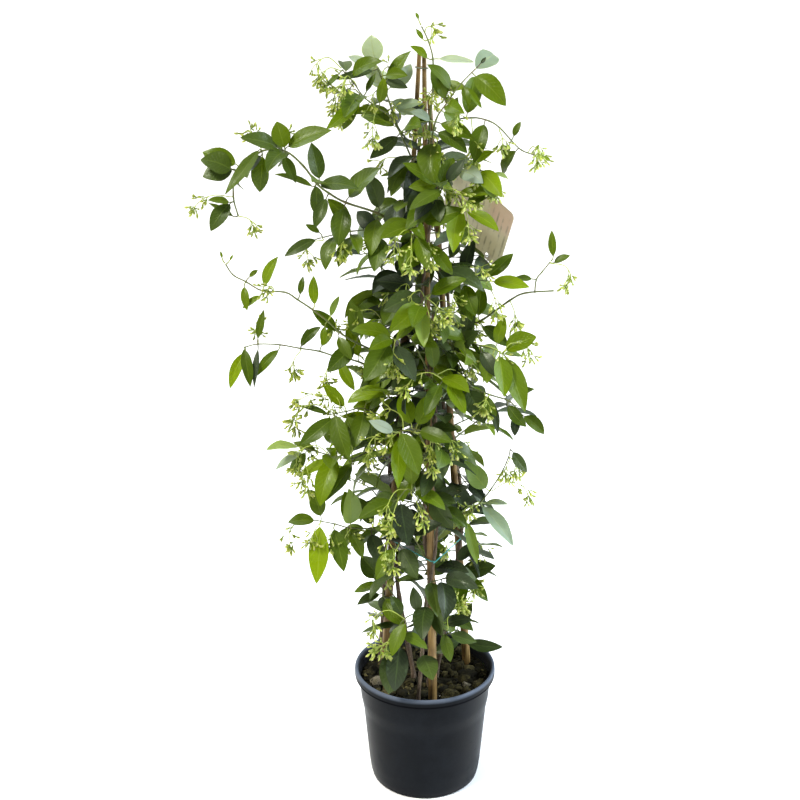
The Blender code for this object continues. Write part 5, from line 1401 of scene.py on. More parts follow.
class Fine:
    """The fine mesh of one piece, with what its materials read at each point."""

    def __init__(self):
        self.blocks = []
        self.count = 0

    def skin(self, loops, paint, tone, shade, across=None, along=None, under=None):
        """Closes a run of loops into one body. Loops run counter-clockwise about the way they follow."""
        rings, sides, _ = loops.shape
        ids = self.count + np.arange(rings * sides).reshape(rings, sides)
        nextid = np.roll(ids, -1, axis=1)
        quads = np.stack([ids[:-1], nextid[:-1], nextid[1:], ids[1:]], axis=-1).reshape(-1, 4)
        caps = [ids[0, ::-1], ids[-1]]
        size = rings * sides
        if along is None:
            along = np.repeat(np.linspace(0.0, 1.0, rings), sides)
        if across is None:
            across = np.full(size, 0.5)
        if under is None:
            under = np.zeros(size)
        marks = np.stack([across, along, np.full(size, tone), np.full(size, shade), under], axis=1)
        self.blocks.append((loops.reshape(-1, 3), quads, caps, paint, marks))
        self.count += size

    def make(self, name, paints):
        """The finished object, in metres."""
        points = np.concatenate([block[0] for block in self.blocks]) * MM
        marks = np.concatenate([block[4] for block in self.blocks])
        faces = []
        numbers = []
        for _, quads, caps, paint, _ in self.blocks:
            faces.extend(quads.tolist())
            faces.extend(cap.tolist() for cap in caps)
            numbers.extend([paint] * (len(quads) + len(caps)))
        mesh = bpy.data.meshes.new(name)
        mesh.from_pydata(points.tolist(), [], faces)
        mesh.polygons.foreach_set("material_index", numbers)
        for paint in paints:
            mesh.materials.append(paint)
        for i, key in enumerate(("tone", "shade", "under")):
            layer = mesh.attributes.new(key, "FLOAT", "POINT")
            layer.data.foreach_set("value", marks[:, i + 2].astype(np.float32))
        corners = np.zeros(len(mesh.loops), np.int32)
        mesh.loops.foreach_get("vertex_index", corners)
        layer = mesh.uv_layers.new(name="blade")
        layer.data.foreach_set("uv", marks[corners, :2].astype(np.float32).ravel())
        mesh.shade_smooth()
        mesh.set_sharp_from_angle(angle=math.radians(SHARP_FROM))
        obj = bpy.data.objects.new(name, mesh)
        bpy.context.scene.collection.objects.link(obj)
        return obj


def smooth_path(points, steps=CURVE_STEPS):
    """A curve through the points, with this many steps from one to the next."""
    rows = [np.array(p, float) for p in points]
    rows = [rows[0] * 2 - rows[1]] + rows + [rows[-1] * 2 - rows[-2]]
    made = []
    for a, b, c, d in zip(rows, rows[1:], rows[2:], rows[3:]):
        for step in range(steps):
            t = step / steps
            made.append(0.5 * (2 * b + (c - a) * t + (2 * a - 5 * b + 4 * c - d) * t * t
                               + (3 * b - a - 3 * c + d) * t ** 3))
    made.append(rows[-2])
    return np.array(made)


def tube_loops(path, radii, sides, twist=0.0):
    """Round loops along a path, without twist unless asked."""
    ahead = np.gradient(path, axis=0)
    ahead /= np.linalg.norm(ahead, axis=1)[:, None]
    up = Vector(ahead[0]).orthogonal().normalized()
    turns = np.arange(sides) * math.tau / sides
    loops = []
    for i, (centre, heading, radius) in enumerate(zip(path, ahead, radii)):
        heading = Vector(heading)
        up = across(heading, up)
        side = up.cross(heading)
        angle = turns + twist * i / max(len(path) - 1, 1)
        ring = np.outer(np.cos(angle), np.array(side)) + np.outer(np.sin(angle), np.array(up))
        loops.append(centre + ring * radius)
    return np.array(loops)


def add_blade(fine, leaf, dice):
    """A leaf: its stalk from the stem, then a thin arched blade, folded along the rib, with a waved edge."""
    root, outward, chord, face_up, length, width, bend, fold, tone, shade = leaf
    # Painted shade: low leaves and those of the upper-left arm are pulled to duller tones.
    low = min(max((LOW_TOP - root.z) / LOW_DEPTH, 0.0), 1.0)
    arm_shade = min(max((-root.x - ARM_OUT) / ARM_FADE, 0.0), max((root.z - ARM_HEIGHT) / ARM_FADE, 0.0), 1.0)
    tone += (LOW_SHADE_TONE - tone) * LOW_SHADE_SHARE * low + (ARM_SHADE_TONE - tone) * ARM_SHADE_SHARE * arm_shade
    tone = min(max(tone + dice.uniform(-TONE_JITTER, TONE_JITTER), 0.0), 3.0)
    start = root + (outward * PETIOLE_OUTWARD + chord * (1.0 - PETIOLE_OUTWARD)) * PETIOLE
    up = across(chord, face_up)
    side = np.array(up.cross(chord))
    flat = np.array(chord)
    rise = np.array(up)
    half_turn = math.radians(bend) / 2
    span = 2 * math.sin(half_turn)
    share = 0.5 - 0.5 * np.cos(np.linspace(0.0, math.pi, BLADE_LOOPS))
    share = share * BLADE_CROWDED + np.linspace(0.0, 1.0, BLADE_LOOPS) * (1.0 - BLADE_CROWDED)
    lean = half_turn * (1 - 2 * share)
    along = (math.sin(half_turn) - np.sin(lean)) / span
    lift = (np.cos(lean) - math.cos(half_turn)) / span
    sway = dice.uniform(-BLADE_SWAY, BLADE_SWAY)
    bow = sway * np.sin(math.pi * share)
    centre = np.array(start) + (np.outer(along, flat) + np.outer(lift, rise) + np.outer(bow, side)) * length
    top = np.outer(np.cos(lean), rise) - np.outer(np.sin(lean), flat)
    turn = dice.uniform(-BLADE_TWIST, BLADE_TWIST) * (share - BLADE_TWIST_FROM)
    wide = np.outer(np.cos(turn), side) + top * np.sin(turn)[:, None]
    top = top * np.cos(turn)[:, None] - np.outer(np.sin(turn), side)
    half = width * BLADE_WIDER / 2 * np.maximum(blade_width(share), 0.0)
    half = np.maximum(half, BLADE_NECK * (1.0 - share) ** 0.5 + BLADE_POINT)
    spots = np.linspace(-1.0, 1.0, BLADE_ACROSS + 1)
    around = np.concatenate([spots, spots[-2:0:-1]])
    under = np.concatenate([np.zeros(BLADE_ACROSS + 1), np.ones(BLADE_ACROSS - 1)])
    wave_phase = dice.uniform(0.0, math.tau)
    waves = dice.uniform(*BLADE_WAVES)
    wave = BLADE_WAVE * width * np.sin(math.tau * waves * share + wave_phase) * np.sin(math.pi * share)
    edge = np.abs(around)
    height = np.outer(half * fold, edge ** BLADE_CUP) + np.outer(wave, edge ** 2 * np.sign(around))
    skin = (1.0 - edge ** BLADE_THIN) * BLADE_THICK / 2
    rib = np.exp(-(around / RIB_WIDE) ** 2)
    relief = np.where(under > 0.5, -skin - rib * RIB_UNDER, skin - rib * RIB_GROOVE)
    height += relief[None, :] * np.minimum(half, 1.0)[:, None]
    loops = centre[:, None, :] + wide[:, None, :] * (half[:, None] * around)[:, :, None]
    loops = loops + top[:, None, :] * height[:, :, None]
    # The loop runs from -side over the top to +side, so it is turned to run counter-clockwise.
    loops = loops[:, ::-1, :]
    fine.skin(loops, LEAF, tone, shade, across=np.tile((around[::-1] + 1) / 2, BLADE_LOOPS),
              along=np.repeat(share, len(around)), under=np.tile(under[::-1], BLADE_LOOPS))
    knee = root + outward * PETIOLE * PETIOLE_OUTWARD * PETIOLE_KNEE
    path = smooth_path([root - outward * PETIOLE_SUNK, knee, start, start + chord * PETIOLE_INTO], 3)
    radii = np.linspace(*PETIOLE_RADII, len(path))
    fine.skin(tube_loops(path, radii, THIN_SIDES), STEM, tone, shade)


def add_bud(fine, root, heading, long, dice):
    """A slender bud on its stalk, swollen and twisted towards the tip, a little curved."""
    aside = Vector([dice.uniform(-1.0, 1.0) for _ in range(3)]) - UP * BUD_SAG
    bend = across(heading, aside) * long * dice.uniform(*BUD_CURVE)
    share = np.array([row[0] for row in BUD_PROFILE])
    radii = np.array([row[1] for row in BUD_PROFILE]) * dice.uniform(*BUD_FULLNESS)
    path = np.array(root - heading * BUD_SUNK) + np.outer(share * long, np.array(heading))
    path = path + np.outer(np.sin(share * math.pi), np.array(bend))
    loops = tube_loops(path, radii, BUD_SIDES, BUD_TWIST)
    swell = np.where(share > 0.5, BUD_RIDGE, 0.0)[:, None] * np.cos(np.arange(BUD_SIDES) * math.pi)[None, :]
    loops = path[:, None, :] + (loops - path[:, None, :]) * (1.0 + swell[:, :, None])
    fine.skin(loops, BUD, 0.0, dice.random(), along=np.repeat(share, BUD_SIDES))


def add_fork(fine, root, heading, dice):
    """A short branch of a spray with its buds."""
    tip = root + heading * dice.uniform(*FORK_LENGTH)
    path = smooth_path([root, root.lerp(tip, 0.5) + UP * FORK_RISE, tip], 2)
    radii = np.linspace(*FORK_RADII, len(path))
    fine.skin(tube_loops(path, radii, FORK_SIDES), STEM, SPRAY_TONE, dice.random())
    for _ in range(dice.randint(*FORK_BUDS)):
        add_bud(fine, tip, turned(heading, FORK_SPREAD, dice), dice.uniform(*FORK_BUD), dice)


def add_spray(fine, stalk, buds, start_radius, dice):
    """A thin arching stalk with its buds, more beside each, and forks with buds below the end."""
    path = smooth_path(stalk)
    radii = np.linspace(start_radius, STALK_END, len(path))
    fine.skin(tube_loops(path, radii, THIN_SIDES), STEM, SPRAY_TONE, dice.random())
    for root, heading, long in buds:
        add_bud(fine, root, heading, long, dice)
        for _ in range(dice.choice((1, 2))):
            add_bud(fine, root, turned(heading, PAIR_SPREAD, dice), long * dice.uniform(*PAIR_SIZE), dice)
    turn = dice.uniform(0.0, 360.0)
    for share in SPRAY_FORKS:
        step = round(share * (len(path) - 1))
        place = Vector(path[step])
        ahead = Vector(path[min(step + 1, len(path) - 1)]) - place
        if ahead.length < 0.01:
            continue
        ahead.normalize()
        for half in (0.0, 180.0):
            side = Matrix.Rotation(math.radians(turn + half), 3, ahead) @ across(ahead, UP)
            way = (side * FORK_OUT + ahead * FORK_ALONG - UP * dice.uniform(*FORK_DOWN)).normalized()
            add_fork(fine, place, way, dice)
        turn += 90.0


def add_side_spray(fine, start, way, stalks, dice):
    """A bud spray beside those of the plan, on a stalk whose length lies between these two."""
    stalk = spray_axis(start, way, dice.uniform(*stalks), dice.uniform(*SIDE_DROOP))
    ends = [turned((stalk[-1] - stalk[-2]).normalized(), END_SPREAD, dice) for _ in range(3)]
    buds = [(stalk[-1], end, dice.uniform(*MORE_BUD)) for end in ends]
    add_spray(fine, stalk, buds, SIDE_STALK, dice)


def fine_stem(stem, kind, dice):
    """The fine mesh of one vine, shoot or spray, along the axis and in the leaves' places of its solid."""
    fine = Fine()
    thin, knot, tone, sides, paint = STEM_KINDS[kind]
    back = (stem.axis[1] - stem.axis[0]).normalized() * STEM_SUNK
    axis = stem.axis if kind == "vine" else [stem.axis[0] - back] + stem.axis[1:]
    path = smooth_path(axis)
    radii = np.interp(np.linspace(0.0, 1.0, len(path)), np.linspace(0.0, 1.0, len(stem.radii)), stem.radii)
    radii = radii * thin
    radii[::CURVE_STEPS] *= knot
    fine.skin(tube_loops(path, radii, sides), paint, tone, dice.random())
    for leaf in stem.leaves:
        add_blade(fine, leaf, dice)
    for stalk, buds in stem.sprays:
        add_spray(fine, stalk or stem.axis, buds, PLAN_STALK, dice)
    return fine


# Most of the other leaves: side twigs on the vines that fill the middle of the plant.
FILL_STEP = 21.0
FILL_TURN = 137.5
# Height, how far the filling reaches to the left, the right, the front and the back, and the share of
# twigs that stand there.
FILL_REACH = (
    (215.0, 40.0, 44.0, 30.0, 50.0, 0.04),
    (300.0, 62.0, 60.0, 36.0, 64.0, 0.12),
    (350.0, 84.0, 68.0, 40.0, 74.0, 0.32),
    (430.0, 104.0, 78.0, 44.0, 80.0, 0.6),
    (520.0, 108.0, 90.0, 48.0, 84.0, 0.8),
    (600.0, 100.0, 92.0, 48.0, 84.0, 0.95),
    (680.0, 84.0, 80.0, 46.0, 80.0, 1.0),
    (760.0, 80.0, 70.0, 42.0, 74.0, 1.0),
    (840.0, 74.0, 58.0, 38.0, 64.0, 1.0),
    (980.0, 60.0, 46.0, 34.0, 46.0, 1.0),
)
FILL_LEAF = (38.0, 64.0)
FILL_WIDTH = (0.36, 0.52)
FILL_BEND = (18.0, 64.0)
FILL_FOLD = (0.12, 0.45)
FILL_NODE = 27.0
# How an added leaf is turned, in degrees, and shortened at each new try, as for the leaves of the plan.
FREE_TRIES = 7
FREE_TURN = 8.0
FREE_LOOSEN = 7.0
FREE_ROLL = 22.0
FREE_LEAST_LEAN = -0.3
FREE_PATIENT = 4
FREE_SHORTENED = 0.8
FREE_CLEAR = 0.25
# Share of the twigs that end in a bud spray, and the length of its stalk.
FILL_SPRAYS = 0.36
FILL_STALK = (24.0, 56.0)
# Tone of the leaves on a twig, partly their age and partly painted light and shade: what each part of its
# place adds, from where, over how many millimetres.
FILL_AXIS_Y = -10.0
FILL_TONE_AND_LIGHT_OUT = 72.0
FILL_TONE_AND_LIGHT_HEIGHT = 500.0
FILL_TONE_AND_LIGHT_UP = 1000.0
FILL_TONE_AND_LIGHT_LEFT = 260.0
FILL_TONE_STRAY = 0.7
# Some leaves take the pale tone, a painted sky reflection.
FILL_SHEEN_SHARE = 0.06
SHEEN_TONE = 3.0
# How every second pair of leaves is turned round its twig, in degrees, and how a leaf points: out from the
# twig, on along it, and down.
TWIG_TURN = (25.0, 60.0)
TWIG_LEAF_OUT = 0.65
TWIG_LEAF_ALONG = 0.5
TWIG_LEAF_DOWN = (-0.15, 1.3)
TWIG_RADII = (1.15, 0.75)
TWIG_REACH = (14.0, 95.0)
END_LEAF_SIZE = 0.85


def fill_reach(height, out):
    """How far a twig may stand out at this height in this direction, and the share of twigs there."""
    rows = np.array(FILL_REACH)
    left, right, front, back, share = [np.interp(height, rows[:, 0], rows[:, i]) for i in range(1, 6)]
    wide = right if out.x > 0 else left
    deep = back if out.y > 0 else front
    return 1.0 / math.hypot(out.x / wide, out.y / deep), share


def hides_tag(point):
    """Whether a point stands between the eye and the tag's card."""
    long_way = Vector(TAG_LONG).normalized()
    short_way = across(long_way, Vector(TAG_SHORT))
    flat = long_way.cross(short_way)
    ahead = point - EYE
    reach = (Vector(TAG_CENTRE) - EYE).dot(flat) / ahead.dot(flat)
    spot = EYE + ahead * reach - Vector(TAG_CENTRE)
    inside = abs(spot.dot(long_way)) < TAG_SIZE[0] / 2 and abs(spot.dot(short_way)) < TAG_SIZE[1] / 2
    return reach > 1.0 and inside


def add_free_leaf(fine, root, outward, chord, face_up, tone, size, crowd, dice):
    """Adds a leaf that keeps clear of what stands there and of the sight of the tag, where one fits."""
    for attempt in range(FREE_TRIES):
        heading = turned(chord, FREE_TURN + FREE_LOOSEN * attempt, dice)
        if heading.dot(outward) < FREE_LEAST_LEAN:
            continue
        length = dice.uniform(*FILL_LEAF) * size * (1.0 if attempt < FREE_PATIENT else FREE_SHORTENED)
        width = length * dice.uniform(*FILL_WIDTH)
        shape = (root, outward, heading, turned(face_up, FREE_ROLL, dice), length, width,
                 dice.uniform(*FILL_BEND), dice.uniform(*FILL_FOLD))
        if hides_tag(root + heading * length * 0.5) or hides_tag(root + heading * length):
            continue
        rings, tip = leaf_rings(*shape, LEAF_STATIONS, FREE_CLEAR)
        points, faces = prism(rings, tip)
        if not crowd.hits(points, faces):
            crowd.add(points, faces, "fill")
            add_blade(fine, shape + (tone, dice.random()), dice)
            return True
    return False


def fill_tone(point, dice):
    """Partly older leaves, partly painted shade and light: darker towards the middle, the foot and the right,
    brighter at the left, the top and outside.
    """
    light = math.hypot(point.x, point.y - FILL_AXIS_Y) / FILL_TONE_AND_LIGHT_OUT
    light += (point.z - FILL_TONE_AND_LIGHT_HEIGHT) / FILL_TONE_AND_LIGHT_UP - point.x / FILL_TONE_AND_LIGHT_LEFT
    light += dice.uniform(-FILL_TONE_STRAY, FILL_TONE_STRAY)
    return min(max(light, 0.0), 2.0) if dice.random() > FILL_SHEEN_SHARE else SHEEN_TONE


def add_twig(fine, base, out, ahead, far, droop, crowd, dice):
    """One arching twig with pairs of leaves and a leaf or a bud spray at its end."""
    count = max(1, round(far / FILL_NODE))
    axis = [base]
    for i in range(1, count + 1):
        share = i / count
        axis.append(base + ahead * far * share - UP * far * droop * share * share)
    path = smooth_path(axis)
    radii = np.linspace(*TWIG_RADII, len(path))
    fine.skin(tube_loops(path, radii, THIN_SIDES), STEM, SHOOT_TONE, dice.random())
    light = (UP * 0.6 + out * 0.7 + SEEN_NEAR * 0.2).normalized()
    for i in range(1, count + 1):
        heading = (axis[i] - axis[i - 1]).normalized()
        side = heading.cross(UP).normalized()
        if i % 2 == 0:
            side = Matrix.Rotation(math.radians(dice.uniform(*TWIG_TURN)), 3, heading) @ side
        tone = fill_tone(axis[i], dice)
        for hand in (-1.0, 1.0):
            outward = (side * hand + heading * 0.3).normalized()
            chord = side * hand * TWIG_LEAF_OUT + heading * TWIG_LEAF_ALONG
            chord -= UP * dice.uniform(*TWIG_LEAF_DOWN)
            add_free_leaf(fine, axis[i], outward, chord.normalized(), light, tone, 1.0, crowd, dice)
    if dice.random() < FILL_SPRAYS:
        way = (heading + out * 0.6 + UP * dice.uniform(-0.2, 0.5)).normalized()
        add_side_spray(fine, axis[-1], way, FILL_STALK, dice)
    else:
        chord = (heading - UP * dice.uniform(0.1, 0.9)).normalized()
        add_free_leaf(fine, axis[-1], heading, chord, light, tone, END_LEAF_SIZE, crowd, dice)


def add_fill(fine, name, crowd, dice):
    """Twigs up one vine, turning round it, that reach towards the plant's outline."""
    top = VINES[name][1]
    height = FILL_REACH[0][0] + dice.uniform(0.0, FILL_STEP)
    turn = dice.uniform(0.0, 360.0)
    while height < top - 12.0:
        height += FILL_STEP * dice.uniform(0.75, 1.25)
        turn += FILL_TURN + dice.uniform(-25.0, 25.0)
        base, radius = vine_at(name, min(height, top - 8.0))
        out = Vector((math.cos(math.radians(turn)), math.sin(math.radians(turn)), 0.0))
        reach, share = fill_reach(height, out)
        if dice.random() > share:
            continue
        far = reach - (base - Vector((0.0, 0.0, base.z))).dot(out)
        far = max(min(far, TWIG_REACH[1]), TWIG_REACH[0]) * dice.uniform(0.2, 0.8)
        ahead = (out + UP * dice.uniform(-0.15, 0.7)).normalized()
        add_twig(fine, base + out * radius * 0.5, out, ahead, far, dice.uniform(0.0, 0.3), crowd, dice)


# More leaves, and more bud sprays with the length of their stalks, on the shoots that show the most of them.
MORE_GROWTH = {
    "shoot_tip": (0, 3, (14.0, 24.0)),
    "shoot_crown_left_high": (9, 3, (22.0, 40.0)),
    "shoot_crown_left_low": (7, 3, (30.0, 50.0)),
    "shoot_crown_right_high": (9, 3, (22.0, 40.0)),
    "shoot_crown_right_low": (3, 2, (20.0, 36.0)),
    "shoot_upper_left": (11, 1, (26.0, 44.0)),
    "shoot_left_shelf": (4, 1, (30.0, 48.0)),
    "shoot_left_long": (0, 2, (16.0, 28.0)),
    "shoot_left_fan_high": (4, 2, (40.0, 66.0)),
    "shoot_left_fan_low": (6, 3, (40.0, 66.0)),
    "shoot_left_hanging": (3, 1, (30.0, 44.0)),
    "shoot_tag_side_high": (4, 2, (22.0, 36.0)),
    "shoot_right_high": (3, 2, (24.0, 44.0)),
    "shoot_right_upper": (3, 2, (40.0, 66.0)),
    "shoot_right_brown": (4, 2, (30.0, 54.0)),
    "shoot_front_820": (4, 2, (40.0, 70.0)),
    "shoot_front_710": (3, 2, (50.0, 85.0)),
    "shoot_front_660": (2, 1, (50.0, 85.0)),
    "shoot_front_600": (1, 2, (50.0, 90.0)),
    "shoot_front_530": (1, 2, (50.0, 90.0)),
    "shoot_front_430": (0, 2, (45.0, 80.0)),
    "shoot_front_360": (0, 1, (40.0, 60.0)),
    "shoot_front_990": (6, 2, (30.0, 50.0)),
}
MORE_TRIES = 3
MORE_LEAF_SIZE = 0.9


def add_more(fine, stem, leaves, sprays, stalks, crowd, dice):
    """More leaves and bud sprays from places along a shoot."""
    path = [Vector(p) for p in smooth_path(stem.axis)]
    tones = [leaf[-2] for leaf in stem.leaves]
    face_up = (UP * 0.45 + SEEN_NEAR).normalized()
    for i in range(leaves + sprays):
        for _ in range(MORE_TRIES):
            k = dice.randrange(1, len(path))
            ahead = (path[k] - path[k - 1]).normalized()
            side = Matrix.Rotation(dice.uniform(0.0, math.tau), 3, ahead) @ across(ahead, UP)
            if i >= leaves:
                way = (side + ahead * 0.4 + UP * dice.uniform(-0.2, 0.5)).normalized()
                add_side_spray(fine, path[k], way, stalks, dice)
                break
            chord = (side * 0.8 + ahead * dice.uniform(0.0, 0.6) - UP * dice.uniform(0.0, 0.7)).normalized()
            tone = dice.choice(tones)
            if add_free_leaf(fine, path[k], side, chord, face_up, tone, MORE_LEAF_SIZE, crowd, dice):
                break


# Pot, soil, canes, strings and tag

POT_FINE_SIDES = 128
SOIL_GRID = 3.2
CHIPS = 520
CHIP_SIZE = (1.6, 5.0)
CLODS = 110
CLOD_SIZE = (4.5, 9.5)
CLOD_ROUGH = 0.34
CLOD_FLAT = (0.35, 1.0)
CLOD_STRETCH = (0.8, 1.9)
CLOD_TIP = 0.6
# How far out the chips and clods lie, as a share of the area, how far clear of a stem, and the paints that
# they are drawn from.
CHIP_SPREAD = 0.93
CHIP_CLEAR = 1.0
CHIP_PAINTS = (0, 0, 0, 1, 1, 2)
CHIP_LIFT = 0.25
CLOD_LIFT = 0.3
# Each pale mark is a heap of lumps. These are shares of its size.
MARK_LUMPS = 9
MARK_LUMP_SIZE = 0.5
MARK_ROUGH = 0.25
MARK_SPREAD = 0.55
MARK_LIFT = 0.45
SOIL_FINE_SIDES = 120
SOIL_EDGE_FADE = 8.0
LUMP_WIDE = 3.1
LUMP_TALL = 1.9
GRAIN_WIDE = 1.5
GRAIN_TALL = 0.9
EDGE_RELIEF = 0.4
# How far the soil lies higher along the wall, and from which radius. At the front this fades away.
SOIL_BANK = 7.0
SOIL_BANK_RADIUS = 50.0
SOIL_BANK_FRONT = -70.0
SOIL_BANK_FADE = 40.0
POT_SOFT = 9.0
POT_STEP = 4.0
CORNER_REACH = 5.0
CORNER_STEPS = 4
CORNER_SHARE = 0.45
SOFT_SAMPLES = 15
DRAIN_FINE_SIDES = 24
# The shell's dusty inside starts where the rim turns down: above this height, within this radius.
POT_INSIDE_TOP = 172.0
POT_INSIDE_EDGE = 96.5
CANE_FINE_SIDES = 18
CANE_FINE_RINGS = 90
# Heights of the rings round a knot. A knot is a raised ring with a shallow groove above it: share of the
# radius and height of each.
KNOT_STEPS = (-5.0, -3.0, -1.6, -0.8, 0.0, 0.9, 1.8, 3.2, 5.0)
KNOT_RISE = 0.13
KNOT_TALL = 1.4
GROOVE_DEEP = 0.06
GROOVE_ABOVE = 3.0
GROOVE_TALL = 1.6
KNOT_STAIN = 2.2
# How far a cane wanders, over what length, and the share of its radius in its ridges.
CANE_SWAY = 0.35
CANE_SWAY_LENGTH = 90.0
CANE_RIDGE = 0.025
CANE_RIDGE_LENGTH = 120.0
STRING_FINE_SIDES = 8


def plain_object(name, points, faces, paints, numbers=None, sharp=40.0):
    """A mesh object in metres from points in millimetres."""
    mesh = bpy.data.meshes.new(name)
    mesh.from_pydata([Vector(p) * MM for p in points], [], faces)
    for paint in paints:
        mesh.materials.append(paint)
    if numbers:
        mesh.polygons.foreach_set("material_index", numbers)
    mesh.shade_smooth()
    mesh.set_sharp_from_angle(angle=math.radians(sharp))
    obj = bpy.data.objects.new(name, mesh)
    bpy.context.scene.collection.objects.link(obj)
    return obj


def rounded(profile):
    """The profile with each corner between its ends replaced by a short curve."""
    rows = [Vector(p) for p in profile]
    made = [rows[0]]
    for before, corner, after in zip(rows, rows[1:], rows[2:]):
        a, b = [corner + (end - corner).normalized() * min(CORNER_REACH, (end - corner).length * CORNER_SHARE)
                for end in (before, after)]
        for step in range(CORNER_STEPS + 1):
            t = step / CORNER_STEPS
            made.append(a * (1 - t) ** 2 + corner * 2 * t * (1 - t) + b * t * t)
    made.append(rows[-1])
    return made


def softened(profile, reach):
    """Points at even steps along the profile, each the mean of the stretch within this reach of it."""
    rows = np.array(profile, float)
    along = np.concatenate([[0.0], np.cumsum(np.linalg.norm(np.diff(rows, axis=0), axis=1))])
    made = []
    for spot in np.linspace(0.0, along[-1], int(along[-1] / POT_STEP) + 1):
        near = min(reach, spot, along[-1] - spot)
        window = np.linspace(spot - near, spot + near, SOFT_SAMPLES)
        made.append([np.interp(window, along, rows[:, i]).mean() for i in (0, 1)])
    return made


def fine_pot(paints):
    """The pot as one turned shell with rounded steps, a rolled rim and open drain holes."""
    body = Body()
    wall = softened(POT_OUTSIDE, POT_SOFT)
    profile = wall[:-1] + rounded(wall[-1:] + list(POT_RIM + POT_INSIDE))
    rings = [body.add(circle(POT_FINE_SIDES, p[0], height=p[1])) for p in profile]
    numbers = []
    inside = False
    for i, (low, high) in enumerate(zip(rings, rings[1:])):
        band(body, low, high)
        inside = inside or profile[i][1] > POT_INSIDE_TOP and profile[i][0] < POT_INSIDE_EDGE
        numbers += [int(inside)] * (len(body.faces) - len(numbers))
    drained_floor(body, rings[0], rings[-1], DRAIN_FINE_SIDES)
    return plain_object("pot_shell", body.points, list(body.faces.values()), paints,
                        numbers + [0] * (len(body.faces) - len(numbers)), sharp=35.0)


def clod(centre, size, dice, rough=CLOD_ROUGH):
    """Points and faces of an angular lump."""
    flat = dice.uniform(*CLOD_FLAT)
    stretch = dice.uniform(*CLOD_STRETCH)
    turn = Matrix.Rotation(dice.uniform(0.0, math.tau), 3, "Z")
    turn = turn @ Matrix.Rotation(dice.uniform(-CLOD_TIP, CLOD_TIP), 3, "X")
    points = []
    for v in LUMP_POINTS:
        grown = v * (1.0 + dice.uniform(-rough, rough)) * size
        points.append(centre + turn @ Vector((grown.x * stretch, grown.y, grown.z * flat)))
    return points, LUMP_FACES


def lump_mesh():
    """The points and faces of a coarse ball."""
    made = bmesh.new()
    bmesh.ops.create_icosphere(made, subdivisions=2, radius=1.0)
    points = [v.co.copy() for v in made.verts]
    faces = [tuple(v.index for v in f.verts) for f in made.faces]
    made.free()
    return points, faces


LUMP_POINTS, LUMP_FACES = lump_mesh()


def bank(x, y):
    """How much higher the soil lies towards the wall, except at the front."""
    share = min(max((math.hypot(x, y) - SOIL_BANK_RADIUS) / (SOIL_EDGE_RADIUS - SOIL_BANK_RADIUS), 0.0), 1.0)
    back = min(max((y - SOIL_BANK_FRONT) / SOIL_BANK_FADE, 0.0), 1.0)
    return SOIL_BANK * share * back


# Pale clods and white grit: place and size, then the number of the paint.
SOIL_MARKS = (
    ((-66.0, -22.0, 11.0), 3),
    ((-48.0, -34.0, 7.0), 3),
    ((22.0, -48.0, 2.2), 4),
    ((40.0, -22.0, 1.6), 4),
    ((-20.0, -60.0, 1.4), 4),
    ((58.0, -30.0, 5.0), 3),
)


def soil_body():
    """The soil with its clodded top over its plain sides."""
    steps = int(SOIL_EDGE_RADIUS // SOIL_GRID)
    rows = [[Vector((0.0, 0.0, soil_height(0.0, 0.0)))]]
    low = SOIL_LEVEL - SOIL_EDGE_DROP
    for i in range(1, steps + 1):
        row = circle(SOIL_FINE_SIDES, SOIL_EDGE_RADIUS * i / steps)
        fade = min(1.0, (SOIL_EDGE_RADIUS - SOIL_EDGE_RADIUS * i / steps) / SOIL_EDGE_FADE)
        for p in row:
            relief = noise.noise(Vector((p.x / LUMP_WIDE, p.y / LUMP_WIDE, 5.0))) * LUMP_TALL
            relief += noise.noise(Vector((p.x / GRAIN_WIDE, p.y / GRAIN_WIDE, 9.0))) * GRAIN_TALL
            relief *= EDGE_RELIEF + (1.0 - EDGE_RELIEF) * fade
            p.z = low + (soil_height(p.x, p.y) - low) * fade + relief + bank(p.x, p.y)
        rows.append(row)
    for radius, height in reversed(SOIL_WALL):
        rows.append(circle(SOIL_FINE_SIDES, radius, height=height))
    body = Body()
    ids = [body.add(row) for row in rows]
    for i in range(SOIL_FINE_SIDES):
        body.put((ids[0][0], ids[1][i], ids[1][(i + 1) % SOIL_FINE_SIDES]))
    for inner, outer in zip(ids[1:], ids[2:]):
        band(body, outer, inner)
    body.put(reversed(ids[-1]))
    return body


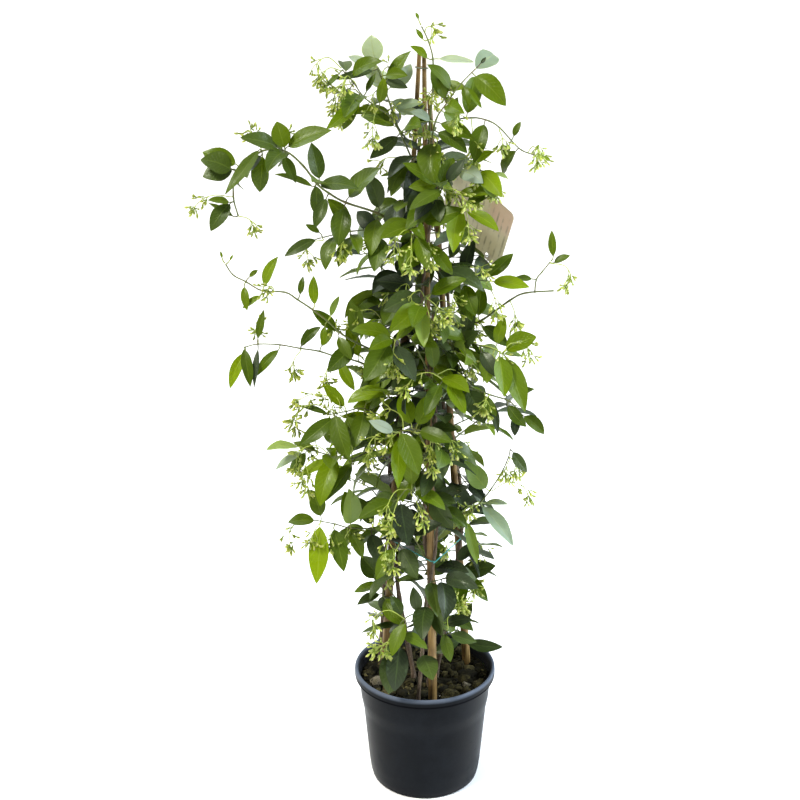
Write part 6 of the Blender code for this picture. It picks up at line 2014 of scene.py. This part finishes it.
def fine_soil(paints, dice):
    """The soil with loose chips of bark, a few pale clods and grit on top."""
    body = soil_body()
    numbers = [0] * len(body.faces)

    def keep(lump, number):
        points, faces = lump
        ids = body.add(points)
        for face in faces:
            body.put(ids[k] for k in face)
        numbers.extend([number] * len(faces))

    stems = [(c, r) for c, _, r in soil_holes()]
    for i in range(CHIPS + CLODS):
        a = dice.uniform(0.0, math.tau)
        radius = SOIL_EDGE_RADIUS * math.sqrt(dice.uniform(0.0, CHIP_SPREAD))
        x = radius * math.cos(a)
        y = radius * math.sin(a)
        if any(math.hypot(c.x - x, c.y - y) < r + CHIP_CLEAR for c, r in stems):
            continue
        big = i >= CHIPS
        size = dice.uniform(*CLOD_SIZE) if big else dice.uniform(*CHIP_SIZE) * dice.uniform(0.5, 1.0)
        if radius + size > SOIL_EDGE_RADIUS:
            continue
        lift = soil_height(x, y) + bank(x, y) + size * (CLOD_LIFT if big else CHIP_LIFT)
        keep(clod(Vector((x, y, lift)), size, dice), dice.choice(CHIP_PAINTS))
    for (x, y, size), number in SOIL_MARKS:
        middle = Vector((x, y, soil_height(x, y) + bank(x, y) + size * MARK_LIFT))
        for _ in range(MARK_LUMPS):
            spread = Vector((dice.uniform(-1, 1), dice.uniform(-1, 1), dice.uniform(-0.2, 0.7)))
            place = middle + spread * size * MARK_SPREAD
            keep(clod(place, size * MARK_LUMP_SIZE, dice, MARK_ROUGH), number)
    return plain_object("soil_bed", body.points, list(body.faces.values()), paints, numbers, 60.0)


def fine_cane(name, paint, dice):
    """A round bamboo cane with a raised ring at each knot, a little crooked."""
    top = CANES[name][1]
    low = SOIL_LEVEL - HOLE_DEPTH + GAP
    heights = list(np.linspace(low, top[2], CANE_FINE_RINGS))
    knots = [SOIL_LEVEL + (top[2] - SOIL_LEVEL) * share for share in CANE_KNOTS]
    for knot in knots:
        heights += [knot + step for step in KNOT_STEPS]
    heights = sorted(h for h in heights if h <= top[2])
    phase = dice.uniform(0.0, 9.0)
    rings = []
    along = []
    for height in heights:
        centre, radius = cane_at(name, height)
        swell = 1.0
        for knot in knots:
            gap = height - knot
            swell += KNOT_RISE * math.exp(-(gap / KNOT_TALL) ** 2)
            swell -= GROOVE_DEEP * math.exp(-((gap - GROOVE_ABOVE) / GROOVE_TALL) ** 2)
        sway = CANE_SWAY * noise.noise(Vector((height / CANE_SWAY_LENGTH, phase, 0.0)))
        ring = []
        for i in range(CANE_FINE_SIDES):
            a = math.tau * i / CANE_FINE_SIDES
            spot = Vector((math.cos(a) * 2, math.sin(a) * 2, height / CANE_RIDGE_LENGTH + phase))
            reach = radius * swell * (1.0 + CANE_RIDGE * noise.noise(spot))
            ring.append((centre.x + sway + reach * math.cos(a), centre.y + reach * math.sin(a), height))
        rings.append(ring)
        near = min(abs(height - knot) for knot in knots)
        along.append(math.exp(-(near / KNOT_STAIN) ** 2))
    fine = Fine()
    fine.skin(np.array(rings), 0, 0.0, dice.random(), along=np.repeat(np.array(along), CANE_FINE_SIDES))
    return fine.make(name + "_round", [paint])


def fine_string(name, path, radius, paint):
    """A round string that closes on itself."""
    rows = [np.array(p) for p in path]
    loop = smooth_path([rows[-1]] + rows + rows[:2], 2)[2:-2]
    turns = [math.tau * k / STRING_FINE_SIDES for k in range(STRING_FINE_SIDES)]
    body = Body()
    rings = []
    up = UP
    for i, centre in enumerate(loop):
        heading = Vector(loop[(i + 1) % len(loop)] - loop[i - 1]).normalized()
        up = across(heading, up)
        side = up.cross(heading)
        ring = [Vector(centre) + (side * math.cos(a) + up * math.sin(a)) * radius for a in turns]
        rings.append(body.add(ring))
    for low, high in zip(rings, rings[1:] + rings[:1]):
        band(body, low, high)
    return plain_object(name, body.points, list(body.faces.values()), [paint])


def fine_tag(paints):
    """The tag as a bowed card, with the place of each point on the card for its print."""
    body, flat, printed = card_body(corner_steps=8, hole_sides=20, rows=11, columns=11, hole_margin=1.5)
    obj = plain_object("tag_card", body.points, list(body.faces.values()), paints,
                       [0 if i < printed else 1 for i in range(len(body.faces))])
    spots = np.array([[p[0] / TAG_SIZE[0] + 0.5, p[1] / TAG_SIZE[1] + 0.5] for p in flat + flat], np.float32)
    corners = np.zeros(len(obj.data.loops), np.int32)
    obj.data.loops.foreach_get("vertex_index", corners)
    obj.data.uv_layers.new(name="card").data.foreach_set("uv", spots[corners].ravel())
    return obj


# Materials

# Heights in metres between which the rim's top is painted a paler blue, a painted sheen, and those of its
# underside.
POT_RIM_SHEEN_LOW = 0.167
POT_RIM_SHEEN_HIGH = 0.1728
POT_UNDER_LOW = 0.1597
POT_UNDER_HIGH = 0.1628
CARD_ROWS = 13.0
# Tone of a leaf from old to pale, as a share, and its colour: in its dark parts, its light parts, along its
# veins and underneath. The pale end is a painted sky reflection.
LEAF_STOPS = ((0.0, (0.013, 0.021, 0.009)), (0.33, (0.060, 0.110, 0.0025)), (0.67, (0.145, 0.235, 0.003)),
              (1.0, (0.21, 0.29, 0.22)))
LEAF_LIT_STOPS = ((0.0, (0.04, 0.058, 0.026)), (0.33, (0.115, 0.180, 0.0036)), (0.67, (0.235, 0.34, 0.0055)),
                  (1.0, (0.42, 0.52, 0.50)))
LEAF_VEIN_STOPS = ((0.0, (0.06, 0.10, 0.03)), (0.33, (0.2, 0.28, 0.03)), (0.67, (0.34, 0.44, 0.05)),
                   (1.0, (0.34, 0.4, 0.24)))
LEAF_UNDER_STOPS = ((0.0, (0.06, 0.10, 0.045)), (0.33, (0.16, 0.22, 0.045)), (0.67, (0.25, 0.34, 0.04)),
                    (1.0, (0.27, 0.34, 0.2)))


class Paint:
    """A material, or the sky, with short ways to add and join its nodes."""

    def __init__(self, name, kind="Material"):
        self.made = (bpy.data.worlds if kind == "World" else bpy.data.materials).new(name)
        self.made.use_nodes = True
        self.tree = self.made.node_tree
        self.tree.nodes.clear()
        self.output = self.tree.nodes.new("ShaderNodeOutput" + kind)

    def add(self, kind, inputs=None, **settings):
        """A node. An input is a constant or another node's socket."""
        node = self.tree.nodes.new("ShaderNode" + kind)
        for key, value in settings.items():
            setattr(node, key, value)
        for key, value in (inputs or {}).items():
            if isinstance(value, bpy.types.NodeSocket):
                self.tree.links.new(value, node.inputs[key])
            else:
                node.inputs[key].default_value = value
        return node

    def math(self, operation, a, b=0.0):
        return self.add("Math", {0: a, 1: b}, operation=operation).outputs[0]

    def times(self, a, b):
        return self.math("MULTIPLY", a, b)

    def plus(self, a, b):
        return self.math("ADD", a, b)

    def off_middle(self, value):
        """How far a value from 0 to 1 is from a half."""
        return self.math("ABSOLUTE", self.math("SUBTRACT", value, 0.5))

    def between(self, value, low, high, start=0.0, end=1.0):
        """A smooth step from low to high."""
        made = self.add("MapRange", {"Value": value, "From Min": low, "From Max": high, "To Min": start,
                                     "To Max": end}, interpolation_type="SMOOTHSTEP")
        return made.outputs["Result"]

    def mark(self, key):
        return self.add("Attribute", attribute_name=key).outputs["Fac"]

    def where(self):
        return self.add("TexCoord").outputs["Object"]

    def stretched(self, tall):
        """The place with its height scaled, below 1 for marks that run up the piece."""
        return self.add("Mapping", {"Vector": self.where(), "Scale": (1.0, 1.0, tall)}).outputs[0]

    def spot(self, layer):
        """The two numbers of a point in this layer."""
        return self.add("SeparateXYZ", {0: self.add("UVMap", uv_map=layer).outputs[0]}).outputs

    def noise(self, scale, detail=3.0, place=None, roughness=0.5):
        made = self.add("TexNoise", {"Scale": scale, "Detail": detail, "Roughness": roughness,
                                     "Vector": place or self.where()})
        return made.outputs["Fac"]

    def ramp(self, value, stops):
        made = self.add("ValToRGB", {"Fac": value})
        ramp = made.color_ramp
        while len(ramp.elements) < len(stops):
            ramp.elements.new(0.5)
        for element, (place, colour) in zip(ramp.elements, stops):
            element.position = place
            element.color = (*colour, 1.0)
        return made.outputs["Color"]

    def mix(self, share, a, b, blend="MIX"):
        made = self.add("Mix", {"Factor": share}, data_type="RGBA", blend_type=blend)
        for key, value in ((6, a), (7, b)):
            if isinstance(value, bpy.types.NodeSocket):
                self.tree.links.new(value, made.inputs[key])
            else:
                made.inputs[key].default_value = (*value, 1.0)
        return made.outputs[2]

    def bump(self, height, strength, distance):
        made = self.add("Bump", {"Height": height, "Strength": strength, "Distance": distance})
        return made.outputs["Normal"]

    def show(self, shader):
        self.tree.links.new(shader.outputs[0], self.output.inputs["Surface"])
        return shader

    def blend(self, share, first, second):
        """Shows the second shader over the first by this share."""
        self.show(self.add("MixShader", {0: share, 1: first.outputs[0], 2: second.outputs[0]}))

    def surface(self, **inputs):
        named = {key.replace("_", " "): value for key, value in inputs.items()}
        return self.show(self.add("BsdfPrincipled", named))


def leaf_paint():
    """Waxy leaves with rib, veins and a pale underside, from dark old ones to bright young ones and pale ones
    with a painted sky reflection.
    """
    paint = Paint("leaf_blade")
    uv = paint.spot("blade")
    over = paint.times(paint.off_middle(uv[0]), 2.0)
    along = uv[1]
    tone = paint.math("DIVIDE", paint.mark("tone"), 3.0)
    shade = paint.mark("shade")
    under = paint.mark("under")
    colour = paint.ramp(tone, LEAF_STOPS)
    patches = paint.noise(55.0, 4.0)
    shift = paint.plus(paint.times(shade, 0.75), paint.times(patches, 0.5))
    colour = paint.mix(paint.between(shift, 0.1, 1.1), colour, paint.ramp(tone, LEAF_LIT_STOPS))
    rib = paint.between(over, 0.085, 0.02)
    # Side veins curve forward from the rib.
    lift = paint.times(paint.math("POWER", over, 0.8), 2.6)
    wave = paint.math("FRACT", paint.math("SUBTRACT", paint.times(along, 9.0), lift))
    gap = paint.off_middle(wave)
    vein = paint.times(paint.between(gap, 0.10, 0.02), paint.between(over, 1.0, 0.6))
    line = paint.math("MAXIMUM", paint.times(rib, 0.45), paint.times(vein, 0.2))
    colour = paint.mix(line, colour, paint.ramp(tone, LEAF_VEIN_STOPS))
    colour = paint.mix(paint.times(under, 0.62), colour, paint.ramp(tone, LEAF_UNDER_STOPS))
    relief = paint.plus(paint.times(paint.math("MAXIMUM", rib, vein), -0.7),
                        paint.noise(260.0, 2.0))
    rough = paint.plus(paint.times(under, 0.2),
                       paint.between(paint.noise(30.0, 2.0), 0.3, 0.7, 0.25, 0.42))
    bump = paint.bump(relief, 0.35, 0.0006)
    shader = paint.surface(Base_Color=colour, Roughness=rough, Normal=bump, Specular_IOR_Level=0.28,
                           Specular_Tint=(0.94, 1.0, 0.84, 1.0))
    glow = paint.mix(1.0, colour, (2.2, 1.8, 0.35), "MULTIPLY")
    through = paint.add("BsdfTranslucent", {"Color": glow, "Normal": bump})
    share = paint.between(tone, 0.0, 0.55, 0.10, 0.42)
    paint.blend(share, shader, through)
    return paint.made


def stem_paint():
    """Green stems and stalks, browner where they are old, pale on bud stalks."""
    paint = Paint("green_stem")
    tone = paint.math("DIVIDE", paint.mark("tone"), 3.0)
    colour = paint.ramp(tone, ((0.0, (0.045, 0.045, 0.016)), (0.33, (0.085, 0.11, 0.018)),
                               (0.67, (0.33, 0.41, 0.055)), (1.0, (0.26, 0.32, 0.10))))
    patch = paint.between(paint.noise(90.0, 3.0), 0.5, 0.72)
    colour = paint.mix(paint.times(patch, 0.5), colour, (0.15, 0.085, 0.035))
    bump = paint.bump(paint.noise(700.0, 2.0), 0.25, 0.0004)
    paint.surface(Base_Color=colour, Roughness=0.5, Normal=bump)
    return paint.made


def bark_paint():
    """Woody vine: grey-brown with long cracks and pale pores."""
    paint = Paint("vine_bark")
    grain = paint.noise(420.0, 5.0, paint.stretched(0.22), 0.65)
    colour = paint.ramp(grain, ((0.25, (0.035, 0.022, 0.014)), (0.5, (0.10, 0.066, 0.04)),
                                (0.75, (0.2, 0.15, 0.095))))
    pores = paint.between(paint.noise(900.0, 1.0), 0.64, 0.72)
    colour = paint.mix(paint.times(pores, 0.5), colour, (0.28, 0.23, 0.17))
    paint.surface(Base_Color=colour, Roughness=0.85, Normal=paint.bump(grain, 0.8, 0.001))
    return paint.made


def bud_paint():
    """Bud from its pale green stalk over the green calyx to a yellow-green tube and a whitish tip."""
    paint = Paint("flower_bud")
    uv = paint.spot("blade")
    colour = paint.ramp(uv[1], ((0.0, (0.26, 0.34, 0.035)), (0.3, (0.2, 0.29, 0.02)),
                                (0.42, (0.3, 0.40, 0.03)), (0.62, (0.50, 0.58, 0.07)),
                                (0.88, (0.62, 0.64, 0.17)), (1.0, (0.66, 0.62, 0.28))))
    shade = paint.mark("shade")
    colour = paint.mix(paint.between(shade, 0.0, 1.0, 0.0, 0.7), colour, (0.18, 0.25, 0.012))
    bump = paint.bump(paint.noise(800.0, 2.0), 0.2, 0.0004)
    shader = paint.surface(Base_Color=colour, Roughness=0.45, Normal=bump)
    through = paint.add("BsdfTranslucent", {"Color": colour})
    paint.blend(0.25, shader, through)
    return paint.made


def pot_paint(name, base, dusty):
    """Moulded blue-black plastic: satin, with dust, faint scuffs, fine turning marks and a painted sheen on
    the top of the rim.
    """
    paint = Paint(name)
    place = paint.where()
    dust = paint.between(paint.noise(16.0, 6.0, place, 0.7), 0.42, 0.75)
    height = paint.add("SeparateXYZ", {0: place}).outputs[2]
    low = paint.between(height, 0.05, 0.0, 0.0, 0.35)
    colour = paint.mix(paint.times(paint.plus(dust, low), 0.3), base, dusty)
    # Painted sheen: the top of the rim is painted a paler blue.
    rim_sheen = paint.between(height, POT_RIM_SHEEN_LOW, POT_RIM_SHEEN_HIGH)
    colour = paint.mix(rim_sheen, colour, (0.082, 0.098, 0.130))
    # The underside of the rim is matt.
    open_side = paint.math("MAXIMUM", paint.between(height, POT_UNDER_HIGH, POT_UNDER_HIGH + 0.002),
                           paint.between(height, POT_UNDER_LOW, POT_UNDER_LOW - 0.0015))
    shine = paint.times(open_side, 0.07)
    rows = paint.math("SINE", paint.times(height, 5200.0))
    relief = paint.plus(paint.times(rows, 0.05), paint.noise(420.0, 3.0, place))
    scuff = paint.between(paint.noise(60.0, 5.0, paint.stretched(3.5), 0.7), 0.62, 0.7)
    rough = paint.plus(paint.between(dust, 0.0, 1.0, 0.36, 0.52), paint.times(scuff, 0.12))
    paint.surface(Base_Color=colour, Roughness=rough, Normal=paint.bump(relief, 0.18, 0.0004),
                  Specular_IOR_Level=shine, Specular_Tint=(0.72, 0.85, 1.0, 1.0))
    return paint.made


def soil_paint(name, dark, light, scale):
    """Earth or bark of two shades, dull and grainy."""
    paint = Paint(name)
    grain = paint.noise(scale, 6.0, roughness=0.7)
    colour = paint.mix(paint.between(grain, 0.35, 0.7), dark, light)
    bump = paint.bump(paint.noise(scale * 3.0, 5.0, roughness=0.7), 0.9, 0.0012)
    paint.surface(Base_Color=colour, Roughness=0.95, Normal=bump, Specular_IOR_Level=0.12)
    return paint.made


def cane_paint():
    """Bamboo: orange-tan with long streaks, brown round the knots and mottled with age."""
    paint = Paint("bamboo_cane")
    uv = paint.spot("blade")
    streaks = paint.noise(260.0, 4.0, paint.stretched(0.05))
    blots = paint.noise(22.0, 5.0, roughness=0.65)
    colour = paint.ramp(streaks, ((0.3, (0.11, 0.068, 0.024)), (0.52, (0.23, 0.14, 0.046)),
                                  (0.75, (0.40, 0.27, 0.10))))
    colour = paint.mix(paint.between(blots, 0.45, 0.7, 0.0, 0.8), colour, (0.075, 0.046, 0.02))
    colour = paint.mix(paint.times(uv[1], 0.75), colour, (0.08, 0.048, 0.022))
    rough = paint.between(blots, 0.3, 0.7, 0.42, 0.7)
    paint.surface(Base_Color=colour, Roughness=rough, Normal=paint.bump(streaks, 0.35, 0.0005),
                  Specular_IOR_Level=0.25)
    return paint.made


def string_paint(name, dark, light):
    """Twisted plastic string of two shades."""
    paint = Paint(name)
    twist = paint.add("TexWave", {"Vector": paint.where(), "Scale": 420.0, "Distortion": 1.0},
                      bands_direction="DIAGONAL").outputs["Fac"]
    colour = paint.mix(twist, dark, light)
    paint.surface(Base_Color=colour, Roughness=0.5, Normal=paint.bump(twist, 0.6, 0.0004))
    return paint.made


def card_paint(name, printed):
    """Laminated card. Its face is an olive beige with a plain pink field and faint ruled lines, its back bare
    and painted darker, a painted shade."""
    paint = Paint(name)
    grain = paint.noise(35.0, 5.0, roughness=0.6)
    colour = paint.mix(paint.between(grain, 0.35, 0.7), (0.71, 0.64, 0.46), (0.80, 0.74, 0.58))
    if printed:
        along, over = paint.spot("card")[:2]
        field = paint.times(paint.between(along, 0.62, 0.74), paint.between(over, 0.5, 0.72))
        colour = paint.mix(paint.times(field, 0.5), colour, (0.68, 0.38, 0.32))
        rows = paint.math("FRACT", paint.times(along, CARD_ROWS))
        line = paint.between(paint.off_middle(rows), 0.2, 0.08)
        inside = paint.times(paint.between(over, 0.08, 0.16), paint.between(over, 0.92, 0.8))
        worn = paint.between(paint.noise(60.0, 4.0), 0.4, 0.6)
        line = paint.times(paint.times(line, inside), worn)
        colour = paint.mix(paint.times(line, 0.55), colour, (0.18, 0.15, 0.09))
    through = paint.add("BsdfTranslucent", {"Color": colour})
    # Painted shade: the back's colour is multiplied down to about a quarter.
    if not printed:
        colour = paint.mix(1.0, colour, (0.27, 0.245, 0.21), "MULTIPLY")
    shader = paint.surface(Base_Color=colour, Roughness=0.4, Normal=paint.bump(grain, 0.1, 0.0005))
    paint.blend(0.35, shader, through)
    return paint.made


# Camera, lights and floor

SIGHT_FOCAL = 1353.5
PICTURE_SIDE = 800.0
SENSOR = 36.0
# The picture is framed so that the eye's axis meets it right of its middle.
AXIS_PIXEL_X = 424.8

# In metres from here on. All lights look at the middle of the plant.
LIT_POINT = Vector((0.0, 0.0, 0.55))
# Kind, name, place, size (degrees for the sun, metres for a disk), strength and colour. The first disk is
# behind the plant on the left, the second on its right.
LIGHTS = (
    ("SUN", "key", (-1.6, -1.3, 3.2), 13.0, 3.7, (1.0, 0.97, 0.89)),
    ("AREA", "rim_left", (-1.3, 1.3, 2.6), 1.0, 26.0, (0.88, 0.95, 1.0)),
    ("AREA", "rim_right", (1.7, 0.0, 1.2), 1.4, 66.0, (0.78, 0.89, 1.0)),
)
FLOOR_HALF = 30.0
FLOOR_DROP = -0.0002


def add_camera():
    data = bpy.data.cameras.new("view")
    data.sensor_width = SENSOR
    data.lens = SIGHT_FOCAL / PICTURE_SIDE * SENSOR
    data.shift_x = (PICTURE_SIDE / 2 - AXIS_PIXEL_X) / PICTURE_SIDE
    data.clip_start = 0.05
    camera = bpy.data.objects.new("view", data)
    camera.location = EYE * MM
    camera.rotation_euler = (math.pi / 2 - SIGHT_PITCH, 0.0, 0.0)
    bpy.context.scene.collection.objects.link(camera)
    bpy.context.scene.camera = camera


def add_light(kind, name, place, size, strength, colour):
    """A soft light at a place in metres that looks at the middle of the plant."""
    data = bpy.data.lights.new(name, kind)
    if kind == "SUN":
        data.angle = math.radians(size)
    else:
        data.shape = "DISK"
        data.size = size
    data.energy = strength
    data.color = colour
    light = bpy.data.objects.new(name, data)
    light.location = place
    light.rotation_euler = (LIT_POINT - Vector(place)).to_track_quat("-Z", "Y").to_euler()
    bpy.context.scene.collection.objects.link(light)


def add_sky():
    """White behind the object. What lights it and shines in it is bright above and behind, dim in front."""
    sky = Paint("sky", "World")
    way = sky.add("SeparateXYZ", {0: sky.add("TexCoord").outputs["Generated"]}).outputs
    above = sky.between(way["Z"], -0.1, 0.9, 0.10, 0.62)
    behind = sky.between(way["Y"], -0.3, 0.8, 0.0, 0.5)
    soft = sky.add("Background", {"Color": (0.97, 0.99, 1.0, 1.0), "Strength": sky.plus(above, behind)})
    plain = sky.add("Background", {"Color": (1.0, 1.0, 1.0, 1.0), "Strength": 1.02})
    sky.blend(sky.add("LightPath").outputs["Is Camera Ray"], soft, plain)
    bpy.context.scene.world = sky.made


def add_floor():
    paint = Paint("pale_floor")
    paint.surface(Base_Color=(0.95, 0.95, 0.95, 1.0), Roughness=0.9, Specular_IOR_Level=0.1)
    corners = [(x * FLOOR_HALF, y * FLOOR_HALF, 0.0) for x, y in ((-1, -1), (1, -1), (1, 1), (-1, 1))]
    mesh = bpy.data.meshes.new("floor")
    mesh.from_pydata(corners, [], [(0, 1, 2, 3)])
    mesh.materials.append(paint.made)
    floor = bpy.data.objects.new("floor", mesh)
    floor.location.z = FLOOR_DROP
    bpy.context.scene.collection.objects.link(floor)


def add_stage():
    """A wide pale floor, the sky, a soft sun from the upper left and two soft lights."""
    add_floor()
    add_sky()
    for light in LIGHTS:
        add_light(*light)
    bpy.context.scene.view_settings.view_transform = "Standard"
    bpy.context.scene.view_settings.look = "None"


def dress(obj, slot, *nodes):
    """The piece rides on the one body and stands for its nodes. The slot argument is not used."""
    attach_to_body(obj, "root")
    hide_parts(*nodes)


def main():
    add_camera()
    add_stage()
    dice = random.Random(SEED + 1)
    pots = [pot_paint("pot_moulded_plastic", (0.0038, 0.0040, 0.0050), (0.014, 0.017, 0.022)),
            pot_paint("pot_dusty_inside", (0.020, 0.021, 0.023), (0.075, 0.070, 0.058))]
    teal = string_paint("teal_string", (0.02, 0.22, 0.21), (0.06, 0.46, 0.42))
    dull = string_paint("dull_string", (0.05, 0.06, 0.025), (0.12, 0.14, 0.06))
    cane = cane_paint()
    leaves = [bark_paint(), stem_paint(), leaf_paint(), bud_paint()]
    soils = [
        soil_paint("soil_dark", (0.0035, 0.0032, 0.0014), (0.017, 0.015, 0.006), 110.0),
        soil_paint("soil_bark", (0.007, 0.006, 0.0022), (0.050, 0.042, 0.015), 180.0),
        soil_paint("soil_brown", (0.015, 0.013, 0.005), (0.102, 0.086, 0.034), 150.0),
        soil_paint("soil_pale", (0.07, 0.062, 0.04), (0.18, 0.157, 0.112), 150.0),
        soil_paint("soil_grit", (0.55, 0.53, 0.5), (0.8, 0.79, 0.77), 150.0),
    ]
    dress(fine_pot(pots), "pot_plastic", "pot")
    dress(fine_soil(soils, dice), "soil", "soil")
    for name in CANES:
        dress(fine_cane(name, cane, dice), "cane", name)
    dress(fine_string("tie_low_string", tie_path("tie_low"), TIE_RADIUS, teal), "tie_string", "tie_low")
    dress(fine_string("tie_top_string", tie_path("tie_top"), TIE_RADIUS, dull), "tie_string", "tie_top")
    dress(fine_string("tag_loop", tag_string_path(), TAG_STRING_RADIUS, dull), "tie_string", "tag_string")
    dress(fine_tag([card_paint("tag_face", True), card_paint("tag_back", False)]), "tag_card", "tag")
    stems, crowd = grow_plant()
    for name, stem in stems.items():
        kind = "vine" if name in VINES else "spray" if name in SPRAYS else "shoot"
        dice = random.Random(name)
        fine = fine_stem(stem, kind, dice)
        if kind == "vine":
            add_fill(fine, name, crowd, dice)
        if name in MORE_GROWTH:
            add_more(fine, stem, *MORE_GROWTH[name], crowd, dice)
        slot = {"vine": "old_foliage", "shoot": "foliage", "spray": "buds"}[kind]
        dress(fine.make(name + "_grown", leaves), slot, name)


main()
